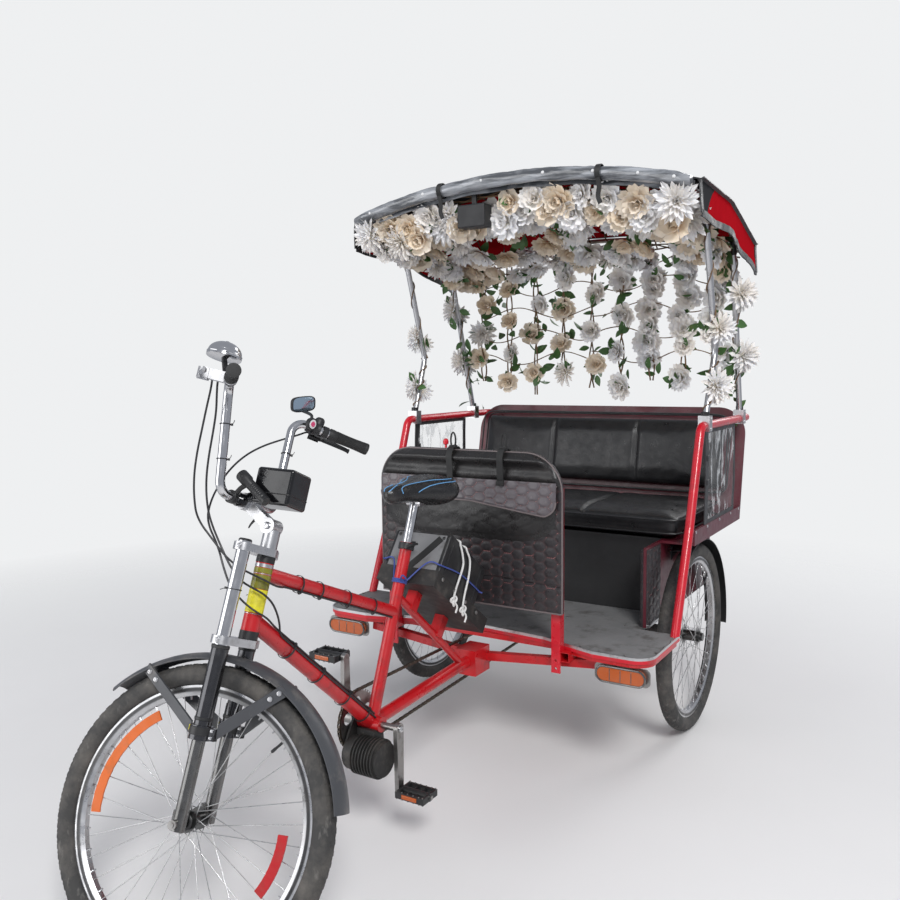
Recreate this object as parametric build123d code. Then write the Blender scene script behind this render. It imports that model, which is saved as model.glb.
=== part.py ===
from build123d import *
import os
from math import sin, cos, tan, radians, sqrt

# Cycle rickshaw: a three-wheeled pedal cab with a hooded bench over the rear axle.
# Millimetres. X is the vehicle's left, Y runs to the rear, Z is up.
# Y is measured from the front axle with the steering straight, and is centred at the end.

# Wheels and steering
wheel_radius = 335.0
tyre_section_radius = 27.0
# Half of the tyre's section from its crown to its bead: distance from the axle plane and from the wheel's axis
tyre_profile = ((0.0, 335.0), (9.0, 333.4), (17.5, 328.2), (24.0, 319.5), (27.0, 308.0), (25.2, 297.5), (20.0, 289.5), (14.2, 287.3))
wheelbase = 1830.0
half_track = 545.0
head_lean = 21.0
fork_rake = 32.5
steering_turned = -73.5

# Rim, hub and spokes
rim_radius = 287.0
rim_well_radius = 281.2
rim_inner_radius = 264.0
rim_half_width = 13.5
rim_flange = 2.5
bead_half_width = 10.5
spoke_count = 36
spoke_radius = 1.0
spoke_lead = 56.0
front_axle_radius = 5.0
front_flange_radius = 24.0
front_flange_spread = 28.0
rear_flange_radius = 32.0
rear_shaft_radius = 12.0
pin_clearance = 0.05
seat_gap = 0.3

# Fork, measured along the steering axis from abreast of the front axle
leg_spread = 65.6
leg_forward = 28.1
lower_crown_at = 382.0
upper_crown_at = 594.0
crown_height = 18.0
upper_leg_radius = 16.0
sleeve_radius = 19.5
lower_leg_radius = 15.0
sleeve_bottom = 190.0
collar_radius = 25.0
steerer_radius = 14.3
head_tube_radius = 21.0
head_tube_bore = 17.0
cup_radius = 22.0
head_tube_bottom = 420.0
head_tube_top = 578.0
dropout_inner = 50.0

# Handlebar, in the same frame of the steering
bar_radius = 11.1
bar_twist = -8.6
bar_height = 715.0
bar_forward = 89.5
riser_base = 112.0
riser_top_spread = 143.0
riser_top_height = 969.0
riser_top_forward = 111.0
grip_end_spread = 305.0
grip_end_height = 946.0
grip_end_forward = -27.0
bar_bend = 34.0
grip_radius = 16.0
grip_length = 112.0
cable_radius = 2.5

# Cycle frame, in the middle plane (Y, Z)
bottom_bracket = (638.0, 324.0)
seat_tube_top = (824.0, 798.0)
top_tube_foot = 611.0
tube_radius = 17.5
down_tube_radius = 20.0
keel_radius = 19.0
brace_radius = 12.0
shell_radius = 21.0
shell_half_length = 36.0
coupling_front = 1150.0
coupling_rear = 1245.0
coupling_height = 345.0
seat_post_radius = 13.6
saddle_height = 925.0
saddle_nose = 716.0
saddle_length = 268.0
saddle_clamp_radius = 12.0

# Cranks, chain and motor
crank_length = 170.0
crank_offset = 84.0
crank_thickness = 13.0
spindle_radius = 9.0
chainring_radius = 78.0
chain_line = -50.0
pedal_spindle = 6.0
pedal_length = 92.0
pedal_depth = 70.0
motor_centre = (600.0, 246.0)
motor_radius = 47.0
axle_sprocket_radius = 48.0

# Battery case on its sloping tray
case_centre = (966.0, 676.0)
case_slope = 37.0
case_length = 250.0
case_thick = 170.0
case_half_width = 98.0
tray_wall = 3.0
tray_lead = 7.0
tray_tail = 96.0
tray_side = 46.0
# Brackets between the brace and the tray: place along the tray and height of the foot under the case's centre
tray_brackets = ((-60.0, -146.0), (120.0, -158.0))

# Cab floor and frame
floor_top = 440.0
floor_thick = 18.0
floor_half_width = 612.0
floor_front = 1180.0
floor_notch = 1262.0
floor_rear = 1475.0
floor_between_wheels = 474.0
seat_back_y = 2270.0
rail_tube = 30.0
tube_wall = 2.0
post_spread = 309.0
rail_spread = post_spread + rail_tube + seat_gap
post_foot = 352.0

# Front panel
panel_front = 1166.0
panel_thick = 16.0
post_y = panel_front + panel_thick + 15.3
panel_half_width = 337.0
panel_bottom = 545.0
panel_top = 1042.0
panel_corner = 120.0
pocket_half_width = 318.0
pocket_low = 758.0
pocket_top = 934.0
pocket_depth = 26.0
flap_half_width = 325.0
flap_low = 842.0
flap_top = 954.0
flap_depth = 34.0

# Body and seat
wall = 10.0
tub_half_width = 490.0
body_half_width = 606.0
shelf_height = 700.0
strip_top = shelf_height + 52.0
back_top = 1146.0
back_lean = 12.0
seat_front = 1690.0
cushion_thick = 92.0
cushion_half_width = 560.0
backrest_thick = 78.0

# Side rails and hood poles
rail_radius = 15.0
rail_x = 602.0
rail_top = 1100.0
pole_radius = 11.0
front_pole_foot = 1768.0
rear_pole_foot = 2252.0

# Hood
hood_half_width = 660.0
hood_sheet = 5.0
valance = 96.0
bow_radius = 9.0
bow_half_span = hood_half_width - 30.0
bow_corner = (20.0, 24.0, 19.2)
# Each bow's place along the cab, its height at the sides and its height in the middle
bows = ((1490.0, 1862.0, 1946.0), (1830.0, 1846.0, 1940.0), (2186.0, 1748.0, 1822.0))
roll_radius = 25.0
roll_ahead = 23.8

# Garlands, vines and blossoms
garland_radius = 30.0
garland_drop = 28.0
garland_inset = 62.0
strand_radius = 13.0
strand_count = 9
strand_pitch = 130.0
strand_foot = 1250.0
blossom_radius = 25.0
blossom_overlap = 4.0

# The steering axis leans back by head_lean, and the wheel stands on the ground where it is turned
lean = radians(head_lean)
turned = radians(steering_turned)
steer_axis = Vector(0, sin(lean), cos(lean))
straight_ahead = Vector(0, -cos(lean), sin(lean))
steered_left = Vector(1, 0, 0) * cos(turned) - straight_ahead * sin(turned)
steered_ahead = straight_ahead * cos(turned) + Vector(1, 0, 0) * sin(turned)
tyre_centre_radius = wheel_radius - tyre_section_radius
hub_height = tyre_centre_radius * sqrt(1 - steered_left.Z ** 2) + tyre_section_radius
pivot = Vector(0, fork_rake * cos(lean), hub_height - fork_rake * steered_ahead.Z)
steering_place = Plane(origin=pivot, x_dir=steered_left, z_dir=steer_axis).location

case_frame = Location((0, *case_centre), (-case_slope, 0, 0))

nodes = {}


def rod(start, end, radius):
    """A round bar between two points."""
    start, end = Vector(*start), Vector(*end)
    run = end - start
    return extrude(Plane(origin=start, z_dir=run) * Circle(radius), amount=run.length)


def square_bar(start, end, width, height, up=(0, 0, 1)):
    """A rectangular bar between two points, its height towards up."""
    start, end = Vector(*start), Vector(*end)
    run = end - start
    across = Vector(*up).cross(run)
    return extrude(Plane(origin=start, x_dir=across, z_dir=run) * Rectangle(width, height), amount=run.length)


def bent_rod(points, bend, radius):
    """A round bar along a route with one bend radius."""
    route = FilletPolyline(*points, radius=bend)
    return sweep(Plane(origin=route @ 0, z_dir=route % 0) * Circle(radius), path=route)


def block(x0, x1, y0, y1, z0, z1):
    """A block between six faces."""
    return Pos((x0 + x1) / 2, (y0 + y1) / 2, (z0 + z1) / 2) * Box(x1 - x0, y1 - y0, z1 - z0)


def both_sides(shape):
    """A piece on the left and its mirror image on the right."""
    return shape + shape.mirror(Plane.YZ)


def join(pieces):
    """All pieces as one shape."""
    whole = pieces[0]
    for piece in pieces[1:]:
        whole = whole + piece
    return whole


def on_axis(along):
    """A point of the steering axis."""
    return pivot + steer_axis * along


def on_seat_tube(height):
    """A point of the seat tube's centre line at a height."""
    (y0, z0), (y1, z1) = bottom_bracket, seat_tube_top
    return Vector(0, y0 + (y1 - y0) * (height - z0) / (z1 - z0), height)


# Wheels, with the axle along X at the origin

def tyre():
    """Rubber in straight bands round the rim, with its beads between the rim's flanges."""
    flange_top = rim_radius + seat_gap
    bead = ((bead_half_width, flange_top), (bead_half_width, rim_well_radius + seat_gap))
    left = tyre_profile + bead
    right = [(-x, radius) for x, radius in reversed(left[1:])]
    return revolve(make_face(Polyline(*left, *right, close=True)), axis=Axis.X)


def rim():
    inner = rim_half_width - rim_flange
    outline = [
        (-rim_half_width, rim_radius), (-inner, rim_radius), (-inner, rim_well_radius), (inner, rim_well_radius),
        (inner, rim_radius), (rim_half_width, rim_radius), (rim_half_width, 274.0), (8.0, rim_inner_radius),
        (-8.0, rim_inner_radius), (-rim_half_width, 274.0),
    ]
    return revolve(make_face(Polyline(*outline, close=True)), axis=Axis.X)


def spokes(flange_radius, left_flange, right_flange):
    """Crossed spokes from both flanges to the rim, as bars that run into both."""
    bars = []
    per_side = spoke_count // 2
    pitch = 360.0 / per_side
    for flange, shift in ((left_flange, 0.0), (right_flange, pitch / 2)):
        for index in range(per_side):
            lead = spoke_lead if index % 2 else -spoke_lead
            at_rim = radians(index * pitch + shift)
            at_hub = radians(index * pitch + shift + lead)
            foot = (flange, (flange_radius - 3.5) * cos(at_hub), (flange_radius - 3.5) * sin(at_hub))
            tip_radius = rim_inner_radius + 2.0
            bars.append(rod(foot, (0, tip_radius * cos(at_rim), tip_radius * sin(at_rim)), spoke_radius))
    return bars


def front_wheel():
    hub = rod((-40, 0, 0), (40, 0, 0), 13.0)
    for side in (-1, 1):
        x = side * front_flange_spread
        hub += rod((x - 1.5, 0, 0), (x + 1.5, 0, 0), front_flange_radius)
    bars = spokes(front_flange_radius, front_flange_spread, -front_flange_spread)
    metal = rim().fuse(hub, *bars)
    return metal - rod((-60, 0, 0), (60, 0, 0), front_axle_radius + pin_clearance)


def rear_wheel():
    """The left rear wheel, and the stub shaft that turns with it inside the housing."""
    hub = rod((-34, 0, 0), (34, 0, 0), 19.0) + rod((30, 0, 0), (44, 0, 0), 14.0)
    shaft = rod((-150, 0, 0), (-34 - seat_gap, 0, 0), rear_shaft_radius)
    for x in (-24.0, 24.0):
        hub += rod((x - 1.5, 0, 0), (x + 1.5, 0, 0), rear_flange_radius)
    return Compound([rim().fuse(hub, *spokes(rear_flange_radius, 24.0, -24.0)), shaft])


front_wheel_place = steering_place * Pos(0, -fork_rake, 0)
nodes["front_tyre"] = front_wheel_place * tyre()
nodes["front_wheel"] = front_wheel_place * front_wheel()
rear_place = Pos(half_track, wheelbase, wheel_radius)
nodes["rear_left_tyre"] = rear_place * tyre()
nodes["rear_left_wheel"] = rear_place * rear_wheel()
nodes["rear_right_tyre"] = nodes["rear_left_tyre"].mirror(Plane.YZ)
nodes["rear_right_wheel"] = nodes["rear_left_wheel"].mirror(Plane.YZ)


# Steering assembly, built straight: X left, Y rearward, Z along the steering axis

def crown_plate(at, centre_radius, end_radius, bore):
    outline = make_hull(
        (Circle(centre_radius).edges() + (Pos(leg_spread, -leg_forward) * Circle(end_radius)).edges()
         + (Pos(-leg_spread, -leg_forward) * Circle(end_radius)).edges())
    )
    plate = extrude(Pos(0, 0, at) * make_face(outline.edges()), amount=crown_height)
    for side in (-1, 1):
        foot = (side * leg_spread, -leg_forward, at - 1)
        plate -= rod(foot, (side * leg_spread, -leg_forward, at + crown_height + 1), bore)
    return plate


def fork_crowns():
    bore = upper_leg_radius + pin_clearance
    crowns = crown_plate(lower_crown_at, 24.0, 25.0, bore) + crown_plate(upper_crown_at, 24.0, 24.0, bore)
    return crowns + rod((0, 0, lower_crown_at), (0, 0, upper_crown_at + crown_height), steerer_radius)


def legs(bottom, top, radius):
    left = rod((leg_spread, -leg_forward, bottom), (leg_spread, -leg_forward, top), radius)
    return both_sides(left)


def fork_sleeves():
    """Black outer tubes with a clamp collar at the foot, where the mudguard arms fasten."""
    tube = rod((leg_spread, -leg_forward, sleeve_bottom), (leg_spread, -leg_forward, lower_crown_at - 2.3), sleeve_radius)
    collar = rod((leg_spread, -leg_forward, 176.0), (leg_spread, -leg_forward, 206.0), collar_radius)
    collar += block(leg_spread - 9, leg_spread + 9, -leg_forward + 14, -leg_forward + 38, 178.0, 204.0)
    sleeve = tube + collar - rod((leg_spread, -leg_forward, 170), (leg_spread, -leg_forward, 188), lower_leg_radius + pin_clearance)
    return both_sides(sleeve)


def fork_lowers():
    leg = rod((leg_spread, -leg_forward, -14.0), (leg_spread, -leg_forward, 187.7), lower_leg_radius)
    foot = block(dropout_inner + 0.6, leg_spread + 4, -fork_rake - 14, -fork_rake + 14, -16.0, 26.0)
    leg = leg + foot
    leg -= rod((dropout_inner - 5, -fork_rake, 0), (leg_spread + 30, -fork_rake, 0), front_axle_radius + pin_clearance)
    return both_sides(leg)


def front_axle():
    axle = rod((-leg_spread - 26, 0, 0), (leg_spread + 26, 0, 0), front_axle_radius)
    for side in (-1, 1):
        axle += rod((side * 41.0, 0, 0), (side * (dropout_inner + seat_gap), 0, 0), 9.0)
        axle += rod((side * (leg_spread + 15.3), 0, 0), (side * (leg_spread + 24), 0, 0), 10.0)
    return Pos(0, -fork_rake, 0) * axle


def mudguard():
    """Two arched blades round the tyre, bridged under the lower crown, with flat arms to the collars."""
    pieces = []
    for radius, half_width, sag, thick, start, sweep_angle in (
        (360.0, 31.0, 13.0, 3.0, 42.0, 66.0),
        (362.0, 39.0, 15.0, 3.0, 100.0, 66.0),
    ):
        outer = ThreePointArc((-half_width, radius - sag), (0, radius), (half_width, radius - sag))
        inner = ThreePointArc((half_width - thick, radius - sag), (0, radius - thick), (thick - half_width, radius - sag))
        edges = [outer, Line(outer @ 1, inner @ 0), inner, Line(inner @ 1, outer @ 0)]
        blade = revolve(make_face(edges), axis=Axis.X, revolution_arc=sweep_angle)
        pieces.append(Rot(180.0 - start - sweep_angle, 0, 0) * blade)
    guard = Pos(0, -fork_rake, 0) * join(pieces)
    for angle, spread, radius in ((58.0, 27.0, 350.0), (118.0, 35.0, 351.0)):
        tip = (spread, -fork_rake - radius * cos(radians(angle)), radius * sin(radians(angle)))
        foot = (leg_spread, -leg_forward + (-18.0 if angle < 90 else 30.0), 191.0)
        arm = square_bar(foot, tip, 5.0, 26.0, up=(0, cos(radians(angle)), -sin(radians(angle))))
        arm -= rod((leg_spread, -leg_forward, 150.0), (leg_spread, -leg_forward, 230.0), collar_radius + seat_gap)
        arm -= block(leg_spread - 30, leg_spread + 30, -leg_forward, -leg_forward + 38 + seat_gap, 150.0, 230.0)
        guard += both_sides(arm)
    return guard


place = steering_place
nodes["fork_crowns"] = place * fork_crowns()
nodes["fork_upper_legs"] = place * legs(lower_crown_at - 2.0, upper_crown_at + crown_height + 4, upper_leg_radius)
nodes["fork_sleeves"] = place * fork_sleeves()
nodes["fork_lower_legs"] = place * fork_lowers()
nodes["front_axle"] = place * front_axle()
nodes["front_mudguard"] = place * mudguard()


def handlebar_points():
    return [
        (grip_end_spread, -grip_end_forward, grip_end_height),
        (riser_top_spread, -riser_top_forward, riser_top_height),
        (riser_base, -bar_forward, bar_height),
        (-riser_base, -bar_forward, bar_height),
        (-riser_top_spread, -riser_top_forward, riser_top_height),
        (-grip_end_spread, -grip_end_forward, grip_end_height),
    ]


def along_grip(distance, forward=0.0, up=0.0):
    """A point by the left grip: in from its end, and off its centre line to the front and upward."""
    end, knee = Vector(*handlebar_points()[0]), Vector(*handlebar_points()[1])
    inward = (knee - end).normalized()
    ahead = Vector(-inward.Y, inward.X, 0).normalized()
    return end + inward * distance + ahead * forward + inward.cross(ahead).normalized() * up


bar_place = steering_place * Rot(0, 0, bar_twist)


def band(start, end, radius):
    """A ring round the left grip's bar, between two distances from its end."""
    return rod(along_grip(start), along_grip(end), radius) - rod(along_grip(start - 5), along_grip(end + 5), bar_radius + pin_clearance)


def grips():
    grip = rod(along_grip(-4.0), along_grip(grip_length), grip_radius)
    return both_sides(grip - rod(along_grip(0), along_grip(grip_length + 5), bar_radius + pin_clearance))


def stem():
    top = upper_crown_at + crown_height
    body = rod((0, 0, top + seat_gap), (0, 0, top + 44.0), 20.0)
    body += rod((-20, -4, top + 52.0), (20, -4, top + 52.0), 19.0)
    body += square_bar((0, -4, top + 52.0), (0, -bar_forward, bar_height), 30.0, 26.0)
    body += rod((-25, -bar_forward, bar_height), (25, -bar_forward, bar_height), 21.0)
    return body - rod((-30, -bar_forward, bar_height), (30, -bar_forward, bar_height), bar_radius + pin_clearance)


def bell():
    """A two-part dome on a strap round the bar."""
    dome_radius = 40.0
    dome = revolve(
        make_face(Polyline((0, 0), (dome_radius, 0), (dome_radius, 9), (31.0, 27.0), (16.0, 36.0), (0, 39.0), close=True)),
        axis=Axis.Y,
    )
    dome = Rot(90, 0, 0) * dome
    foot, tip = along_grip(147.0, 13.0, 10.0), along_grip(140.0, 26.0, 46.0)
    return band(140.0, 154.0, 16.0) + rod(foot, tip, 7.0) + Pos(*(tip + Vector(0, 0, -4))) * dome


def controls():
    """Brake lever clamps and blades on both sides."""
    lever = band(116.0, 132.0, 16.0) + rod(along_grip(124.0, 14.0, 0), along_grip(132.0, 62.0, -4.0), 8.0)
    lever += square_bar(along_grip(136.0, 62.0, -4.0), along_grip(24.0, 58.0, -10.0), 14.0, 8.0)
    return both_sides(lever)


def shifter():
    """A gear changer beside the right lever, with its round dial."""
    unit = band(139.0, 161.0, 18.0) + rod(along_grip(146.0, 0, 15.0), along_grip(146.0, 4.0, 34.0), 13.4)
    return unit.mirror(Plane.YZ)


def mirror():
    """A rectangular mirror on a short stalk."""
    stalk = rod(along_grip(170.0, 1.0, 13.4), along_grip(170.0, 26.0, 66.0), 4.0)
    plate = Pos(*along_grip(170.0, 26.0, 84.0)) * Rot(8, 0, 0) * Box(104, 12, 52)
    return (band(163.0, 177.0, 16.0) + stalk + plate).mirror(Plane.YZ)


def bar_box():
    """A glossy box behind the bar, on a strap round it."""
    box = fillet(block(-42, 42, -52.0, 52.0, bar_height - 3.0, bar_height + 85.0).edges(), 8.0)
    strap = rod((26.0, -bar_forward, bar_height), (40.0, -bar_forward, bar_height), 17.0)
    strap += square_bar((33, -bar_forward, bar_height + 4), (33, -48.0, bar_height + 16), 12.0, 12.0)
    return box + strap - rod((20, -bar_forward, bar_height), (45, -bar_forward, bar_height), bar_radius + pin_clearance)


def torch():
    """A small torch clamped on the bar, pointing forward and up."""
    tail, tip = Vector(62, 10, bar_height - 3.0), Vector(62, -71, bar_height + 51.0)
    ray = (tip - tail).normalized()
    body = rod(tail, tip, 12.0) + rod(tip - ray * 22, tip + ray * 8, 15.0)
    clamp = rod((54.0, -bar_forward, bar_height), (70.0, -bar_forward, bar_height), 16.0)
    clamp += rod((62.0, -bar_forward + 8, bar_height + 8), (62.0, -58.0, bar_height + 33.0), 6.0)
    return body + clamp - rod((50, -bar_forward, bar_height), (80, -bar_forward, bar_height), bar_radius + pin_clearance)


nodes["handlebar"] = bar_place * bent_rod(handlebar_points(), bar_bend, bar_radius)
nodes["grips"] = bar_place * grips()
nodes["stem"] = bar_place * stem()
nodes["bell"] = bar_place * bell()
nodes["brake_levers"] = bar_place * controls()
nodes["gear_changer"] = bar_place * shifter()
nodes["mirror"] = bar_place * mirror()
nodes["bar_box"] = bar_place * bar_box()
nodes["torch"] = bar_place * torch()


# Cycle frame

def main_frame():
    bb = (0, *bottom_bracket)
    coupling = (0, coupling_front + 5, coupling_height)
    tubes = rod(on_axis(head_tube_bottom), on_axis(head_tube_top), head_tube_radius)
    tubes += rod(on_axis(554.0), on_seat_tube(top_tube_foot), tube_radius)
    tubes += rod(on_axis(444.0), bb, down_tube_radius)
    tubes += rod(bb, (0, *seat_tube_top), tube_radius)
    tubes += rod(on_seat_tube(seat_tube_top[1] - 16.0), (0, *seat_tube_top), tube_radius + 4.0)
    tubes += rod(bb, coupling, keel_radius)
    tubes += rod(on_seat_tube(655.0), (0, 1120.0, 350.0), brace_radius)
    tubes += rod((-shell_half_length, *bottom_bracket), (shell_half_length, *bottom_bracket), shell_radius)
    tray_under = -case_thick / 2 - tray_wall - 2 * seat_gap
    for at, foot in tray_brackets:
        tubes += case_frame * block(-16.0, 16.0, at - 16.0, at + 16.0, foot, tray_under)
    tubes -= block(-100, 100, coupling_front - seat_gap, coupling_rear, 200, 500)
    tubes -= rod(on_axis(head_tube_bottom - 60), on_axis(head_tube_top + 60), head_tube_bore)
    tubes -= rod(on_axis(head_tube_bottom - 30), on_axis(head_tube_bottom), cup_radius + seat_gap)
    tubes -= rod(on_axis(head_tube_top), on_axis(head_tube_top + 30), cup_radius + seat_gap)
    tubes -= rod((-60, *bottom_bracket), (60, *bottom_bracket), spindle_radius + pin_clearance)
    top = Vector(0, *seat_tube_top)
    slope = (top - Vector(*bb)).normalized()
    return tubes - rod(top - slope * 110, top + slope * 10, seat_post_radius + pin_clearance)


def headset():
    """Bearing cups at both ends of the head tube, running on the steerer."""
    cups = rod(on_axis(lower_crown_at + crown_height + seat_gap), on_axis(head_tube_bottom - seat_gap), cup_radius)
    cups += rod(on_axis(head_tube_top + seat_gap), on_axis(upper_crown_at - seat_gap), cup_radius)
    return cups - rod(on_axis(lower_crown_at), on_axis(upper_crown_at + 20), steerer_radius + pin_clearance)


def seat_post():
    top = Vector(0, *seat_tube_top)
    slope = (top - Vector(0, *bottom_bracket)).normalized()
    reach = (saddle_height - saddle_clamp_radius - 2 * seat_gap - seat_tube_top[1]) / slope.Z
    post = rod(top - slope * 105, top + slope * reach, seat_post_radius)
    head = top + slope * reach
    return post + rod(head + Vector(-24, 0, 0), head + Vector(24, 0, 0), saddle_clamp_radius)


def saddle():
    """A broad sprung saddle: a narrow nose that swells into a wide rounded back."""
    sections = []
    for from_nose, half_width, thickness, top in (
        (0.0, 16.0, 26.0, 44.0), (60.0, 27.0, 40.0, 50.0), (150.0, 62.0, 52.0, 52.0),
        (215.0, 104.0, 60.0, 60.0), (saddle_length, 74.0, 34.0, 58.0),
    ):
        plane = Plane(origin=(0, saddle_nose + from_nose, saddle_height + top - thickness / 2), x_dir=(1, 0, 0), z_dir=(0, -1, 0))
        sections.append(plane * Ellipse(half_width, thickness / 2))
    shell = loft(sections)
    return shell


nodes["main_frame"] = main_frame()
nodes["headset"] = headset()
nodes["seat_post"] = seat_post()
nodes["saddle"] = saddle()


# Drive

def motor():
    """A ribbed cylinder motor slung under the bottom bracket, with its gear case."""
    y, z = motor_centre
    body = rod((-38, y, z), (72, y, z), motor_radius)
    for index in range(8):
        x = -12 + index * 10.0
        body += rod((x, y, z), (x + 3.0, y, z), motor_radius + 7.0)
    bb_y, bb_z = bottom_bracket
    case = make_hull((Pos(y, z) * Circle(44.0)).edges() + (Pos(bb_y, bb_z) * Circle(34.0)).edges())
    case = extrude(Plane(origin=(-44.0, 0, 0), x_dir=(0, 1, 0), z_dir=(1, 0, 0)) * make_face(case.edges()), amount=6.0)
    body += case
    body += block(-30, 30, bb_y - 30, bb_y + 14, z, bb_z - 10)
    body -= rod((-shell_half_length - seat_gap, bb_y, bb_z), (60, bb_y, bb_z), shell_radius + seat_gap)
    body -= rod((0, bb_y, bb_z), (0, coupling_front, coupling_height), keel_radius + seat_gap)
    body -= rod((0, bb_y, bb_z), on_axis(444.0), down_tube_radius + seat_gap)
    return body - rod((-70, bb_y, bb_z), (70, bb_y, bb_z), spindle_radius + 1.0)


def crank_arm(x, direction):
    bb_y, bb_z = bottom_bracket
    outline = make_hull(
        (Pos(bb_y, bb_z) * Circle(16.0)).edges() + (Pos(bb_y, bb_z + direction * crank_length) * Circle(12.0)).edges()
    )
    return extrude(Plane(origin=(x, 0, 0), x_dir=(0, 1, 0), z_dir=(1, 0, 0)) * make_face(outline.edges()), amount=crank_thickness)


def crankset():
    """Spindle, arms, pedal spindles and the chainring with its spider."""
    bb_y, bb_z = bottom_bracket
    reach = crank_offset + crank_thickness
    crank = rod((-reach, bb_y, bb_z), (reach, bb_y, bb_z), spindle_radius)
    crank += crank_arm(crank_offset, -1) + crank_arm(-reach, 1)
    for side, direction in ((1, -1), (-1, 1)):
        z = bb_z + direction * crank_length
        crank += rod((side * reach, bb_y, z), (side * (reach + pedal_length + 8), bb_y, z), pedal_spindle)
    ring = rod((chain_line - 1.5, bb_y, bb_z), (chain_line + 1.5, bb_y, bb_z), chainring_radius)
    for index in range(5):
        angle = radians(72.0 * index + 90)
        y, z = bb_y + 47 * cos(angle), bb_z + 47 * sin(angle)
        ring -= rod((chain_line - 3, y, z), (chain_line + 3, y, z), 17.0)
    crank += ring + rod((-reach + 4, bb_y, bb_z), (chain_line + 1.5, bb_y, bb_z), 18.0)
    return crank


def pedal(side, direction):
    """A flat pedal: an open cage round its bearing tube."""
    bb_y, bb_z = bottom_bracket
    z = bb_z + direction * crank_length
    inner = crank_offset + crank_thickness + 3.0
    outer = inner + pedal_length
    cage = block(inner, outer, bb_y - pedal_depth / 2, bb_y + pedal_depth / 2, z - 9, z + 9)
    cage -= block(inner + 8, outer - 8, bb_y - pedal_depth / 2 + 7, bb_y + pedal_depth / 2 - 7, z - 20, z + 20)
    cage += rod((inner, bb_y, z), (outer, bb_y, z), 11.0)
    for x in (inner + pedal_length * 0.36, inner + pedal_length * 0.64):
        cage += block(x - 3, x + 3, bb_y - pedal_depth / 2 + 2, bb_y + pedal_depth / 2 - 2, z - 5, z + 5)
    cage -= rod((inner - 5, bb_y, z), (outer + 5, bb_y, z), pedal_spindle + pin_clearance)
    if side < 0:
        cage = cage.mirror(Plane.YZ)
    return cage


def chain():
    """The fixed outline of the chain round the chainring and the sprocket on the axle."""
    (y0, z0), (y1, z1) = bottom_bracket, (wheelbase, wheel_radius)
    gap = 0.5
    rise = 8.5
    loops = []
    for extra in (gap + rise, gap):
        hull = make_hull(
            (Pos(y0, z0) * Circle(chainring_radius + extra)).edges()
            + (Pos(y1, z1) * Circle(axle_sprocket_radius + extra)).edges()
        )
        loops.append(make_face(hull.edges()))
    face = loops[0] - loops[1]
    return extrude(Plane(origin=(chain_line - 4.0, 0, 0), x_dir=(0, 1, 0), z_dir=(1, 0, 0)) * face, amount=8.0)


nodes["motor"] = motor()
nodes["crankset"] = crankset()
nodes["left_pedal"] = pedal(1, -1)
nodes["right_pedal"] = pedal(-1, 1)
nodes["drive_chain"] = chain()


# Cables

# Routes of the free loops from the levers, in the bar's frame down to the crown and then in the fork's frame
left_brake_loop = ((165, -140, 900), (148, -152, 852), (136, -160, 800), (124, -163, 748), (108, -161, 698), (90, -152, 650))
left_wire_loop = ((150, -122, 896), (136, -128, 846), (124, -134, 796), (112, -136, 746), (98, -132, 698), (80, -122, 652))
right_brake_loop = ((-158, -150, 915), (-116, -172, 884), (-72, -184, 846), (-32, -188, 800), (2, -184, 750), (30, -174, 700), (46, -158, 652))
upper_gap = ((46, -118, 606), (42, -82, 576), (37, -44, 556), (35, -8, 546), (31, 24, 538))
middle_gap = ((40, -96, 592), (40, -62, 552), (37, -30, 526), (37, 0, 516), (33, 28, 508))
lower_gap = ((30, -112, 596), (32, -84, 548), (36, -52, 506), (37, -12, 480), (32, 22, 464))
# Where the loops lie beside the head tube, and how far each stands round the down tube
upper_bend = ((32, 236, 802), (26, 264, 792))
middle_bend = ((36, 218, 770), (31, 239, 740), (26, 253, 709))
lower_bend = ((31, 206, 734), (26, 234, 706))
wire_tilt = 66.0
brake_tilt = 37.0


def by_bar(x, y, z):
    return (bar_place * Pos(x, y, z)).position


def by_fork(x, y, z):
    return (steering_place * Pos(x, y, z)).position


def beside_tube(start, end, along, offset):
    """A point off a frame tube's centre line, at a distance from its start."""
    start, end = Vector(*start), Vector(*end)
    return start + (end - start).normalized() * along + Vector(*offset)


def under_top_tube(along, side):
    """A cable's place against the underside of the top tube."""
    reach = tube_radius + cable_radius + seat_gap
    start, end = on_axis(554.0), on_seat_tube(top_tube_foot)
    run = (end - start).normalized()
    below = Vector(0, run.Z, -run.Y)
    return beside_tube(start, end, along, below * reach * cos(radians(30)) + Vector(side * reach * sin(radians(30)), 0, 0))


def on_down_tube(along, tilt):
    """A cable's place on the upper left of the down tube."""
    reach = down_tube_radius + cable_radius + seat_gap
    start, end = on_axis(444.0), (0, *bottom_bracket)
    run = (Vector(*end) - start).normalized()
    above = Vector(0, -run.Z, run.Y)
    return beside_tube(start, end, along, above * reach * cos(radians(tilt)) + Vector(reach * sin(radians(tilt)), 0, 0))


def cable(route):
    """A cable's tube, each bend as large as its two runs allow."""
    runs = [(end - start).length for start, end in zip(route, route[1:])]
    radii = []
    for before, after, first, corner, last in zip(runs, runs[1:], route, route[1:], route[2:]):
        turn = radians((corner - first).get_angle(last - corner))
        radii.append(0.45 * min(before, after) / tan(turn / 2))
    path = FilletPolyline(*route, radius=radii)
    tube = sweep(Plane(origin=path @ 0, z_dir=path % 0) * Circle(cable_radius), path=path)
    print("cable", round(path.length), "runs", round(min(runs)), round(max(runs)), "least bend", round(min(radii)),
          "fill", round(tube.volume / (3.14159 * cable_radius ** 2 * path.length), 3))
    return tube


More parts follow.
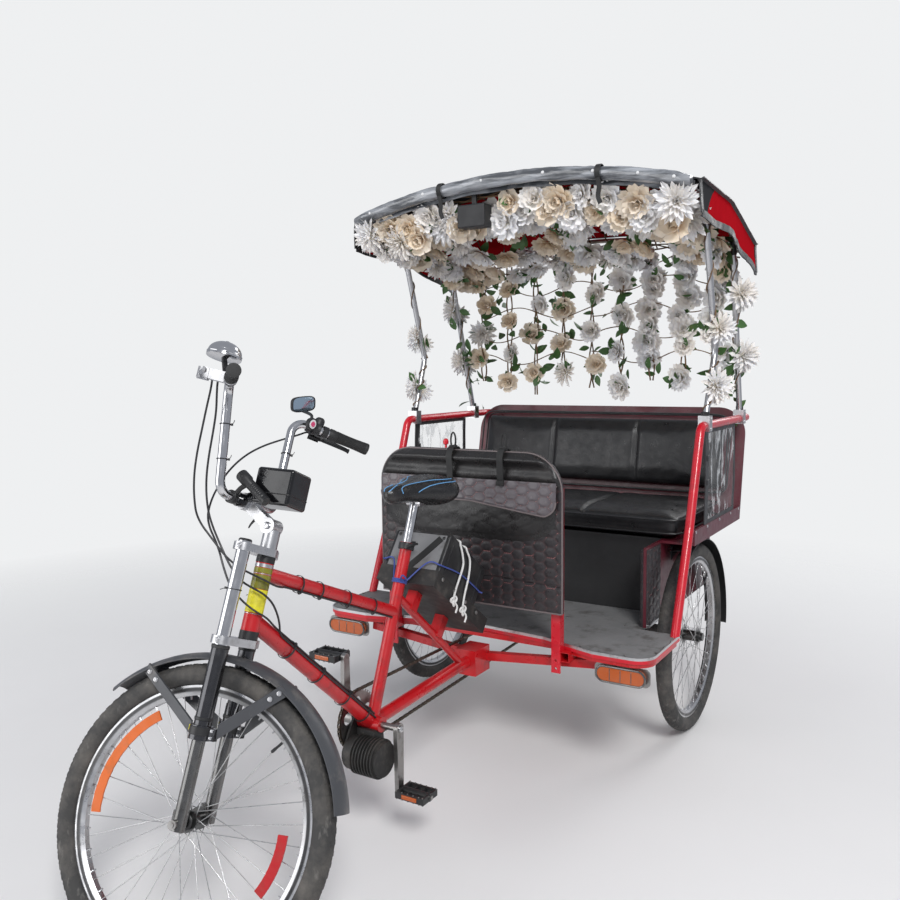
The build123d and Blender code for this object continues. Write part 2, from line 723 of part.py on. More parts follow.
def grip_exit(side):
    """Where a cable leaves a lever's clamp and turns inward, on the left or the right."""
    places = [along_grip(136.8, 38.0, -2.0), along_grip(160.0, 39.5, -6.0), along_grip(180.0, 37.0, -24.0)]
    return [by_bar(side * place.X, place.Y, place.Z) for place in places]


def control_cables():
    """The loops from the levers to the frame, which bend as the bar turns."""
    brake = grip_exit(1) + [by_bar(*point) for point in left_brake_loop] + [by_fork(*point) for point in upper_gap]
    brake += [Vector(*point) for point in upper_bend] + [under_top_tube(75.0, 1), under_top_tube(105.0, 1)]
    wire = [by_bar(*along_grip(136.8, 26.0, -6.0)), by_bar(*along_grip(158.0, 26.0, -14.0)), by_bar(*along_grip(176.0, 22.0, -34.0))]
    wire += [by_bar(*point) for point in left_wire_loop] + [by_fork(*point) for point in middle_gap]
    wire += [Vector(*point) for point in middle_bend] + [on_down_tube(85.0, wire_tilt), on_down_tube(115.0, wire_tilt)]
    right = grip_exit(-1) + [by_bar(*point) for point in right_brake_loop] + [by_fork(*point) for point in lower_gap]
    right += [Vector(*point) for point in lower_bend] + [on_down_tube(80.0, brake_tilt), on_down_tube(110.0, brake_tilt)]
    return Compound([cable(brake), cable(wire), cable(right)])


def straight_cable(start, end):
    return rod(start, end, cable_radius)


def frame_cables():
    """The cables' lower stretches, tied under the top tube and on the down tube."""
    foot = (on_seat_tube(top_tube_foot) - on_axis(554.0)).length - tube_radius + 1.2
    return Compound([
        straight_cable(under_top_tube(105.0, 1), under_top_tube(foot, 1)),
        straight_cable(on_down_tube(115.0, wire_tilt), on_down_tube(582.0, wire_tilt)),
        straight_cable(on_down_tube(110.0, brake_tilt), on_down_tube(579.0, brake_tilt)),
    ])


nodes["control_cables"] = control_cables()
nodes["frame_cables"] = frame_cables()


# Battery case and tray

def battery_case():
    box = Box(2 * case_half_width, case_length, case_thick)
    box = fillet(box.edges().filter_by(Axis.X), 14.0)
    return case_frame * fillet(box.edges().filter_by(Axis.Y), 5.0)


def battery_tray():
    """A moulded trough that slopes down from the seat tube and carries the case."""
    half = case_half_width + seat_gap
    front, rear = -case_length / 2 - tray_lead, case_length / 2 + tray_tail
    low, high = -case_thick / 2 - seat_gap, -case_thick / 2 + tray_side
    floor = block(-half - tray_wall, half + tray_wall, front, rear, low - tray_wall, low)
    side = block(half, half + tray_wall, front, rear, low - tray_wall, high)
    lip = block(-half - tray_wall, half + tray_wall, front, front + tray_wall, low - tray_wall, high)
    return case_frame * (floor + both_sides(side) + lip)


nodes["battery_case"] = battery_case()
nodes["battery_tray"] = battery_tray()


# Cab frame

def square_tube(start, end, up=(0, 0, 1)):
    inner = rail_tube - 2 * tube_wall
    return square_bar(start, end, rail_tube, rail_tube, up) - square_bar(start, end, inner, inner, up)


def floor_outline(inset):
    """Half of the floor's edge on the left, front to rear, then mirrored."""
    side = floor_half_width - inset
    front = floor_front + inset
    corner = 62.0
    points = [(0, floor_notch + inset), (240.0, floor_notch - 22 + inset), (430.0, front), (side - corner, front)]
    edge = Polyline(*points)
    arc = ThreePointArc(points[-1], (side - corner * (1 - cos(radians(45))), front + corner * (1 - cos(radians(45)))),
                        (side, front + corner))
    step = Polyline((side, front + corner), (side, floor_rear), (floor_between_wheels, floor_rear),
                    (floor_between_wheels, seat_back_y - 20), (0, seat_back_y - 20), (0, floor_notch + inset))
    half = make_face([edge, arc, step])
    return half + half.mirror(Plane.YZ)


def cab_frame():
    low = floor_top - floor_thick - seat_gap
    rail_z = low - rail_tube / 2
    left = square_tube((rail_spread, post_y - rail_tube / 2, rail_z), (rail_spread, seat_back_y, rail_z))
    frame = both_sides(left)
    edge = extrude(Pos(0, 0, low - 12.0) * (floor_outline(4.0) - floor_outline(22.0)), amount=12.0)
    edge -= block(-floor_half_width, floor_half_width, floor_rear - 20, seat_back_y, 0, floor_top)
    frame += edge
    for y in (1262.0, 1640.0, seat_back_y - 15):
        frame += block(-rail_spread, rail_spread, y - 13, y + 13, low - 17.0, low)
    frame += block(-38, 38, coupling_front, coupling_rear, coupling_height - 44, coupling_height + 40)
    frame += square_bar((0, coupling_rear - 12, coupling_height), (430.0, 1236.0, rail_z - 20), 26.0, 26.0)
    frame += square_bar((0, coupling_rear - 12, coupling_height), (-430.0, 1236.0, rail_z - 20), 26.0, 26.0)
    return frame


def posts():
    """Two square posts that carry the front panel, each with a bolted tab at its foot."""
    post = square_tube((post_spread, post_y, floor_top - floor_thick - 14), (post_spread, post_y, panel_top - 110), up=(0, 1, 0))
    tab = block(post_spread - 15, post_spread + 15, post_y - 15, post_y - 9, post_foot, floor_top - 30)
    for z in (post_foot + 14, post_foot + 40):
        tab -= rod((post_spread, post_y - 30, z), (post_spread, post_y, z), 4.5)
    return both_sides(post + tab)


nodes["cab_frame"] = cab_frame()
nodes["panel_posts"] = posts()


def axle_housing():
    """The live axle's tube with its differential, chain sprocket, bearings and hangers."""
    y, z = wheelbase, wheel_radius
    reach = half_track - 62.0
    tube = rod((-reach, y, z), (reach, y, z), 23.0)
    tube += both_sides(rod((reach - 26, y, z), (reach, y, z), 36.0))
    tube += rod((-10, y, z), (70, y, z), 60.0) + rod((0, y, z), (60, y, z), 74.0)
    tube += rod((chain_line - 1.5, y, z), (chain_line + 1.5, y, z), axle_sprocket_radius)
    hanger_top = floor_top - floor_thick - rail_tube - 2 * seat_gap
    tube += both_sides(block(rail_spread - 14, rail_spread + 14, y - 34, y + 34, z - 10, hanger_top))
    return tube - both_sides(rod((reach - 92, y, z), (reach + 2, y, z), rear_shaft_radius + pin_clearance))


nodes["axle_housing"] = axle_housing()

floor_low = floor_top - floor_thick
nodes["floor_board"] = extrude(Pos(0, 0, floor_low) * floor_outline(3.0), amount=floor_thick)


def floor_edging():
    ring = floor_outline(0.0) - floor_outline(3.0 - seat_gap)
    ring = extrude(Pos(0, 0, floor_low) * ring, amount=floor_thick + 2)
    return ring - block(-floor_half_width, floor_half_width, floor_rear - 1, seat_back_y, 0, floor_top + 10)


nodes["floor_edging"] = floor_edging()


# Front panel

def panel_outline(inset):
    half, top, bottom = panel_half_width - inset, panel_top - inset, panel_bottom + inset
    turn = panel_corner - inset
    bow = turn * (1 - cos(radians(45)))
    left = [Line((0, bottom), (half, bottom)), Line((half, bottom), (half, top - turn)),
            ThreePointArc((half, top - turn), (half - bow, top - bow), (half - turn, top)), Line((half - turn, top), (0, top))]
    face = make_face(left + [Line((0, top), (0, bottom))])
    return face + face.mirror(Plane.YZ)


def upright(face, y, depth):
    """A face drawn in X and height, stood up at y and given a depth to the rear."""
    return extrude(Plane(origin=(0, y, 0), x_dir=(1, 0, 0), z_dir=(0, -1, 0)) * face, amount=-depth)


nodes["front_panel"] = upright(panel_outline(0.0), panel_front, panel_thick)


def panel_pouch():
    """A padded pocket with its flap on the front of the panel."""
    pocket = RectangleRounded(2 * pocket_half_width, pocket_top - pocket_low, 62.0)
    pocket = upright(Pos(0, (pocket_low + pocket_top) / 2) * pocket, panel_front - pocket_depth - seat_gap, pocket_depth)
    flap = RectangleRounded(2 * flap_half_width, flap_top - flap_low, 50.0)
    flap = upright(Pos(0, (flap_low + flap_top) / 2) * flap, panel_front - flap_depth - seat_gap, flap_depth)
    return pocket + flap


nodes["panel_pouch"] = panel_pouch()


# Body, seat and side rails

back_normal = (0, -cos(radians(back_lean)), sin(radians(back_lean)))
back_plane = Plane(origin=(0, seat_back_y, shelf_height), x_dir=(1, 0, 0), z_dir=back_normal)


def body_shell():
    """The painted tub: walls between the wheels, a shelf over them, side strips and a leaning back."""
    x0, x1 = tub_half_width - wall, tub_half_width
    side = block(x0, x1, floor_rear + 25, seat_back_y, floor_top + seat_gap, shelf_height + 8)
    side += block(x0, body_half_width, seat_front - 40, seat_back_y, shelf_height, shelf_height + 8)
    side += block(body_half_width - wall, body_half_width, seat_front - 40, seat_back_y, shelf_height, strip_top)
    shell = both_sides(side)
    shell += block(-x1, x1, seat_back_y - wall, seat_back_y, floor_top + seat_gap, shelf_height + 8)
    rise = back_top - shelf_height
    back = RectangleRounded(2 * body_half_width, rise + 120, 110.0)
    back = extrude(back, amount=wall) - Pos(0, -(rise + 120) / 2 + 60, 0) * Box(3000, 120, 60)
    back = Pos(0, rise / 2 - 60, 0) * back
    return shell + back_plane.location * back


nodes["body_shell"] = body_shell()


def seat_base():
    front = block(-478, 478, seat_front, seat_front + 14, floor_top + seat_gap, shelf_height - 6)
    top = block(-478, 478, seat_front, seat_back_y - wall - 4, shelf_height - 20, shelf_height - seat_gap + 8)
    return front + top


nodes["seat_base"] = seat_base()

cushion_low = shelf_height + 8 + seat_gap
cushion = block(-cushion_half_width, cushion_half_width, seat_front - 46, seat_back_y - 96, cushion_low, cushion_low + cushion_thick)
nodes["seat_cushion"] = fillet(cushion.edges().filter_by(Axis.X), 26.0)


def backrest():
    pad = Pos(0, 250, wall + seat_gap + backrest_thick / 2) * Box(2 * cushion_half_width, 320, backrest_thick)
    return back_plane.location * fillet(pad.edges().filter_by(Axis.X), 24.0)


nodes["seat_backrest"] = backrest()
side_lining = block(tub_half_width - wall - 14, tub_half_width - wall - seat_gap, floor_rear + 25, seat_front - 1,
                    floor_top + seat_gap, shelf_height)
nodes["side_linings"] = both_sides(side_lining)


def side_rails():
    """One hoop of red tube: up from the floor's corner, along the arm and round behind the seat."""
    back_y = seat_back_y + 118.0
    left = [(rail_x, floor_rear - 30, floor_top - 25.0), (rail_x, seat_front - 92, shelf_height + 70.0),
            (rail_x, seat_front + 26, rail_top), (rail_x, back_y, rail_top), (0, back_y, rail_top)]
    right = [(-x, y, z) for x, y, z in reversed(left[:-1])]
    hoop = bent_rod(left[:-1] + right, 40.0, rail_radius)
    hoop -= block(-700, 700, floor_front, seat_front, 300.0, floor_top + seat_gap)
    over_edging = block(floor_half_width - 4, 700, floor_front, seat_front, 300.0, floor_top + 2 + seat_gap)
    return hoop - both_sides(over_edging)


nodes["side_rails"] = side_rails()


def rear_mudguard():
    """An arched blade over the tyre with a narrow inner skirt that bolts to the tub."""
    radius, half_width, thick = 362.0, 38.0, 3.0
    outer = ThreePointArc((-half_width, radius - 10), (0, radius), (half_width, radius - 10))
    inner = ThreePointArc((half_width, radius - 13), (0, radius - thick), (-half_width, radius - 13))
    blade = make_face([outer, Line(outer @ 1, inner @ 0), inner, Line(inner @ 1, outer @ 0)])
    blade += Pos(-half_width + 1.5, radius - 25) * Rectangle(3.0, 32.0)
    guard = revolve(blade, axis=Axis.X, revolution_arc=118.0)
    guard = Pos(half_track, wheelbase, wheel_radius) * Rot(-6.0, 0, 0) * guard
    for angle in (78.0, 140.0):
        y, z = wheelbase - 340 * cos(radians(angle)), wheel_radius + 340 * sin(radians(angle))
        guard += rod((tub_half_width + seat_gap, y, z), (half_track - half_width + 2, y, z), 8.0)
    return both_sides(guard)


nodes["rear_mudguards"] = rear_mudguard()


# Hood

pole_top_x = bow_half_span - bow_radius - pole_radius - seat_gap
pole_foot_height = rail_top + rail_radius + 6
front_foot = (rail_x, front_pole_foot, pole_foot_height)
front_knee = (rail_x + 6, 1858.0, 1352.0)
front_pole_top = (pole_top_x, 1694.0, 1864.0)
rear_foot = (rail_x, rear_pole_foot, pole_foot_height)
rear_pole_top = (pole_top_x, 2062.0, 1794.0)


def canopy_poles():
    """Cranked front poles from the rail clamps, and rear poles from the arm rails, with their clamps."""
    front = bent_rod([front_foot, front_knee, front_pole_top], 60.0, pole_radius)
    rear = rod(rear_foot, rear_pole_top, pole_radius)
    poles = front + rear
    for y in (front_pole_foot, rear_pole_foot):
        clamp = block(rail_x - 20, rail_x + 20, y - 18, y + 18, rail_top - 20, rail_top + 34)
        clamp -= rod((rail_x, y - 40, rail_top), (rail_x, y + 40, rail_top), rail_radius + pin_clearance)
        poles += clamp
    return both_sides(poles)


def bow_arc(y, edge, crown, half, lift=0.0):
    return ThreePointArc((-half, y, edge + lift), (0, y, crown + lift), (half, y, edge + lift))


def canopy_bows():
    frame = []
    for y, edge, crown in bows:
        arc = bow_arc(y, edge, crown, bow_half_span)
        frame.append(sweep(Plane(origin=arc @ 0, z_dir=arc % 0) * Circle(bow_radius), path=arc))
    for side in (-1, 1):
        for start, end in ((0, 1), (1, 2)):
            first = (side * bow_half_span, bows[start][0], bows[start][1])
            last = (side * bow_half_span, bows[end][0], bows[end][1])
            frame.append(rod(first, last, bow_radius))
        for y, edge, crown in bows:
            frame.append(Pos(side * bow_half_span, y, edge) * Box(*bow_corner))
    return frame[0].fuse(*frame[1:])


def hood_section(y, edge, crown):
    """The hood's sheet across the cab at one bow, with its side valances."""
    half, inner_half = hood_half_width, hood_half_width - hood_sheet
    low = edge - valance
    outer = ThreePointArc((-half, edge + 11), (0, crown + 18), (half, edge + 11))
    inner = ThreePointArc((inner_half, edge + 7), (0, crown + 18 - hood_sheet), (-inner_half, edge + 7))
    edges = [outer, Line((half, edge + 11), (half + 8, low)), Line((half + 8, low), (inner_half + 8, low)),
             Line((inner_half + 8, low), (inner_half, edge + 7)), inner, Line((-inner_half, edge + 7), (-inner_half - 8, low)),
             Line((-inner_half - 8, low), (-half - 8, low)), Line((-half - 8, low), (-half, edge + 11))]
    return Plane(origin=(0, y, 0), x_dir=(1, 0, 0), z_dir=(0, -1, 0)) * make_face(edges)


def canopy_roof():
    spans = [hood_section(bows[0][0] - 20, bows[0][1], bows[0][2]), hood_section(*bows[1]),
             hood_section(bows[2][0] + 20, bows[2][1] - 4, bows[2][2] - 4)]
    return loft(spans, ruled=True)


def curtain_roll():
    y, edge, crown = bows[0]
    arc = bow_arc(y - 20 - roll_ahead, edge + 2, crown + 2, hood_half_width - 20)
    return sweep(Plane(origin=arc @ 0, z_dir=arc % 0) * Circle(roll_radius), path=arc)


nodes["canopy_bows"] = canopy_bows()
nodes["canopy_poles"] = canopy_poles()
nodes["canopy_roof"] = canopy_roof()
nodes["curtain_roll"] = curtain_roll()


def arc_height(half, edge, crown, x):
    """Height at a distance across the cab of an arc that is drawn like a bow."""
    rise = crown - edge
    radius = (rise ** 2 + half ** 2) / (2 * rise)
    return crown - radius + sqrt(radius ** 2 - x ** 2)


def roof_lamp():
    """A small black lamp box on a strap under the front bow."""
    y, edge, crown = bows[0]
    box = block(-198, -88, y - 38, y + 22, 1800.0, 1880.0)
    strap_top = arc_height(bow_half_span, edge, crown, 152.0) - bow_radius - seat_gap
    hanger = block(-152, -134, y - 11.0, y - 2.3, 1875.0, strap_top)
    return fillet(box.edges(), 6.0) + hanger


nodes["roof_lamp"] = roof_lamp()


def marker_lamps():
    lens = upright(Pos(520.0, 378.0) * SlotOverall(150.0, 44.0), floor_front + 4, 16.0)
    return both_sides(lens)


def marker_brackets():
    plate = upright(Pos(520.0, 378.0) * RectangleRounded(176.0, 56.0, 16.0), floor_front + 20.3, 3.0)
    tongue = block(500, 540, floor_front + 20.3, floor_front + 23.3, 400.0, floor_low - 12.6)
    return both_sides(plate + tongue)


nodes["marker_lamps"] = marker_lamps()
nodes["marker_brackets"] = marker_brackets()


def side_curtains():
    """Clear sheets that hang from the arm rails down to the body's side strips."""
    sheet = block(rail_x - 4, rail_x + 4, front_pole_foot + 18 + seat_gap, rear_pole_foot - 82.0, strip_top + seat_gap, rail_top - rail_radius - seat_gap)
    return both_sides(sheet)


nodes["side_curtains"] = side_curtains()


# Garlands of leaves and blossoms, as the plain bodies that their bunches fill

def hood_garlands():
    """One garland behind and below each bow."""
    ropes = []
    for y, edge, crown in bows:
        arc = bow_arc(y + garland_drop, edge - garland_drop, crown - garland_drop, bow_half_span - garland_inset)
        ropes.append(sweep(Plane(origin=arc @ 0, z_dir=arc % 0) * Circle(garland_radius), path=arc))
    return Compound(ropes)


def rear_strands():
    """Vines that hang from the rear garland across the opening behind the seat."""
    strands = []
    y, edge, crown = bows[2][0] + garland_drop, bows[2][1] - garland_drop, bows[2][2] - garland_drop
    for index in range(strand_count):
        x = (index - strand_count // 2) * strand_pitch
        outer = abs(x) + strand_radius
        height = arc_height(bow_half_span - garland_inset, edge, crown, outer)
        slope = (height - arc_height(bow_half_span - garland_inset, edge, crown, outer + 1))
        top = height - garland_radius * sqrt(1 + slope ** 2) - seat_gap
        strands.append(rod((x, y, strand_foot - 30 * (index % 3)), (x, y, top), strand_radius))
    return Compound(strands)


def pole_blossoms():
    """Large blossoms tied to the outer side of the hood's poles, at shares of each pole's run."""
    heads = []
    for start, end, share in (
        (front_knee, front_pole_top, 0.16), (front_foot, front_knee, 0.5), (rear_foot, rear_pole_top, 0.67),
        (rear_foot, rear_pole_top, 0.33),
    ):
        start, end = Vector(*start), Vector(*end)
        centre = start + (end - start) * share + Vector(pole_radius + blossom_radius - blossom_overlap, 0, 0)
        head = Pos(*centre) * Sphere(blossom_radius) - rod(start, end, pole_radius + seat_gap)
        heads += [head, head.mirror(Plane.YZ)]
    return Compound(heads)


nodes["hood_garlands"] = hood_garlands()
nodes["rear_strands"] = rear_strands()
nodes["pole_blossoms"] = pole_blossoms()

# Stand the origin at the middle of the whole, on the ground
boxes = [shape.bounding_box() for shape in nodes.values()]
front_end, rear_end = min(box.min.Y for box in boxes), max(box.max.Y for box in boxes)
shift = Vector(0, -(front_end + rear_end) / 2, 0)
os.makedirs("parts", exist_ok=True)
for name, shape in nodes.items():
    export_step(Location(shift) * shape, f"parts/{name}.step")
print("front", front_end, "rear", rear_end, "lowest", min(box.min.Z for box in boxes))
print("width", min(box.min.X for box in boxes), max(box.max.X for box in boxes), "top", max(box.max.Z for box in boxes))
print("pivot", shift + pivot, "axis", steer_axis, "left", steered_left)
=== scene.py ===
"""Looks of the cycle rickshaw: materials, soft goods, flowers and small parts over the packed CAD model."""
import math
import random

import bmesh
import bpy
import numpy as np
from mathutils import Matrix, Vector, noise


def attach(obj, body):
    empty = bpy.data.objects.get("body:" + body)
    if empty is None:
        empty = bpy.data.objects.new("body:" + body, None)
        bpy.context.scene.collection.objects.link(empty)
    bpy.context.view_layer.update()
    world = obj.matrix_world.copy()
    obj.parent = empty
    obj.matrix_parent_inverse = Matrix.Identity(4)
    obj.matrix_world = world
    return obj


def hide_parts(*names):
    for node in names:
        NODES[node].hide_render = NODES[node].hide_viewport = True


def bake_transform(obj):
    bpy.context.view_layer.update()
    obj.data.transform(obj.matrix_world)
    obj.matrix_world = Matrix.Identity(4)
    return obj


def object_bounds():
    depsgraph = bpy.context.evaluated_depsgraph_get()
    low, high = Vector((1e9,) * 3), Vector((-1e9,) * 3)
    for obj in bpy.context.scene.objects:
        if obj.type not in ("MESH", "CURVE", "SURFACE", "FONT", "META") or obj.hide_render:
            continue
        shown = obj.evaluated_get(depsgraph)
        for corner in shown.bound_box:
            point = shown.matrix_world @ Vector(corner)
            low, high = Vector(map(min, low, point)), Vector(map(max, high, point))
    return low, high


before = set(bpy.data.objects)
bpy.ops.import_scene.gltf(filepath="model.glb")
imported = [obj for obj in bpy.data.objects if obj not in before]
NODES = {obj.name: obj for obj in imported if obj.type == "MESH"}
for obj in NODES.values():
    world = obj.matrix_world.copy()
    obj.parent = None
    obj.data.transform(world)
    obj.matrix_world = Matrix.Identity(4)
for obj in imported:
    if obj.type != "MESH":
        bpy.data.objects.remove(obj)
CAD_BOX = [list(corner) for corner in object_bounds()]

bl_info = {
    "name": "Cycle Rickshaw",
    "version": (1, 0, 0),
    "blender": (4, 5, 0),
    "location": "3D View > Sidebar > Rickshaw",
    "description": "Dresses the packed model of a cycle rickshaw",
    "category": "Object",
}

X_AXIS, Y_AXIS, Z_AXIS = Vector((1, 0, 0)), Vector((0, 1, 0)), Vector((0, 0, 1))

# The CAD source measures Y from the front axle, and the row from the middle of the box
SHIFT = CAD_BOX[1][1] - 2.403


def at(x, y, z):
    """A point given with Y from the front axle, in millimetres, as the row's metres."""
    return Vector((x / 1000, y / 1000 + SHIFT, z / 1000))


# Settings that a user would change

def color_setting(name, description, value):
    return bpy.props.FloatVectorProperty(name=name, description=description, default=value, subtype="COLOR")


def length_setting(name, description, value):
    return bpy.props.FloatProperty(name=name, description=description, default=value, unit="LENGTH")


def angle_setting(name, description, value):
    return bpy.props.FloatProperty(name=name, description=description, default=value, subtype="ANGLE",
                                   unit="ROTATION")


class StageSettings(bpy.types.PropertyGroup):
    """Camera, floor and lights."""
    place: bpy.props.FloatVectorProperty(
        name="Camera place", description="Where the camera stands", default=(1.4298, -2.37621, 1.2962),
        subtype="TRANSLATION", unit="LENGTH")
    heading: angle_setting("Heading", "Turn of the view from +Y towards -X", 0.5534)
    pitch: angle_setting("Pitch", "Downward tilt of the view", 0.0901)
    roll: angle_setting("Roll", "Turn of the picture about the view", -0.0109)
    lens: bpy.props.FloatProperty(name="Lens", description="Focal length in millimetres", default=34.883)
    floor_color: color_setting("Floor colour", "Plain pale floor", (0.82, 0.81, 0.80))
    key_power: bpy.props.FloatProperty(
        name="Key light", description="Power of the large soft light", default=400.0, unit="POWER")


class PaintSettings(bpy.types.PropertyGroup):
    """Colours of the painted and plastic parts."""
    frame_red: color_setting("Frame red", "Worn paint of the cycle frame", (0.50, 0.006, 0.010))
    rail_red: color_setting("Rail red", "Bright paint of the rails and posts", (0.60, 0.008, 0.022))
    maroon: color_setting("Body maroon", "Paint of the tub and its back", (0.105, 0.010, 0.020))
    guard_grey: color_setting("Mudguard grey", "Front mudguard's plastic", (0.060, 0.062, 0.068))
    tape_yellow: color_setting("Tape yellow", "Tape round the head tube", (0.78, 0.70, 0.02))
    amber: color_setting("Amber", "Front marker lenses", (0.46, 0.085, 0.006))


class TyreSettings(bpy.types.PropertyGroup):
    """Tyres and their tread."""
    section: length_setting("Section", "Radius of the casing's round section", 0.0268)
    bar_count: bpy.props.IntProperty(name="Tread bars", description="Tread bars in each row", default=92)
    color: color_setting("Rubber", "Worn rubber", (0.040, 0.039, 0.038))


class HoodSettings(bpy.types.PropertyGroup):
    """Hood cloth, its rolled curtain and its bindings."""
    sag: length_setting("Sag", "Depth of the cloth between two bows", 0.012)
    roll_radius: length_setting("Roll radius", "Radius of the rolled curtain", 0.024)
    cloth: color_setting("Hood cloth", "Red coated cloth", (0.52, 0.010, 0.018))
    binding: color_setting("Binding", "Dark edge binding", (0.030, 0.030, 0.032))


class FlowerSettings(bpy.types.PropertyGroup):
    """Flowers, leaves and vines under the hood."""
    bloom: length_setting("Bloom", "Radius of a common flower", 0.060)
    pitch: length_setting("Pitch", "Distance between flowers in a row", 0.082)
    leaf: length_setting("Leaf", "Length of a common leaf", 0.058)
    white: color_setting("White petals", "Fresh petals", (0.91, 0.90, 0.90))
    cream: color_setting("Cream petals", "Warmer petals", (0.87, 0.77, 0.64))
    green: color_setting("Leaves", "Leaf green", (0.035, 0.085, 0.022))


class QuiltSettings(bpy.types.PropertyGroup):
    """Quilted vinyl of the front panel and the side linings."""
    cell: length_setting("Cell height", "Height of one six-sided cell between its flat sides", 0.032)
    pitch: length_setting("Column pitch", "Distance from one column of cells to the next", 0.0375)
    puff: length_setting("Puff", "Height of a cell above its seams", 0.0042)
    vinyl: color_setting("Vinyl", "Dark vinyl", (0.026, 0.023, 0.025))
    thread: color_setting("Thread", "Pinkish thread", (0.42, 0.16, 0.16))


class SeatSettings(bpy.types.PropertyGroup):
    """Bench cushion, backrest and saddle."""
    pressure: bpy.props.FloatProperty(
        name="Pressure", description="Air pressure that swells a cushion", default=4.0)
    cap: length_setting("Swell cap", "Farthest that a point of a cushion may move", 0.014)
    vinyl: color_setting("Cushion vinyl", "Black coated cloth", (0.012, 0.012, 0.013))
    stitch: color_setting("Saddle stitch", "Blue piping of the saddle", (0.15, 0.38, 0.68))


# Material tools

class Graph:
    """A short way to write a node tree."""

    def __init__(self, name):
        self.material = bpy.data.materials.new(name)
        self.material.use_nodes = True
        self.tree = self.material.node_tree
        self.shader = self.tree.nodes["Principled BSDF"]
        self.out = self.tree.nodes["Material Output"]

    def add(self, kind, **values):
        node = self.tree.nodes.new("ShaderNode" + kind)
        for key, value in values.items():
            if key in node.inputs:
                self.put(node.inputs[key], value)
            else:
                setattr(node, key, value)
        return node

    def put(self, socket, value):
        if isinstance(value, bpy.types.NodeSocket):
            self.tree.links.new(value, socket)
        else:
            socket.default_value = value

    def set(self, **values):
        for key, value in values.items():
            self.put(self.shader.inputs[key.replace("_", " ")], value)

    def coords(self):
        return self.add("TexCoord").outputs["Object"]

    def noise(self, scale, detail=4.0, rough=0.55, vector=None, stretch=None):
        vector = vector or self.coords()
        if stretch:
            vector = self.add("Mapping", Scale=stretch, Vector=vector).outputs[0]
        return self.add("TexNoise", Scale=scale, Detail=detail, Roughness=rough, Vector=vector).outputs["Fac"]

    def ramp(self, factor, stops):
        node = self.add("ValToRGB")
        self.put(node.inputs[0], factor)
        ramp = node.color_ramp
        while len(ramp.elements) < len(stops):
            ramp.elements.new(0.5)
        for element, (place, color) in zip(ramp.elements, stops):
            element.position = place
            element.color = color if len(color) == 4 else (*color, 1.0)
        return node.outputs["Color"]

    def range(self, value, low, high, to_low=0.0, to_high=1.0):
        node = self.add("MapRange")
        for index, entry in enumerate((value, low, high, to_low, to_high)):
            self.put(node.inputs[index], entry)
        return node.outputs["Result"]

    def mix(self, factor, first, second):
        node = self.add("Mix", data_type="RGBA")
        self.put(node.inputs["Factor"], factor)
        for socket, value in ((node.inputs[6], first), (node.inputs[7], second)):
            if not isinstance(value, bpy.types.NodeSocket) and len(value) == 3:
                value = (*value, 1.0)
            self.put(socket, value)
        return node.outputs[2]

    def gloss(self, scale, detail, low, high):
        """Uneven roughness between two values."""
        self.set(Roughness=self.range(self.noise(scale, detail), 0.3, 0.7, low, high))

    def math(self, operation, first, second=0.5):
        node = self.add("Math", operation=operation)
        self.put(node.inputs[0], first)
        self.put(node.inputs[1], second)
        return node.outputs[0]

    def bump(self, height, strength=0.3, distance=0.001, normal=None):
        node = self.add("Bump", Strength=strength, Distance=distance)
        self.put(node.inputs["Height"], height)
        if normal:
            self.put(node.inputs["Normal"], normal)
        self.put(self.shader.inputs["Normal"], node.outputs[0])
        return node.outputs[0]


def plain(name, color, rough=0.5, metal=0.0, grain=180.0, depth=0.15, vary=0.25, coat=0.0, dirt=None):
    """A finish with colour variation, small bumps and uneven gloss, and patches of dirt where asked."""
    graph = Graph(name)
    dark = tuple(c * (1 - vary) for c in color)
    light = tuple(min(1.0, c * (1 + vary)) for c in color)
    tone = graph.mix(graph.noise(9.0, 6.0, 0.6), dark, light)
    if dirt:
        patches = graph.range(graph.noise(14.0, 8.0, 0.7), 0.52, 0.66)
        tone = graph.mix(graph.math("MULTIPLY", patches, dirt[3]), tone, dirt[:3])
    graph.set(Base_Color=tone, Metallic=metal)
    graph.gloss(26.0, 5.0, max(0.03, rough - 0.08), min(1.0, rough + 0.1))
    graph.shader.inputs["Coat Weight"].default_value = coat
    graph.bump(graph.noise(grain, 3.0), depth, 0.0006)
    return graph.material


def dress(material, *names):
    """Gives CAD nodes a material."""
    for name in names:
        mesh = NODES[name].data
        mesh.materials.clear()
        mesh.materials.append(material)


def smooth(obj, angle=35.0):
    """Smooth shading, sharp where faces meet at more than the angle."""
    obj.data.set_sharp_from_angle(angle=math.radians(angle))
    for polygon in obj.data.polygons:
        polygon.use_smooth = True


def mesh_object(name, points, faces, material):
    """A mesh object from points in the row's metres."""
    mesh = bpy.data.meshes.new(name)
    mesh.from_pydata([tuple(p) for p in points], [], [tuple(f) for f in faces])
    mesh.materials.append(material)
    mesh.update()
    obj = bpy.data.objects.new(name, mesh)
    bpy.context.scene.collection.objects.link(obj)
    return obj


def finish_piece(obj, body, replaces=(), angle=35.0):
    """Smooth shading, the body it rides on and the CAD nodes it stands for."""
    smooth(obj, angle)
    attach(obj, body)
    if replaces:
        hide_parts(*replaces)
    return obj


def grid_faces(rows, columns, close_rows=False, close_columns=False):
    """Four-sided faces over rows of points."""
    faces = []
    for i in range(rows if close_rows else rows - 1):
        for j in range(columns if close_columns else columns - 1):
            a, b = i * columns + j, i * columns + (j + 1) % columns
            c, d = ((i + 1) % rows) * columns + (j + 1) % columns, ((i + 1) % rows) * columns + j
            faces.append((a, b, c, d))
    return faces


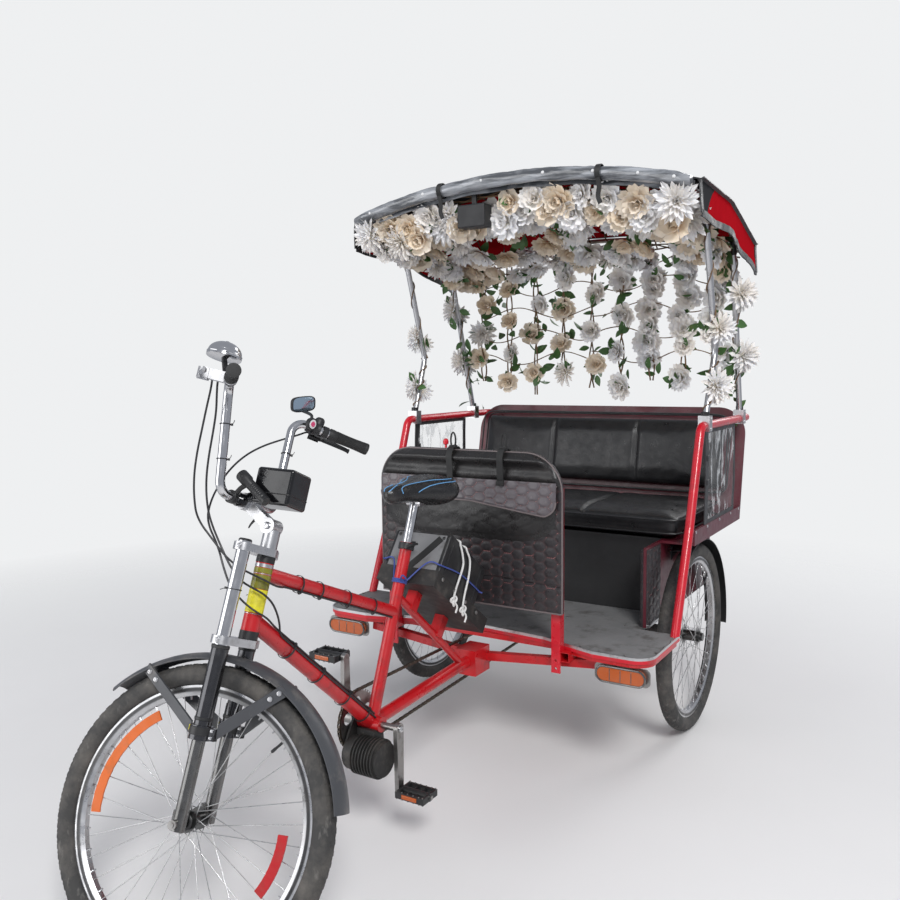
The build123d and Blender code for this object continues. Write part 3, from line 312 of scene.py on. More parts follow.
def capped_faces(rows, columns):
    """Faces of a form that rows of points go round, with both its ends closed."""
    ends = [tuple(range(columns))[::-1], tuple((rows - 1) * columns + k for k in range(columns))]
    return grid_faces(rows, columns, False, True) + ends


def turns(count):
    """Angles that divide a whole turn."""
    return [2 * math.pi * k / count for k in range(count)]


def hoop(centre, first, second, radius, count):
    """Points round a circle that two unit directions span."""
    return [centre + (first * math.cos(t) + second * math.sin(t)) * radius for t in turns(count)]


def collar(length, radius, step=0.0018, edge=0.001):
    """Profile of a clamp or sleeve with chamfers of a step across and an edge along."""
    return [(0, radius - step), (edge, radius), (length - edge, radius), (length, radius - step)]


def sign_power(value, power):
    return math.copysign(abs(value) ** power, value)


def squared_outline(half_x, half_y, power_x, power_y, count):
    """Points of an outline between an ellipse and a rectangle: the smaller the powers, the squarer it is."""
    return [(half_x * sign_power(math.cos(t), power_x), half_y * sign_power(math.sin(t), power_y))
            for t in turns(count)]


def frames_along(points, closed=False):
    """Two unit normals at each point of a path, carried along without twist."""
    points = [Vector(p) for p in points]
    count = len(points)
    tangents = []
    for i in range(count):
        before = points[(i - 1) % count] if closed or i else points[0]
        after = points[(i + 1) % count] if closed or i < count - 1 else points[-1]
        tangents.append((after - before).normalized())
    seed = Z_AXIS if abs(tangents[0].z) < 0.9 else X_AXIS
    normal = tangents[0].cross(seed).normalized()
    result = []
    for tangent in tangents:
        normal = (normal - tangent * normal.dot(tangent)).normalized()
        result.append((tangent, normal, tangent.cross(normal).normalized()))
    return result


def tube(points, radius, sides=10, closed=False):
    """Vertices and faces of a round tube; radius is a number or one number per point."""
    radii = radius if hasattr(radius, "__len__") else [radius] * len(points)
    vertices = []
    for point, reach, (_, first, second) in zip(points, radii, frames_along(points, closed)):
        vertices += hoop(Vector(point), first, second, reach, sides)
    faces = grid_faces(len(points), sides, True, True) if closed else capped_faces(len(points), sides)
    return vertices, faces


class Parts:
    """Several simple forms gathered into one mesh."""

    def __init__(self):
        self.points, self.faces = [], []

    def take(self, points, faces):
        base = len(self.points)
        self.points += [Vector(p) for p in points]
        self.faces += [tuple(base + i for i in face) for face in faces]
        return self

    def tube(self, points, radius, sides=10, closed=False):
        return self.take(*tube(points, radius, sides, closed))

    def bend(self, points, count, radius, sides):
        """A tube along a smooth path through points."""
        return self.tube(spline(points, count), radius, sides)

    def lathe(self, origin, axis, profile, sides=24):
        """Profile pairs of (along, radius) turned about an axis."""
        axis = Vector(axis).normalized()
        side = axis.orthogonal().normalized()
        other = axis.cross(side)
        points = []
        for along, radius in profile:
            points += hoop(Vector(origin) + axis * along, side, other, radius, sides)
        return self.take(points, capped_faces(len(profile), sides))

    def slab(self, centre, x, y, z, bevel=0.0, segments=2):
        """A block between plus and minus three half-edges, its edges rounded once."""
        centre, x, y, z = Vector(centre), Vector(x), Vector(y), Vector(z)
        mesh = bmesh.new()
        bmesh.ops.create_cube(mesh, size=2.0)
        for vertex in mesh.verts:
            vertex.co = centre + x * vertex.co.x + y * vertex.co.y + z * vertex.co.z
        if bevel:
            bmesh.ops.bevel(mesh, geom=mesh.edges[:], offset=bevel, segments=segments, affect="EDGES",
                            profile=0.6)
        mesh.verts.index_update()
        self.take([v.co for v in mesh.verts], [[v.index for v in f.verts] for f in mesh.faces])
        mesh.free()
        return self

    def block(self, centre, half, bevel=0.0, segments=2):
        """A slab along the row's axes, given by half its size."""
        x, y, z = half
        return self.slab(centre, (x, 0, 0), (0, y, 0), (0, 0, z), bevel, segments)

    def object(self, name, finish):
        """One mesh object of the gathered forms."""
        return mesh_object(name, self.points, self.faces, FINISH[finish])

    def piece(self, name, finish, body, slot, replaces=(), angle=35.0, turned=False):
        """The gathered forms as a finished piece; turned sends every face outwards first."""
        obj = self.object(name, finish)
        if turned:
            fix_normals(obj)
        return finish_piece(obj, body, replaces, angle)


def spline(points, count):
    """A smooth path through points (Catmull-Rom), with count places."""
    points = [Vector(p) for p in points]
    ends = [points[0] * 2 - points[1], *points, points[-1] * 2 - points[-2]]
    result = []
    for step in range(count):
        place = step / (count - 1) * (len(points) - 1)
        index = min(int(place), len(points) - 2)
        t = place - index
        a, b, c, d = ends[index:index + 4]
        result.append(0.5 * ((2 * b) + (c - a) * t + (2 * a - 5 * b + 4 * c - d) * t * t
                             + (3 * b - a - 3 * c + d) * t ** 3))
    return result


# Frames of the steering and the wheels, as the CAD model has them

STEER_AXIS = Vector((0, 0.358368, 0.933580))
STEER_LEFT = Vector((0.284015, -0.895135, 0.343610))
STEER_REAR = STEER_AXIS.cross(STEER_LEFT)
PIVOT = Vector((0, SHIFT + 0.0303447, 0.312939))
BAR_TWIST = math.radians(-8.6)


def on_fork(x, y, z):
    """A point of the steering frame in millimetres: left, rearward, up its axis."""
    return PIVOT + (STEER_LEFT * x + STEER_REAR * y + STEER_AXIS * z) / 1000


def on_bar(x, y, z):
    """The same for what turns with the handlebar's own twist."""
    c, s = math.cos(BAR_TWIST), math.sin(BAR_TWIST)
    return on_fork(x * c - y * s, x * s + y * c, z)


# The hub behind the steering axis, the bottom bracket, the rear axle and the chain's line, in millimetres
HUB_Y = -32.5
BRACKET_Y, BRACKET_Z, AXLE_Y, AXLE_Z, CHAIN_X = 638.0, 324.0, 1830.0, 335.0, -50.0
FRONT_HUB = on_fork(0, HUB_Y, 0)
WHEELS = {
    "front": (FRONT_HUB, STEER_LEFT, "front_wheel_body", "front_tyre", "front_wheel"),
    "rear_left": (at(545, AXLE_Y, AXLE_Z), X_AXIS, "rear_left_wheel_body", "rear_left_tyre",
                  "rear_left_wheel"),
    "rear_right": (at(-545, AXLE_Y, AXLE_Z), -X_AXIS, "rear_right_wheel_body", "rear_right_tyre",
                   "rear_right_wheel"),
}


def wheel_out(axis, turn):
    """Unit direction outwards from a wheel's axle, by its turn from the wheel's lowest point."""
    down = Vector((0, 0, -1))
    down = (down - axis * down.dot(axis)).normalized()
    return down * math.cos(turn) + axis.cross(down) * math.sin(turn)


def wheel_point(hub, axis, turn, radius, side=0.0):
    """A point of a wheel: turn from its lowest point, radius and distance along the axle."""
    return hub + wheel_out(axis, turn) * radius + axis * side


# Node groups for repeats

def repeat_group():
    """Puts a piece on each point, turned and sized by the point's own values."""
    tree = bpy.data.node_groups.new("Repeat", "GeometryNodeTree")
    tree.interface.new_socket("Geometry", in_out="OUTPUT", socket_type="NodeSocketGeometry")
    for name, kind in (("Geometry", "Geometry"), ("Piece", "Object"), ("Material", "Material")):
        tree.interface.new_socket(name, in_out="INPUT", socket_type="NodeSocket" + kind)
    entry, leave, info, put, turn, size, convert, realize, paint = (tree.nodes.new(kind) for kind in (
        "NodeGroupInput", "NodeGroupOutput", "GeometryNodeObjectInfo", "GeometryNodeInstanceOnPoints",
        "GeometryNodeInputNamedAttribute", "GeometryNodeInputNamedAttribute", "FunctionNodeEulerToRotation",
        "GeometryNodeRealizeInstances", "GeometryNodeSetMaterial"))
    turn.data_type, size.data_type = "FLOAT_VECTOR", "FLOAT"
    turn.inputs["Name"].default_value, size.inputs["Name"].default_value = "turn", "size"
    for source, output, target, key in (
        (entry, "Geometry", put, "Points"), (entry, "Piece", info, "Object"),
        (info, "Geometry", put, "Instance"), (turn, "Attribute", convert, "Euler"),
        (convert, "Rotation", put, "Rotation"), (size, "Attribute", put, "Scale"),
        (put, "Instances", realize, "Geometry"), (realize, "Geometry", paint, "Geometry"),
        (entry, "Material", paint, "Material"), (paint, "Geometry", leave, "Geometry"),
    ):
        tree.links.new(source.outputs[output], target.inputs[key])
    return tree


def bake(obj, tree, inputs, name):
    """Runs a node group on an object once and keeps the plain mesh."""
    modifier = obj.modifiers.new(tree.name, "NODES")
    modifier.node_group = tree
    for item in tree.interface.items_tree:
        if item.item_type == "SOCKET" and item.in_out == "INPUT" and item.name in inputs:
            modifier[item.identifier] = inputs[item.name]
    obj.update_tag()
    bpy.context.view_layer.update()
    depsgraph = bpy.context.evaluated_depsgraph_get()
    mesh = bpy.data.meshes.new_from_object(obj.evaluated_get(depsgraph), depsgraph=depsgraph)
    result = bpy.data.objects.new(name, mesh)
    bpy.context.scene.collection.objects.link(result)
    bpy.data.objects.remove(obj)
    return result


def repeat(name, piece, places, material):
    """One mesh with a copy of piece at each place: (point, euler, size)."""
    mesh = bpy.data.meshes.new(name + "_points")
    mesh.from_pydata([tuple(p[0]) for p in places], [], [])
    mesh.attributes.new("turn", "FLOAT_VECTOR", "POINT")
    mesh.attributes.new("size", "FLOAT", "POINT")
    mesh.attributes["turn"].data.foreach_set("vector", [value for _, euler, _ in places for value in euler])
    mesh.attributes["size"].data.foreach_set("value", [amount for *_, amount in places])
    holder = bpy.data.objects.new(name + "_points", mesh)
    bpy.context.scene.collection.objects.link(holder)
    tree = bpy.data.node_groups.get("Repeat") or repeat_group()
    return bake(holder, tree, {"Piece": piece, "Material": material}, name)


def scatter(name, template, places, finish, body, replaces=(), angle=35.0):
    """A finished piece with a copy of the template at each place."""
    return finish_piece(repeat(name, template, places, FINISH[finish]), body, replaces, angle)


def aim(direction, roll=0.0, up=(0, 0, 1)):
    """Euler turn that carries local Z to a direction, with a roll about it."""
    z = Vector(direction).normalized()
    x = Vector(up).cross(z)
    x = x.normalized() if x.length > 1e-4 else z.orthogonal().normalized()
    y = z.cross(x)
    turn = Matrix((x, y, z)).transposed() @ Matrix.Rotation(roll, 3, "Z")
    return turn.to_euler()


def discard(*objects):
    """Removes templates that have been repeated."""
    for obj in objects:
        bpy.data.objects.remove(obj)


def fix_normals(obj):
    """Turns every face of a closed mesh outwards."""
    mesh = bmesh.new()
    mesh.from_mesh(obj.data)
    bmesh.ops.recalc_face_normals(mesh, faces=mesh.faces[:])
    mesh.to_mesh(obj.data)
    mesh.free()
    obj.data.update()


def apply_modifiers(obj):
    """Makes what the modifiers give the object's own mesh."""
    bpy.context.view_layer.update()
    depsgraph = bpy.context.evaluated_depsgraph_get()
    mesh = bpy.data.meshes.new_from_object(obj.evaluated_get(depsgraph), depsgraph=depsgraph)
    obj.modifiers.clear()
    obj.data = mesh


# Stage

def build_stage(settings):
    """Camera, pale floor that fades out, world light and three soft lamps."""
    scene = bpy.context.scene
    camera = bpy.data.objects.new("camera", bpy.data.cameras.new("camera"))
    scene.collection.objects.link(camera)
    heading, pitch, roll = settings.heading, settings.pitch, settings.roll
    level = math.cos(pitch)
    ahead = Vector((-math.sin(heading) * level, math.cos(heading) * level, -math.sin(pitch)))
    right = Vector((math.cos(heading), math.sin(heading), 0))
    up = right.cross(ahead)
    turned_right = right * math.cos(roll) + up * math.sin(roll)
    turned_up = up * math.cos(roll) - right * math.sin(roll)
    matrix = Matrix((turned_right, turned_up, -ahead)).transposed().to_4x4()
    matrix.translation = Vector(settings.place)
    camera.matrix_world = matrix
    camera.data.lens = settings.lens
    camera.data.sensor_width = 36.0
    camera.data.clip_end = 200.0
    scene.camera = camera
    scene.view_settings.view_transform = "Standard"

    graph = Graph("stage_floor")
    light = graph.noise(1.3, 3.0)
    dark, pale = (tuple(min(1, c * share) for c in settings.floor_color) for share in (0.97, 1.03))
    graph.set(Base_Color=graph.mix(light, dark, pale), Roughness=0.85)
    reach = graph.add("VectorMath", operation="LENGTH")
    graph.put(reach.inputs[0], graph.coords())
    fade, clear = graph.add("MixShader"), graph.add("BsdfTransparent")
    graph.put(fade.inputs[0], graph.range(reach.outputs["Value"], 1.7, 4.6))
    graph.put(fade.inputs[1], graph.shader.outputs[0])
    graph.put(fade.inputs[2], clear.outputs[0])
    graph.put(graph.out.inputs["Surface"], fade.outputs[0])
    half = 60.0
    corners = [(x * half, y * half, 0) for x, y in ((-1, -1), (1, -1), (1, 1), (-1, 1))]
    mesh_object("stage_ground", corners, [(0, 1, 2, 3)], graph.material)

    world = bpy.data.worlds.new("studio")
    scene.world = world
    world.use_nodes = True
    tree = world.node_tree
    background = tree.nodes["Background"]
    sky = tree.nodes.new("ShaderNodeBackground")
    sky.inputs[0].default_value = (0.86, 0.87, 0.88, 1.0)
    sky.inputs[1].default_value = 1.0
    background.inputs[0].default_value = (0.86, 0.90, 1.0, 1.0)
    background.inputs[1].default_value = 0.42
    path = tree.nodes.new("ShaderNodeLightPath")
    mix = tree.nodes.new("ShaderNodeMixShader")
    tree.links.new(path.outputs["Is Camera Ray"], mix.inputs[0])
    tree.links.new(background.outputs[0], mix.inputs[1])
    tree.links.new(sky.outputs[0], mix.inputs[2])
    tree.links.new(mix.outputs[0], tree.nodes["World Output"].inputs["Surface"])

    for name, power, size, place, target in (
        ("key", settings.key_power, 2.2, (4.2, -4.6, 5.6), (0, 0, 0.7)),
        ("fill", settings.key_power * 0.30, 4.0, (-2.8, -4.6, 1.6), (0, 0, 1.2)),
        ("back", settings.key_power * 0.30, 3.5, (1.5, 5.5, 4.0), (0, 0.5, 1.0)),
    ):
        lamp = bpy.data.lights.new(name, "AREA")
        lamp.energy, lamp.size = power, size
        obj = bpy.data.objects.new(name, lamp)
        scene.collection.objects.link(obj)
        obj.location = place
        obj.rotation_euler = (Vector(place) - Vector(target)).to_track_quat("Z", "Y").to_euler()


# Finishes

FINISH = {}


def radius_from(graph, hub, axis):
    """Distance of the shaded point from an axle, in metres."""
    offset = graph.add("VectorMath", operation="SUBTRACT")
    graph.put(offset.inputs[0], graph.coords())
    graph.put(offset.inputs[1], tuple(hub))
    along = graph.add("VectorMath", operation="DOT_PRODUCT")
    graph.put(along.inputs[0], offset.outputs[0])
    graph.put(along.inputs[1], tuple(axis))
    length = graph.add("VectorMath", operation="LENGTH")
    graph.put(length.inputs[0], offset.outputs[0])
    squares = graph.math("SUBTRACT", graph.math("POWER", length.outputs["Value"], 2.0),
                         graph.math("POWER", along.outputs["Value"], 2.0))
    return graph.math("SQRT", graph.math("MAXIMUM", squares, 0.0))


def wheel_finish(name, hub, axis):
    """Dark hub, dull steel spokes and a silver rim with a dark inner band."""
    graph = Graph(name)
    share = graph.math("DIVIDE", radius_from(graph, hub, axis), 0.3)
    silver, band = (0.60, 0.60, 0.61), (0.035, 0.035, 0.037)
    steel, hub_tone = (0.52, 0.52, 0.52), (0.10, 0.10, 0.10)
    tone = graph.ramp(share, [(0.0, hub_tone), (0.085, hub_tone), (0.11, steel), (0.873, steel),
                              (0.884, silver), (0.905, silver), (0.915, band), (0.936, band),
                              (0.942, silver)])
    grime = graph.range(graph.noise(22.0, 6.0, 0.65), 0.50, 0.66, 0.0, 0.22)
    from_band = graph.math("ABSOLUTE", graph.math("SUBTRACT", share, 0.925), 0.0)
    metal = graph.range(from_band, 0.010, 0.014, 0.1, 1.0)
    graph.set(Base_Color=graph.mix(grime, tone, (0.12, 0.105, 0.09)), Metallic=metal)
    graph.gloss(40.0, 4.0, 0.20, 0.42)
    graph.bump(graph.noise(300.0, 2.0), 0.08, 0.0004)
    return graph.material


def rubber_finish(color):
    """Grey worn rubber with dusty patches and pale scuffs."""
    graph = Graph("tyre_rubber")
    dust = graph.range(graph.noise(11.0, 8.0, 0.68), 0.45, 0.68, 0.0, 0.75)
    scuff = graph.range(graph.noise(60.0, 4.0, 0.6, stretch=(1.0, 1.0, 0.25)), 0.60, 0.72, 0.0, 0.5)
    tone = graph.mix(dust, color, (0.13, 0.118, 0.105))
    graph.set(Base_Color=graph.mix(scuff, tone, (0.21, 0.20, 0.185)), Roughness=0.78)
    graph.bump(graph.noise(420.0, 3.0), 0.35, 0.0006)
    return graph.material


def vinyl_finish(name, color, rough=0.30, crease=0.35):
    """Coated cloth: fine leather grain, soft creases and an uneven gloss."""
    graph = Graph(name)
    grain = graph.add("TexVoronoi", feature="DISTANCE_TO_EDGE", Scale=620.0, Vector=graph.coords())
    folds = graph.noise(17.0, 5.0, 0.6)
    dark, light = (tuple(min(1.0, c * share) for c in color) for share in (0.72, 1.3))
    tone = graph.mix(graph.noise(6.0, 5.0, 0.6), dark, light)
    dust = graph.range(graph.noise(9.0, 8.0, 0.7), 0.54, 0.70, 0.0, 0.10)
    graph.set(Base_Color=graph.mix(dust, tone, (0.17, 0.155, 0.145)))
    graph.gloss(33.0, 5.0, max(0.05, rough - 0.10), rough + 0.12)
    first = graph.add("Bump", Strength=crease, Distance=0.004)
    graph.put(first.inputs["Height"], folds)
    graph.bump(graph.range(grain.outputs["Distance"], 0.0, 0.25), 0.22, 0.0004, first.outputs[0])
    return graph.material


def petal_finish(name, color, heart):
    """Petal colour, warmer at the heart, with fine grain and soft light through it."""
    graph = Graph(name)
    deep = graph.add("Attribute", attribute_name="reach").outputs["Fac"]
    between = graph.noise(9.0, 2.0)
    warmer = tuple(c * s for c, s in zip(color, (1.0, 0.96, 0.90)))
    base = graph.mix(graph.range(between, 0.42, 0.58), color, warmer)
    tone = graph.mix(graph.range(deep, 0.05, 0.55), heart, base)
    soil = graph.range(graph.noise(30.0, 6.0, 0.7), 0.60, 0.74, 0.0, 0.25)
    graph.set(Base_Color=graph.mix(soil, tone, (0.42, 0.34, 0.26)), Roughness=0.62)
    graph.shader.inputs["Subsurface Weight"].default_value = 0.12
    graph.shader.inputs["Subsurface Radius"].default_value = (0.02, 0.014, 0.009)
    graph.shader.inputs["Subsurface Scale"].default_value = 0.2
    graph.bump(graph.noise(260.0, 3.0, 0.6), 0.25, 0.0006)
    return graph.material


def clear_finish():
    """Clear vinyl sheet: mostly see-through, with pale streaks where it is creased."""
    graph = Graph("clear_vinyl")
    crease = graph.noise(11.0, 5.0, 0.6, stretch=(1.0, 1.0, 0.3))
    away = graph.math("ABSOLUTE", graph.math("SUBTRACT", crease, 0.5), 0.0)
    cover = graph.range(away, 0.0, 0.04, 0.42, 0.05)
    graph.set(Base_Color=(0.85, 0.87, 0.88, 1.0), Roughness=0.05, Alpha=cover)
    graph.bump(crease, 0.4, 0.004)
    return graph.material


def roll_finish():
    """Rolled clear sheet: grey and glossy, with pale streaks along it that are painted highlights, and pale
    patches of painted sheen.
    """
    graph = Graph("rolled_vinyl")
    highlight_streaks = graph.noise(34.0, 7.0, 0.6, stretch=(0.10, 1.0, 1.0))
    # Pale streaks over the sheet's dark grey: painted highlights along the roll.
    tone = graph.mix(graph.range(highlight_streaks, 0.46, 0.64), (0.075, 0.080, 0.088), (0.40, 0.42, 0.45))
    # Pale patches over the grey: a painted sheen of the clear sheet.
    painted_sheen = graph.range(graph.noise(7.0, 4.0, 0.6), 0.5, 0.62, 0.0, 0.5)
    graph.set(Base_Color=graph.mix(painted_sheen, tone, (0.36, 0.37, 0.39)), Roughness=0.14)
    graph.shader.inputs["Coat Weight"].default_value = 0.8
    graph.shader.inputs["Coat Roughness"].default_value = 0.08
    graph.bump(highlight_streaks, 0.5, 0.003)
    return graph.material


def hood_finish(settings):
    """Red coated cloth with a charcoal band along the hood's front edge."""
    graph = Graph("hood_cloth")
    place = graph.add("SeparateXYZ")
    graph.put(place.inputs[0], graph.coords())
    height = graph.math("MULTIPLY", graph.math("MINIMUM", place.outputs["Z"], 1.875), 1.2)
    limit = at(0, 1500, 0).y - 1.2 * 1.760
    band = graph.range(graph.math("SUBTRACT", place.outputs["Y"], height), limit, limit + 0.003, 1.0, 0.0)
    red = graph.mix(graph.noise(6.0, 5.0, 0.6), tuple(c * 0.75 for c in settings.cloth), settings.cloth)
    graph.set(Base_Color=graph.mix(band, red, tuple(c * 1.5 for c in settings.binding)), Roughness=0.55)
    graph.shader.inputs["Specular IOR Level"].default_value = 0.0
    graph.bump(graph.noise(17.0, 5.0, 0.6), 0.25, 0.004)
    return graph.material


def quilt_finish(name, color, rough):
    """Vinyl of a quilt, a little dusty in its seams."""
    graph = Graph(name)
    grain = graph.add("TexVoronoi", feature="DISTANCE_TO_EDGE", Scale=700.0, Vector=graph.coords())
    low = graph.add("Attribute", attribute_name="seam").outputs["Fac"]
    tone = graph.mix(graph.noise(7.0, 4.0), tuple(c * 0.8 for c in color), tuple(c * 1.35 for c in color))
    worn = graph.range(graph.noise(24.0, 6.0, 0.7), 0.5, 0.72, 0.0, 0.20)
    tone = graph.mix(worn, tone, (0.13, 0.12, 0.12))
    graph.set(Base_Color=graph.mix(graph.math("MULTIPLY", low, 0.7), tone, (0.075, 0.036, 0.036)))
    graph.gloss(60.0, 4.0, rough - 0.08, rough + 0.12)
    graph.bump(graph.range(grain.outputs["Distance"], 0.0, 0.25), 0.2, 0.0004)
    return graph.material


def leaf_finish(color):
    """Leaf green with dry patches."""
    graph = Graph("leaf")
    tone = graph.mix(graph.noise(16.0, 3.0), color, tuple(min(1.0, c * 2.1) for c in color))
    dry = graph.range(graph.noise(28.0, 5.0, 0.6), 0.58, 0.72, 0.0, 0.5)
    graph.set(Base_Color=graph.mix(dry, tone, (0.16, 0.13, 0.035)), Roughness=0.48)
    graph.bump(graph.noise(190.0, 3.0), 0.3, 0.0006)
    return graph.material


def edging_finish(paint):
    """Silver strip round the floor's top edge, over the red steel below it."""
    graph = Graph("floor_edging")
    low = graph.add("SeparateXYZ")
    graph.put(low.inputs[0], graph.coords())
    silver = graph.range(low.outputs["Z"], 0.4325, 0.4335)
    dirt = graph.range(graph.noise(30.0, 6.0, 0.7), 0.52, 0.70, 0.0, 0.5)
    clean = graph.mix(silver, paint.rail_red, (0.60, 0.60, 0.61))
    graph.set(Base_Color=graph.mix(dirt, clean, (0.12, 0.10, 0.09)))
    graph.set(Metallic=silver, Roughness=0.32)
    graph.bump(graph.noise(240.0, 3.0), 0.12, 0.0004)
    return graph.material


# Material name, colour, roughness, metal, grain's scale, bump's depth, variation of the colour,
# coat, and dirt as a colour with its strength (on the mudguard partly a painted highlight); a colour given as
# a word is a paint setting
PLAIN_FINISHES = {
    "red": ("frame_red", "frame_red", 0.32, 0.0, 240, 0.10, 0.20, 0.3, (0.060, 0.020, 0.020, 0.45)),
    "bright_red": ("rail_red", "rail_red", 0.28, 0.0, 240, 0.10, 0.12, 0.4, (0.10, 0.03, 0.03, 0.25)),
    "black": ("satin_black", (0.016, 0.016, 0.017), 0.42, 0.0, 300, 0.1, 0.3, 0.0, (0.07, 0.065, 0.06, 0.35)),
    "plastic": ("black_plastic", (0.020, 0.020, 0.021), 0.5, 0.0, 500, 0.25, 0.3),
    "chrome": ("chrome", (0.66, 0.66, 0.67), 0.14, 1.0, 120, 0.03, 0.08),
    "alloy": ("alloy", (0.58, 0.58, 0.59), 0.32, 1.0, 320, 0.08, 0.12, 0.0, (0.20, 0.18, 0.16, 0.4)),
    "grey": ("worn_grey", (0.17, 0.168, 0.165), 0.24, 0.9, 260, 0.08, 0.25, 0.0, (0.06, 0.055, 0.05, 0.5)),
    "smoke": ("dark_chrome", (0.095, 0.095, 0.10), 0.20, 0.95, 200, 0.05, 0.2, 0.0,
              (0.05, 0.047, 0.043, 0.4)),
    # Mudguard: its pale patches are dust, and in part a painted highlight.
    "guard": ("guard_grey", "guard_grey", 0.36, 0.0, 420, 0.2, 0.2, 0.0, (0.20, 0.18, 0.16, 0.45)),
    "steel": ("steel", (0.34, 0.33, 0.32), 0.36, 1.0, 260, 0.1, 0.2, 0.0, (0.07, 0.055, 0.045, 0.6)),
    "dirty": ("dirty_black", (0.022, 0.021, 0.020), 0.6, 0.0, 220, 0.3, 0.4, 0.0, (0.09, 0.08, 0.07, 0.6)),
    "case": ("case_black", (0.018, 0.018, 0.019), 0.38, 0.0, 500, 0.2, 0.25, 0.0, (0.07, 0.066, 0.062, 0.4)),
    "gloss": ("gloss_black", (0.006, 0.006, 0.007), 0.12, 0.0, 60, 0.02, 0.2, 0.2),
    "rubber": ("grip_rubber", (0.018, 0.018, 0.018), 0.62, 0.0, 380, 0.5, 0.2),
    "maroon": ("body_maroon", "maroon", 0.34, 0.0, 150, 0.06, 0.15, 0.1, (0.08, 0.05, 0.045, 0.3)),
    "floor": ("floor_grey", (0.20, 0.20, 0.20), 0.62, 0.0, 150, 0.4, 0.25, 0.0, (0.085, 0.08, 0.075, 0.8)),
    "lamp": ("amber_lens", "amber", 0.12, 0.0, 90, 0.05, 0.15, 0.8),
    "olive": ("tape_olive", (0.20, 0.19, 0.015), 0.30, 0.0, 90, 0.1, 0.5, 0.4, (0.03, 0.03, 0.02, 0.7)),
    "yellow": ("tape_yellow", "tape_yellow", 0.40, 0.0, 200, 0.1, 0.12, 0.2, (0.30, 0.26, 0.05, 0.5)),
    "white": ("white_cord", (0.74, 0.73, 0.71), 0.6, 0.0, 700, 0.5, 0.1, 0.0, (0.35, 0.32, 0.28, 0.5)),
    "blue": ("blue_cord", (0.045, 0.075, 0.30), 0.5, 0.0, 700, 0.4, 0.2),
    "pale": ("pale_stud", (0.72, 0.72, 0.72), 0.3, 0.0, 100, 0.05, 0.08),
    "cable": ("cable_black", (0.020, 0.020, 0.022), 0.40, 0.0, 400, 0.15, 0.3),
    "orange": ("orange_band", (0.60, 0.11, 0.003), 0.4, 0.0, 300, 0.2, 0.2, 0.0, (0.25, 0.09, 0.02, 0.5)),
    "red_band": ("red_band", (0.42, 0.004, 0.008), 0.4, 0.0, 300, 0.2, 0.2, 0.0, (0.15, 0.05, 0.03, 0.5)),
    "pink": ("pink_face", (0.62, 0.05, 0.16), 0.3, 0.0, 200, 0.05, 0.1, 0.4),
    "glass": ("mirror_glass", (0.52, 0.66, 0.78), 0.05, 1.0, 30, 0.01, 0.04),
    "lens": ("torch_lens", (0.75, 0.78, 0.80), 0.06, 0.3, 40, 0.02, 0.05, 0.5),
    "coil": ("spring_steel", (0.30, 0.30, 0.30), 0.3, 1.0, 200, 0.1, 0.2),
    "end_plate": ("end_plate", (0.19, 0.19, 0.195), 0.45, 0.0, 300, 0.2, 0.2, 0.0, (0.06, 0.055, 0.05, 0.5)),
    "chain": ("chain_steel", (0.13, 0.11, 0.09), 0.42, 1.0, 300, 0.2, 0.3, 0.0, (0.05, 0.04, 0.03, 0.7)),
    "vine": ("vine", (0.150, 0.088, 0.045), 0.7, 0.0, 260, 0.6, 0.35),
    "piping": ("panel_piping", (0.17, 0.14, 0.14), 0.4, 0.0, 500, 0.3, 0.3),
}

# CAD nodes that show as they are, under the finish that they get
DRESSED = {
    "red": ("main_frame", "cab_frame"), "bright_red": ("side_rails", "panel_posts"),
    "smoke": ("fork_sleeves",),
    "black": ("headset", "left_pedal", "right_pedal"), "cable": ("control_cables", "frame_cables"),
    "chrome": ("fork_upper_legs", "handlebar", "seat_post"), "grey": ("fork_lower_legs",),
    "alloy": ("fork_crowns", "stem", "canopy_poles", "canopy_bows"), "edging": ("floor_edging",),
    "steel": ("front_axle", "crankset", "marker_brackets"), "guard": ("front_mudguard",),
    "plastic": ("rear_mudguards", "roof_lamp", "seat_base"),
    "dirty": ("motor", "axle_housing", "battery_tray"), "case": ("battery_case",), "gloss": ("bar_box",),
    "maroon": ("body_shell",), "floor": ("floor_board",), "lamp": ("marker_lamps",),
}


def build_finishes(paint):
    """Materials of every kind, and those of the CAD nodes that show."""
    for key, (name, color, *values) in PLAIN_FINISHES.items():
        FINISH[key] = plain(name, getattr(paint, color) if isinstance(color, str) else color, *values)
    FINISH.update(clear=clear_finish(), roll=roll_finish(), edging=edging_finish(paint))
    for key, names in DRESSED.items():
        dress(FINISH[key], *names)


# Wheels

SPOKES, VALVE_TURN = 36, math.radians(133.0)


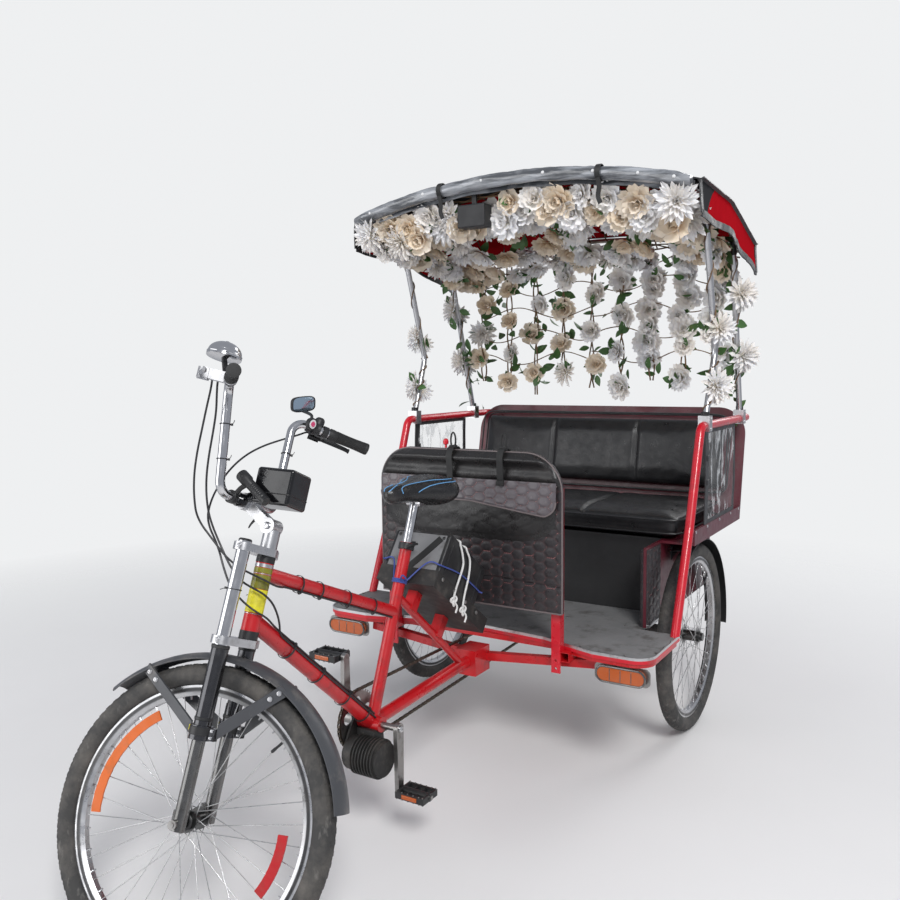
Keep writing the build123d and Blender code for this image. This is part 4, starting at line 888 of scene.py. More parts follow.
def build_tyre(name, settings):
    """A casing with sidewall ribs, sealed on the rim, and rows of tread bars on its crown."""
    hub, axis, body, tyre, _ = WHEELS[name]
    centre, reach, crown, bead_angle, steps = 0.308, settings.section, 0.0262, math.radians(140.0), 40
    bead = [(0.0108, 0.2874), (0.0105, 0.2817)]
    profile = [(-side, radius) for side, radius in reversed(bead)]
    for k in range(steps + 1):
        turn = -bead_angle + 2 * bead_angle * k / steps
        rib = 0.0006 if min(k, steps - k) in (7, 8, 12) else 0.0
        profile.append(((reach + rib) * math.sin(turn), centre + (crown + rib) * math.cos(turn)))
    profile += bead
    around = 128
    points = [wheel_point(hub, axis, turn, radius, side)
              for turn in turns(around) for side, radius in profile]
    casing = Parts().take(points, grid_faces(around, len(profile), True, True))
    casing.piece(f"{tyre}_casing", "tyre", body, "tyre_rubber", [tyre], 50.0, True)

    bar = Parts().block((0, 0, 0), (0.0052, 0.0030, 0.0009), 0.0007, 1).object("tread_bar", "tyre")
    places = []
    for row, (turn, slant) in enumerate(((-44, 0.5), (-22, -0.6), (0, 0.0), (22, 0.6), (44, -0.5))):
        across = math.radians(turn)
        for index in range(settings.bar_count):
            angle = 2 * math.pi * (index + 0.5 * (row % 2)) / settings.bar_count
            normal = wheel_out(axis, angle) * math.cos(across) + axis * math.sin(across)
            point = wheel_point(hub, axis, angle, centre + crown * math.cos(across), reach * math.sin(across))
            places.append((point, aim(normal, slant, axis), 1.0))
    scatter(f"{tyre}_tread", bar, places, "tyre", body)
    discard(bar)


def build_wheel_details(name):
    """Spoke nipples, valve and, on the front wheel, the coloured bands wound on the spokes."""
    hub, axis, body, _, wheel = WHEELS[name]
    dress(wheel_finish(f"{wheel}_metal", hub, axis), wheel)
    profile = [(0, 0.0024), (0.003, 0.0024), (0.010, 0.0016)]
    nipple = Parts().lathe((0, 0, -0.001), Z_AXIS, profile, 8).object("nipple", "alloy")
    directions = [wheel_out(axis, turn) for turn in turns(SPOKES)]
    places = [(hub + outward * 0.2645, aim(-outward), 1.0) for outward in directions]
    scatter(f"{wheel}_nipples", nipple, places, "alloy", body)
    discard(nipple)

    outward = wheel_out(axis, VALVE_TURN)
    profile = [(0, 0.0042), (0.003, 0.0042), (0.004, 0.0030), (0.022, 0.0030), (0.024, 0.0038),
               (0.034, 0.0038), (0.036, 0.0026)]
    valve = Parts().lathe(hub + outward * 0.265, -outward, profile, 14)
    valve.piece(f"{wheel}_valve", "cable", body, "black_plastic")

    seals = Parts()
    base = 0.0405 if name == "front" else 0.0345
    profile = [(0, 0.0175), (0.007, 0.0185), (0.009, 0.0150)]
    for side in (-1, 1):
        seals.lathe(hub + axis * side * (base - 0.010), axis * side, profile, 28)
    seals.piece(f"{wheel}_seals", "black", body, "black_plastic")
    if name != "front":
        return
    bands = (("orange", 208, 272, 0.240, "orange"), ("red", 54, 88, 0.220, "red_band"))
    for label, low, high, radius, finish in bands:
        steps, ring = 26, []
        for k in range(steps + 1):
            turn = math.radians(low + (high - low) * k / steps)
            ripple = 0.0008 * math.sin(k * 2.1)
            for offset, side in ((-0.011, -0.002), (0.011, -0.002), (0.011, 0.002), (-0.011, 0.002)):
                ring.append(wheel_point(hub, axis, turn, radius + offset, 0.0075 + side + ripple))
        band = Parts().take(ring, capped_faces(steps + 1, 4))
        band.piece(f"{label}_spoke_band", finish, body, "reflector", turned=True)


# Front fork and mudguard

# Centre line of a fork leg across and behind the steering axis, in millimetres
LEG_X, LEG_Y = 65.6, -28.1


def on_leg(x, behind, z):
    """A point of the steering frame, behind the centre line of the fork's legs."""
    return on_fork(x, LEG_Y + behind, z)


def screw_template(name, radius, finish):
    """A domed screw head with a socket, facing local Z."""
    dome = ((0, 1), (0.35, 1), (0.62, 0.72), (0.66, 0.42), (0.40, 0.36))
    profile = [(radius * along, radius * out) for along, out in dome] + [(radius * 0.40, 0.0001)]
    return Parts().lathe((0, 0, 0), Z_AXIS, profile, 12).object(name, finish)


def build_fork_details():
    """Yellow marks, clamp bolts, caps and cable ties of the fork, and the head tube's tape."""
    marks, caps, ties = Parts(), Parts(), Parts()
    for side in (-1, 1):
        x = side * LEG_X
        for low, turn in ((193.0, 200.0), (198.0, 290.0)):
            out = STEER_LEFT * math.cos(math.radians(turn)) + STEER_REAR * math.sin(math.radians(turn))
            across = out.cross(STEER_AXIS)
            marks.slab(on_leg(x, 0.0, low) + out * 0.0263, across * 0.0030, STEER_AXIS * 0.0052,
                       out * 0.0008, 0.0006)
        for low, high, wide in ((186.0, 204.0, 26.2), (216.0, 224.0, 20.6), (372.0, 380.0, 20.6)):
            band = collar((high - low) / 1000, wide / 1000, 0.0012, 0.0015)
            caps.lathe(on_leg(x, 0.0, low), STEER_AXIS, band, 28)
        top = [(0, 0.0155), (0.003, 0.0155), (0.0055, 0.013), (0.006, 0.004)]
        caps.lathe(on_leg(x, 0.0, 616.2), STEER_AXIS, top, 28)
        radius, roll, centre = 0.0168, 1.2, on_leg(x, 0.0, 505.0)
        ties.tube(hoop(centre, STEER_LEFT, STEER_REAR, radius, 24), 0.0012, 6, True)
        out = STEER_LEFT * math.cos(roll) - STEER_REAR * math.sin(roll)
        lock = centre + out * (radius + 0.002)
        ties.slab(lock, out * 0.0024, out.cross(STEER_AXIS) * 0.0026, STEER_AXIS * 0.0022, 0.0004)
        ties.tube([lock, centre + out * (radius + 0.014) - STEER_AXIS * 0.006], 0.0009, 5)
    marks.piece("fork_marks", "yellow", "steering", "yellow_tape")
    caps.piece("fork_collars", "black", "steering", "black_plastic")
    ties.piece("fork_ties", "plastic", "steering", "black_plastic")

    screw = screw_template("screw", 0.0055, "alloy")
    places = []
    for side in (-1, 1):
        x = side * LEG_X
        for height in (391.0, 603.0):
            places.append((on_leg(x + side * 24.5, 0.0, height), aim(STEER_LEFT * side), 1.0))
            places.append((on_fork(x * 0.45, LEG_Y * 0.45 - 24.0, height), aim(-STEER_REAR), 0.8))
        for height in (184.0, 199.0):
            for way in (-1, 1):
                places.append((on_leg(x + 9.0 * side * way, 30.0, height), aim(STEER_LEFT * side * way), 0.7))
    scatter("fork_screws", screw, places, "alloy", "steering")
    discard(screw)

    for label, finish, rows in (
        ("yellow", "yellow", ((462.0, 516.0),)), ("olive", "olive", ((517.0, 550.0), (554.0, 566.0))),
        ("silver", "alloy", ((458.5, 460.5), (551.0, 553.5), (567.0, 576.0))),
    ):
        tape = Parts()
        for start, end in rows:
            tape.lathe(PIVOT + STEER_AXIS * start / 1000, STEER_AXIS,
                       collar((end - start) / 1000, 0.0216, 0.0005, 0.0004), 40)
        finish_piece(tape.object(f"head_tube_{label}_tape", finish), "vehicle")


def build_mudguard_details():
    """Screws of the front mudguard's arms and a rolled bead along the blades."""
    screw = screw_template("guard_screw", 0.0060, "alloy")
    places = []
    for turn, spread, radius in ((58.0, 27.0, 350.0), (118.0, 35.0, 351.0)):
        angle = math.radians(turn)
        tip = Vector((spread, HUB_Y - radius * math.cos(angle), radius * math.sin(angle)))
        foot = Vector((LEG_X, LEG_Y + (-18.0 if turn < 90 else 30.0), 191.0))
        for side in (-1, 1):
            for share in (0.80, 0.93):
                spot = foot.lerp(tip, share)
                places.append((on_fork(side * (spot.x + 3.0), spot.y, spot.z), aim(STEER_LEFT * side), 1.0))
    scatter("guard_screws", screw, places, "alloy", "steering")
    discard(screw)
    bead = Parts()
    blades = ((360.0, 31.0, 13.0, 42.0, 66.0), (362.0, 39.0, 15.0, 100.0, 66.0))
    for radius, half, sag, start, sweep in blades:
        for side in (-1, 1):
            path, reach = [], radius - sag - 1.0
            for degrees in np.linspace(start, start + sweep, 33):
                turn = math.radians(degrees)
                y, z = HUB_Y - reach * math.cos(turn), reach * math.sin(turn)
                path.append(on_fork(side * (half - 1.2), y, z))
            bead.tube(path, 0.0020, 7)
    bead.piece("guard_beads", "guard", "steering", "guard_grey")


# Handlebar and what it carries

GRIP_END, RISER_TOP = Vector((305.0, 27.0, 946.0)), Vector((143.0, -111.0, 969.0))


def by_grip(side, distance, forward=0.0, up=0.0):
    """A point by a grip: in from its end, and off its centre line forward and up, in the row's metres."""
    inward = (RISER_TOP - GRIP_END).normalized()
    ahead = Vector((-inward.y, inward.x, 0)).normalized()
    point = GRIP_END + inward * distance + ahead * forward + inward.cross(ahead).normalized() * up
    return on_bar(side * point.x, point.y, point.z)


def grip_axes(side):
    """Unit directions by a grip: inward along it, forward and up."""
    origin = by_grip(side, 0)
    return [(by_grip(side, *step) - origin).normalized() for step in ((1, 0, 0), (0, 1, 0), (0, 0, 1))]


def build_grips():
    """Two rubber grips with ribs, a waisted middle and a flanged end."""
    grips = Parts()
    for side in (1, -1):
        inward = grip_axes(side)[0]
        profile = [(0.0, 0.0100), (0.0005, 0.0155), (0.004, 0.0162), (0.008, 0.0160)]
        for rib in range(24):
            along = 0.010 + rib * 0.0036
            waist = 0.0150 - 0.0012 * math.sin(math.pi * rib / 23)
            crest = waist + 0.0009
            profile += [(along, waist), (along + 0.0008, crest), (along + 0.0024, crest),
                        (along + 0.0030, waist)]
        profile += [(0.100, 0.0155), (0.104, 0.0162), (0.114, 0.0162), (0.116, 0.0150)]
        grips.lathe(by_grip(side, -4.0), inward, profile, 36)
    grips.piece("ribbed_grips", "rubber", "steering", "black_rubber", ["grips"], 50.0)


def build_bell():
    """A chromed dome in two parts with a thumb lever, on its strap."""
    foot, tip = by_grip(1, 147.0, 13.0, 10.0), by_grip(1, 140.0, 26.0, 46.0)
    inward = grip_axes(1)[0]
    base = tip - STEER_AXIS * 0.004
    dome = Parts()
    lower = [(0.000, 0.0360), (0.001, 0.0398), (0.008, 0.0400), (0.010, 0.0392)]
    rises = np.linspace(0, math.radians(84), 14)
    curve = [(0.011 + 0.027 * math.sin(t), 0.0385 * math.cos(t)) for t in rises]
    dome.lathe(base, STEER_AXIS, lower + curve + [(0.0388, 0.0062), (0.0400, 0.0045), (0.0402, 0.0005)], 48)
    rim = hoop(base, inward, inward.cross(STEER_AXIS), 0.0396, 40)
    dome.tube([point + STEER_AXIS * 0.0098 for point in rim], 0.0012, 6, True)
    holder = Parts()
    holder.lathe(foot, tip - foot, [(0, 0.0068), (0.002, 0.0070), ((tip - foot).length, 0.0060)], 18)
    holder.lathe(by_grip(1, 140.0), inward, collar(0.014, 0.0158), 32)
    thumb = [base + inward * 0.030 - STEER_AXIS * 0.002, base + inward * 0.044,
             base + inward * 0.050 + STEER_AXIS * 0.008]
    holder.bend(thumb, 9, [0.0035] * 5 + [0.004, 0.0045, 0.0045, 0.003], 10)
    dome.piece("bell_dome", "chrome", "steering", "chrome", ["bell"], 40.0)
    holder.piece("bell_holder", "black", "steering", "black_plastic")


def build_levers():
    """Brake levers with clamps, pivot blocks and curved blades, pale on the left and black on the right."""
    for side, label, finish, nodes in ((1, "left", "alloy", ["brake_levers"]), (-1, "right", "black", [])):
        inward, ahead, above = grip_axes(side)
        body = Parts()
        body.lathe(by_grip(side, 116.0), inward, collar(0.016, 0.0160), 32)
        body.slab(by_grip(side, 126.0, 34.0, -2.0), inward * 0.0085, ahead * 0.027, above * 0.0080, 0.004)
        body.slab(by_grip(side, 131.0, 60.0, -4.0), inward * 0.0120, ahead * 0.0100, above * 0.0085, 0.004)
        pivot = [(0, 0.003), (0.0005, 0.0052), (0.019, 0.0052), (0.0195, 0.003)]
        adjuster = [(0, 0.0052), (0.010, 0.0052), (0.011, 0.0040), (0.016, 0.0040)]
        body.lathe(by_grip(side, 134.0, 60.0, -14.0), above, pivot, 14)
        body.lathe(by_grip(side, 141.0, 52.0, -3.0), inward, adjuster, 14)
        body.piece(f"lever_body_{label}", finish, "steering", "black_plastic", nodes)
        steps, rows = 28, []
        route = ((138.0, 63.0, -4.0), (112.0, 66.0, -5.0), (76.0, 61.0, -7.0), (44.0, 57.0, -9.0),
                 (26.0, 60.0, -10.0))
        path = spline([by_grip(side, *spot) for spot in route], steps)
        for index, (point, (tangent, _, _)) in enumerate(zip(path, frames_along(path))):
            share = index / (steps - 1)
            half = 0.0072 - 0.0016 * share + (0.0012 if share > 0.93 else 0.0)
            across = (above - tangent * above.dot(tangent)).normalized()
            out = tangent.cross(across)
            rows += [point + across * half * math.cos(t) + out * 0.0036 * math.sin(t) for t in turns(12)]
        blade = Parts().take(rows, capped_faces(steps, 12))
        blade.piece(f"lever_blade_{label}", finish, "steering", "alloy", turned=True)


def build_gear_changer():
    """A ring changer with a dome, a pod and a small round face in pink and white."""
    inward, ahead, above = grip_axes(-1)
    unit = Parts()
    ring = [(0, 0.0145), (0.001, 0.0180), (0.006, 0.0180), (0.007, 0.0172), (0.014, 0.0172),
            (0.015, 0.0180), (0.021, 0.0180), (0.022, 0.0145)]
    dome = [(0, 0.0134), (0.012, 0.0134), (0.017, 0.0120), (0.0205, 0.0085), (0.0220, 0.0030)]
    unit.lathe(by_grip(-1, 139.0), inward, ring, 32)
    unit.lathe(by_grip(-1, 146.0, 1.0, 12.0), above, dome, 28)
    unit.slab(by_grip(-1, 150.0, 17.0, 4.0), inward * 0.009, ahead * 0.010, above * 0.0085, 0.004)
    unit.piece("changer_pod", "plastic", "steering", "black_plastic", ["gear_changer"], 40.0)
    centre = by_grip(-1, 176.0, -17.0, 3.0)
    toward = (-ahead * 0.75 - above * 0.1 - inward * 0.45).normalized()
    case = [(0, 0.0100), (0.001, 0.0150), (0.010, 0.0165), (0.013, 0.0160), (0.0135, 0.0125)]
    rim = [(0, 0.0120), (0.0012, 0.0120), (0.0016, 0.0100)]
    spot = [(0, 0.0072), (0.0009, 0.0070), (0.0012, 0.0040)]
    for name, rise, profile, sides, finish, slot in (
        ("button_case", 0.0, case, 32, "plastic", "black_plastic"),
        ("button_rim", 0.0125, rim, 32, "pale", "white_trim"),
        ("button_face", 0.0140, spot, 24, "pink", "pink_face"),
    ):
        Parts().lathe(centre + toward * rise, toward, profile, sides).piece(name, finish, "steering", slot)


def build_mirror():
    """A rear-view mirror: a rounded black shell with a recessed glass on its stalk."""
    inward = grip_axes(-1)[0]
    centre = by_grip(-1, 170.0, 26.0, 84.0) + Vector((-0.031, -0.019, -0.013))
    across, back = Vector((0.05, -0.998, -0.03)), Vector((0.99, 0.05, -0.08))
    top = Vector((0.08, -0.03, 0.99))
    count = 48
    outline = squared_outline(0.0505, 0.0215, 0.55, 0.55, count)

    def dish(rings):
        points = [centre + across * x * grow + top * z * grow + back * depth
                  for depth, grow in rings for x, z in outline]
        return Parts().take(points, capped_faces(len(rings), count))

    shell = dish([(-0.0060, 0.60), (-0.0050, 0.86), (-0.0020, 0.97), (0.0040, 1.0), (0.0060, 0.98),
                  (0.0060, 0.92), (0.0040, 0.91)])
    stalk = [by_grip(-1, 170.0, 4.0, 12.0), by_grip(-1, 170.0, 14.0, 34.0),
             centre - top * 0.018 - back * 0.003]
    shell.bend(stalk, 12, 0.0042, 12)
    shell.lathe(by_grip(-1, 163.0), inward, collar(0.014, 0.0160), 28)
    shell.piece("mirror_shell", "plastic", "steering", "black_plastic", ["mirror"], 40.0, turned=True)
    glass = dish([(0.0042, 0.905), (0.0050, 0.900), (0.0052, 0.86)])
    glass.piece("mirror_glass", "glass", "steering", "mirror_glass", turned=True)


def build_bar_box():
    """Lid seam and strap of the glossy box, and the bolts of the stem."""
    trim = Parts()
    trim.tube([on_bar(x, y, 738.0) for x, y in squared_outline(42.4, 52.4, 0.16, 0.16, 48)], 0.0013, 6, True)
    loop = ((-14, -52, 706), (-20, -66, 690), (-18, -78, 668), (-8, -74, 656), (4, -60, 664), (8, -50, 672))
    trim.bend([on_bar(*spot) for spot in loop], 30, 0.0016, 8)
    trim.piece("box_trim", "black", "steering", "black_plastic")
    bolt = screw_template("stem_bolt", 0.0046, "chrome")
    places = []
    across = (on_bar(1, 0, 0) - on_bar(0, 0, 0)).normalized()
    for x in (-17.0, 17.0):
        for z in (-11.0, 11.0):
            places.append((on_bar(x, -89.5 - 17.5, 715.0 + z), aim(on_bar(0, -1, 0) - on_bar(0, 0, 0)), 1.0))
    for side in (-1, 1):
        places.append((on_bar(side * 20.2, -4.0, 664.0), aim(across * side), 1.9))
    scatter("stem_bolts", bolt, places, "chrome", "steering")
    discard(bolt)


def build_torch():
    """A torch with a knurled head, a lens and a rubber strap."""
    tail, tip = on_bar(62, 10, 712), on_bar(62, -71, 766)
    ray, length = (tip - tail).normalized(), (tip - tail).length
    profile = [(0, 0.009), (0.001, 0.0118), (0.010, 0.0120), (0.011, 0.0112), (0.014, 0.0112),
               (0.015, 0.0120)]
    for ring in range(7):
        along = 0.020 + ring * 0.006
        profile += [(along, 0.0120), (along + 0.001, 0.0113), (along + 0.003, 0.0113),
                    (along + 0.004, 0.0120)]
    head = ((-0.024, 0.0120), (-0.018, 0.0150), (0.006, 0.0150), (0.008, 0.0142), (0.008, 0.0125),
            (0.005, 0.0120))
    profile += [(length + along, radius) for along, radius in head]
    torch = Parts().lathe(tail, ray, profile, 32)
    torch.lathe(on_bar(54, -89.5, 715), on_bar(1, 0, 0) - on_bar(0, 0, 0), collar(0.016, 0.0160), 28)
    torch.tube([on_bar(62, -82, 722), on_bar(62, -70, 738), on_bar(62, -56, 748)], 0.006, 12)
    torch.piece("torch_body", "black", "steering", "black_plastic", ["torch"], 40.0)
    bulge = [(0, 0.0118), (0.0012, 0.0116), (0.0020, 0.0070), (0.0022, 0.0010)]
    lens = Parts().lathe(tip + ray * 0.0035, ray, bulge, 28)
    lens.piece("torch_lens", "lens", "steering", "clear_lens")


def build_bar_ties():
    """Cable ties on the risers and the cables that they hold."""
    ties = Parts()
    for side in (1, -1):
        low, high = Vector((112.0, -89.5, 715.0)), RISER_TOP
        along = (on_bar(side * high.x, high.y, high.z) - on_bar(side * low.x, low.y, low.z)).normalized()
        for share in (0.30, 0.62):
            spot = low.lerp(high, share)
            centre = on_bar(side * spot.x, spot.y, spot.z)
            first = along.orthogonal().normalized()
            second = along.cross(first)
            ties.tube(hoop(centre, first, second, 0.0122, 24), 0.0014, 6, True)
            ties.slab(centre + first * 0.0150, first * 0.0028, second * 0.0030, along * 0.0026, 0.0005)
            end = [centre + first * out + along * up
                   for out, up in ((0.015, 0), (0.019, 0.006), (0.020, 0.011))]
            ties.tube(end, 0.0009, 5)
    ties.piece("bar_ties", "plastic", "steering", "black_plastic")


# Saddle

# Distance from the nose, half width, thickness and top, in millimetres
SADDLE = np.array((
    (0.0, 9.0, 24.0, 37.0), (12.0, 21.0, 42.0, 45.0), (40.0, 27.0, 54.0, 50.0), (90.0, 34.0, 58.0, 51.0),
    (140.0, 57.0, 66.0, 53.0), (185.0, 88.0, 82.0, 58.0), (222.0, 104.0, 92.0, 62.0),
    (250.0, 97.0, 82.0, 61.0), (264.0, 76.0, 60.0, 57.0), (268.0, 50.0, 36.0, 50.0)))
SADDLE_LENGTH, SADDLE_FOOT, SADDLE_NOSE = 268.0, 925.0, 725.0


def saddle_section(place):
    """Half width, thickness and top of the saddle at a distance from its nose, in millimetres."""
    index = min(max(int(np.searchsorted(SADDLE[:, 0], place)) - 1, 0), len(SADDLE) - 2)
    start, end = SADDLE[index], SADDLE[index + 1]
    before, after = SADDLE[max(index - 1, 0)], SADDLE[min(index + 2, len(SADDLE) - 1)]
    run = end[0] - start[0]
    t = (place - start[0]) / run
    first = (end - before) / (end[0] - before[0]) * run
    last = (after - start) / (after[0] - start[0]) * run
    return ((2 * t ** 3 - 3 * t * t + 1) * start + (t ** 3 - 2 * t * t + t) * first
            + (3 * t * t - 2 * t ** 3) * end + (t ** 3 - t * t) * last)[1:]


def saddle_point(place, turn, lift=0.0):
    """A point of the saddle's skin; turn is 90 degrees on top and 0 at its left edge."""
    half, thick, top = saddle_section(place)
    x = (half + lift) * math.cos(turn)
    z = SADDLE_FOOT + top - thick / 2 + (thick / 2 + lift) * sign_power(math.sin(turn), 0.9)
    if math.sin(turn) > 0 and 40 < place < 250:
        z -= 4.0 * math.exp(-(x / 14.0) ** 2) * math.sin(math.pi * (place - 40) / 210) ** 2
    return at(x, SADDLE_NOSE + 0.95 * place, z)


def build_saddle(settings):
    """A broad saddle with a hollow along its middle and blue piping in long curves."""
    around, along = 56, 60
    stations = [SADDLE_LENGTH * (0.5 - 0.5 * math.cos(math.pi * k / (along - 1))) for k in range(along)]
    points = [saddle_point(s, turn) for s in stations for turn in turns(around)]
    FINISH["leather"] = vinyl_finish("saddle_leather", (0.014, 0.014, 0.015), 0.26, 0.05)
    FINISH["stitch"] = plain("saddle_stitch", settings.stitch, 0.45, 0.0, 600, 0.3, 0.15)
    skin = Parts().take(points, capped_faces(along, around))
    skin.piece("saddle_skin", "leather", "vehicle", "black_leather", ["saddle"], 60.0, True)
    piping = Parts()
    for side in (-1, 1):
        for route in (((46, 6), (46, 34), (66, 52), (110, 62), (170, 60), (214, 50), (262, 44)),
                      ((108, 4), (128, 20), (158, 34), (200, 38), (262, 30)),
                      ((2, 50), (24, 64), (46, 74))):
            marks = spline([(place, turn, 0) for place, turn in route], 46)
            route = [saddle_point(p.x, math.radians(90 - side * (90 - p.y)), 0.5) for p in marks]
            piping.tube(route, 0.0014, 6)
    piping.piece("saddle_piping", "stitch", "vehicle", "blue_piping")
    under = Parts()
    for side in (-1, 1):
        rail = ((10, 735, 944), (20, 800, 934), (22, 900, 932), (46, 950, 940))
        under.bend([at(side * x, y, z) for x, y, z in rail], 22, 0.0035, 10)
        coil, steps, rounds = [], 60, 5
        for k in range(steps + 1):
            t = 2 * math.pi * rounds * k / steps
            coil.append(at(side * 62 + 15 * math.cos(t), 944 + 15 * math.sin(t), 926 + 26 * k / steps))
        under.tube(coil, 0.0024, 7)
    under.piece("saddle_springs", "coil", "vehicle", "spring_steel")
    clamp = Parts()
    top, low = Vector((0, 824.0, 798.0)), Vector((0, BRACKET_Y, BRACKET_Z))
    slope = (top - low).normalized()
    centre = at(*(top - slope * 8.0))
    profile = [(0, 0.0214), (0.001, 0.0232), (0.019, 0.0232), (0.020, 0.0190)]
    clamp.lathe(at(*(top - slope * 20.0)), slope, profile, 36)
    clamp.slab(centre + Vector((0, 0.026, 0.0)), (0.010, 0, 0), (0, 0.008, 0), slope * 0.008, 0.003)
    lever = ((0.012, 0.028, 0), (0.024, 0.020, 0.004), (0.028, -0.012, 0.008), (0.024, -0.034, 0.006))
    clamp.bend([centre + Vector(spot) for spot in lever], 14, 0.0036, 8)
    clamp.piece("seat_clamp", "black", "vehicle", "black_plastic")


# Drive

LINK_PITCH, CRANK = 12.7, 170.0


def chain_path():
    """The chain's centre line round the chainring and the axle's sprocket, evenly divided."""
    (y0, z0, r0), (y1, z1, r1) = (BRACKET_Y, BRACKET_Z, 82.7), (AXLE_Y, AXLE_Z, 52.7)
    span, heading = math.hypot(y1 - y0, z1 - z0), math.atan2(z1 - z0, y1 - y0)
    lean = math.asin((r0 - r1) / span)
    path = []
    quarter = math.pi / 2
    for y, z, r, start, stop in ((y0, z0, r0, heading + quarter - lean, heading + 3 * quarter + lean),
                                 (y1, z1, r1, heading - quarter + lean, heading + quarter - lean)):
        path += [Vector((y + r * math.cos(t), z + r * math.sin(t), 0)) for t in np.linspace(start, stop, 40)]
    path.append(path[0])
    lengths = np.cumsum([0] + [(b - a).length for a, b in zip(path, path[1:])])
    count = 2 * round(lengths[-1] / LINK_PITCH / 2)
    marks = np.linspace(0, lengths[-1], count + 1)[:-1]
    ys, zs = (np.interp(marks, lengths, [p[axis] for p in path]) for axis in (0, 1))
    return [at(CHAIN_X, y, z) for y, z in zip(ys, zs)]


def build_chain():
    """Inner and outer links with rollers along the chain's path."""
    points = chain_path()
    half = LINK_PITCH / 2000

    def link(name, offset):
        piece = Parts()
        for side in (-1, 1):
            outline = []
            for k, t in enumerate(turns(12)):
                along = (half if math.cos(t) > 0 else -half) + 0.0040 * math.cos(t)
                outline.append((along, 0.0040 * math.sin(t) * (0.8 if k % 6 == 3 else 1.0)))
            x0, x1 = side * offset, side * (offset + 0.0010)
            ring = [(x0, a, h) for a, h in outline] + [(x1, a, h) for a, h in outline]
            piece.take(ring, capped_faces(2, 12))
        piece.lathe((-offset, half, 0), X_AXIS, [(0, 0.0038), (2 * offset, 0.0038)], 8)
        obj = piece.object(name, "chain")
        fix_normals(obj)
        return obj

    count = len(points)
    for name, offset, first, nodes in (("inner", 0.0022, 0, ["drive_chain"]), ("outer", 0.0033, 1, [])):
        piece = link(f"{name}_link", offset)
        places = []
        for index in range(first, count, 2):
            start, end = points[index], points[(index + 1) % count]
            run = (end - start).normalized()
            turn = Matrix(((1, 0, 0), run, X_AXIS.cross(run))).transposed()
            places.append(((start + end) / 2, turn.to_euler(), 1.0))
        scatter(f"{name}_chain_links", piece, places, "chain", "vehicle", nodes)
        discard(piece)


def build_drive_details():
    """Teeth of both chain wheels, bolts of the chainring, and pins and reflectors of the pedals."""
    tooth = Parts().block((0, 0, 0.003), (0.0011, 0.0026, 0.004), 0.0008).object("tooth", "steel")
    for label, body, y, z, radius, count in (("ring", "crank", BRACKET_Y, BRACKET_Z, 77.0, 41),
                                             ("axle", "vehicle", AXLE_Y, AXLE_Z, 47.0, 26)):
        places = []
        for turn in turns(count):
            outward = Vector((0, math.cos(turn), math.sin(turn)))
            point = at(CHAIN_X, y + radius * outward.y, z + radius * outward.z)
            places.append((point, aim(outward, 0, (0, -outward.z, outward.y)), 1.0))
        scatter(f"{label}_teeth", tooth, places, "steel", body)
    discard(tooth)
    bolt = screw_template("ring_bolt", 0.0055, "alloy")
    places = []
    for index in range(5):
        turn = math.radians(72.0 * index + 54)
        for radius in (30.0, 68.0):
            y, z = BRACKET_Y + radius * math.cos(turn), BRACKET_Z + radius * math.sin(turn)
            places.append((at(CHAIN_X - 1.6, y, z), aim((-1, 0, 0)), 1.0))
    for side in (1, -1):
        places.append((at(side * 97.2, BRACKET_Y, BRACKET_Z), aim((side, 0, 0)), 1.7))
    scatter("ring_bolts", bolt, places, "alloy", "crank")
    discard(bolt)
    profile = [(0, 0.0022), (0.0025, 0.0020), (0.0032, 0.0008)]
    pin = Parts().lathe((0, 0, 0), Z_AXIS, profile, 8).object("pedal_pin", "steel")
    for side, direction, body in ((1, -1, "left_pedal_body"), (-1, 1, "right_pedal_body")):
        z = BRACKET_Z + direction * CRANK
        places = []
        for x in (104.0, 122.0, 140.0, 158.0, 176.0, 188.0):
            for y in (-32.5, 32.5):
                for face in (-1, 1):
                    places.append((at(side * x, BRACKET_Y + y, z + face * 9.0), aim((0, 0, face)), 1.0))
        scatter(f"{body}_pins", pin, places, "steel", body)
        glow = Parts()
        for y in (-35.6, 35.6):
            glow.block(at(side * 146.0, BRACKET_Y + y, z), (0.024, 0.0012, 0.0058), 0.001)
        glow.piece(f"{body}_reflectors", "lamp", body, "amber_lens")
    discard(pin)


# Battery case

CASE_CENTRE, CASE_SLOPE = (0.0, 966.0, 676.0), math.radians(-37.0)


def on_case(x, y, z):
    """A point of the battery case's own frame, in millimetres: left, down its slope, up off its tray."""
    c, s = math.cos(CASE_SLOPE), math.sin(CASE_SLOPE)
    return at(x, CASE_CENTRE[1] + y * c - z * s, CASE_CENTRE[2] + y * s + z * c)


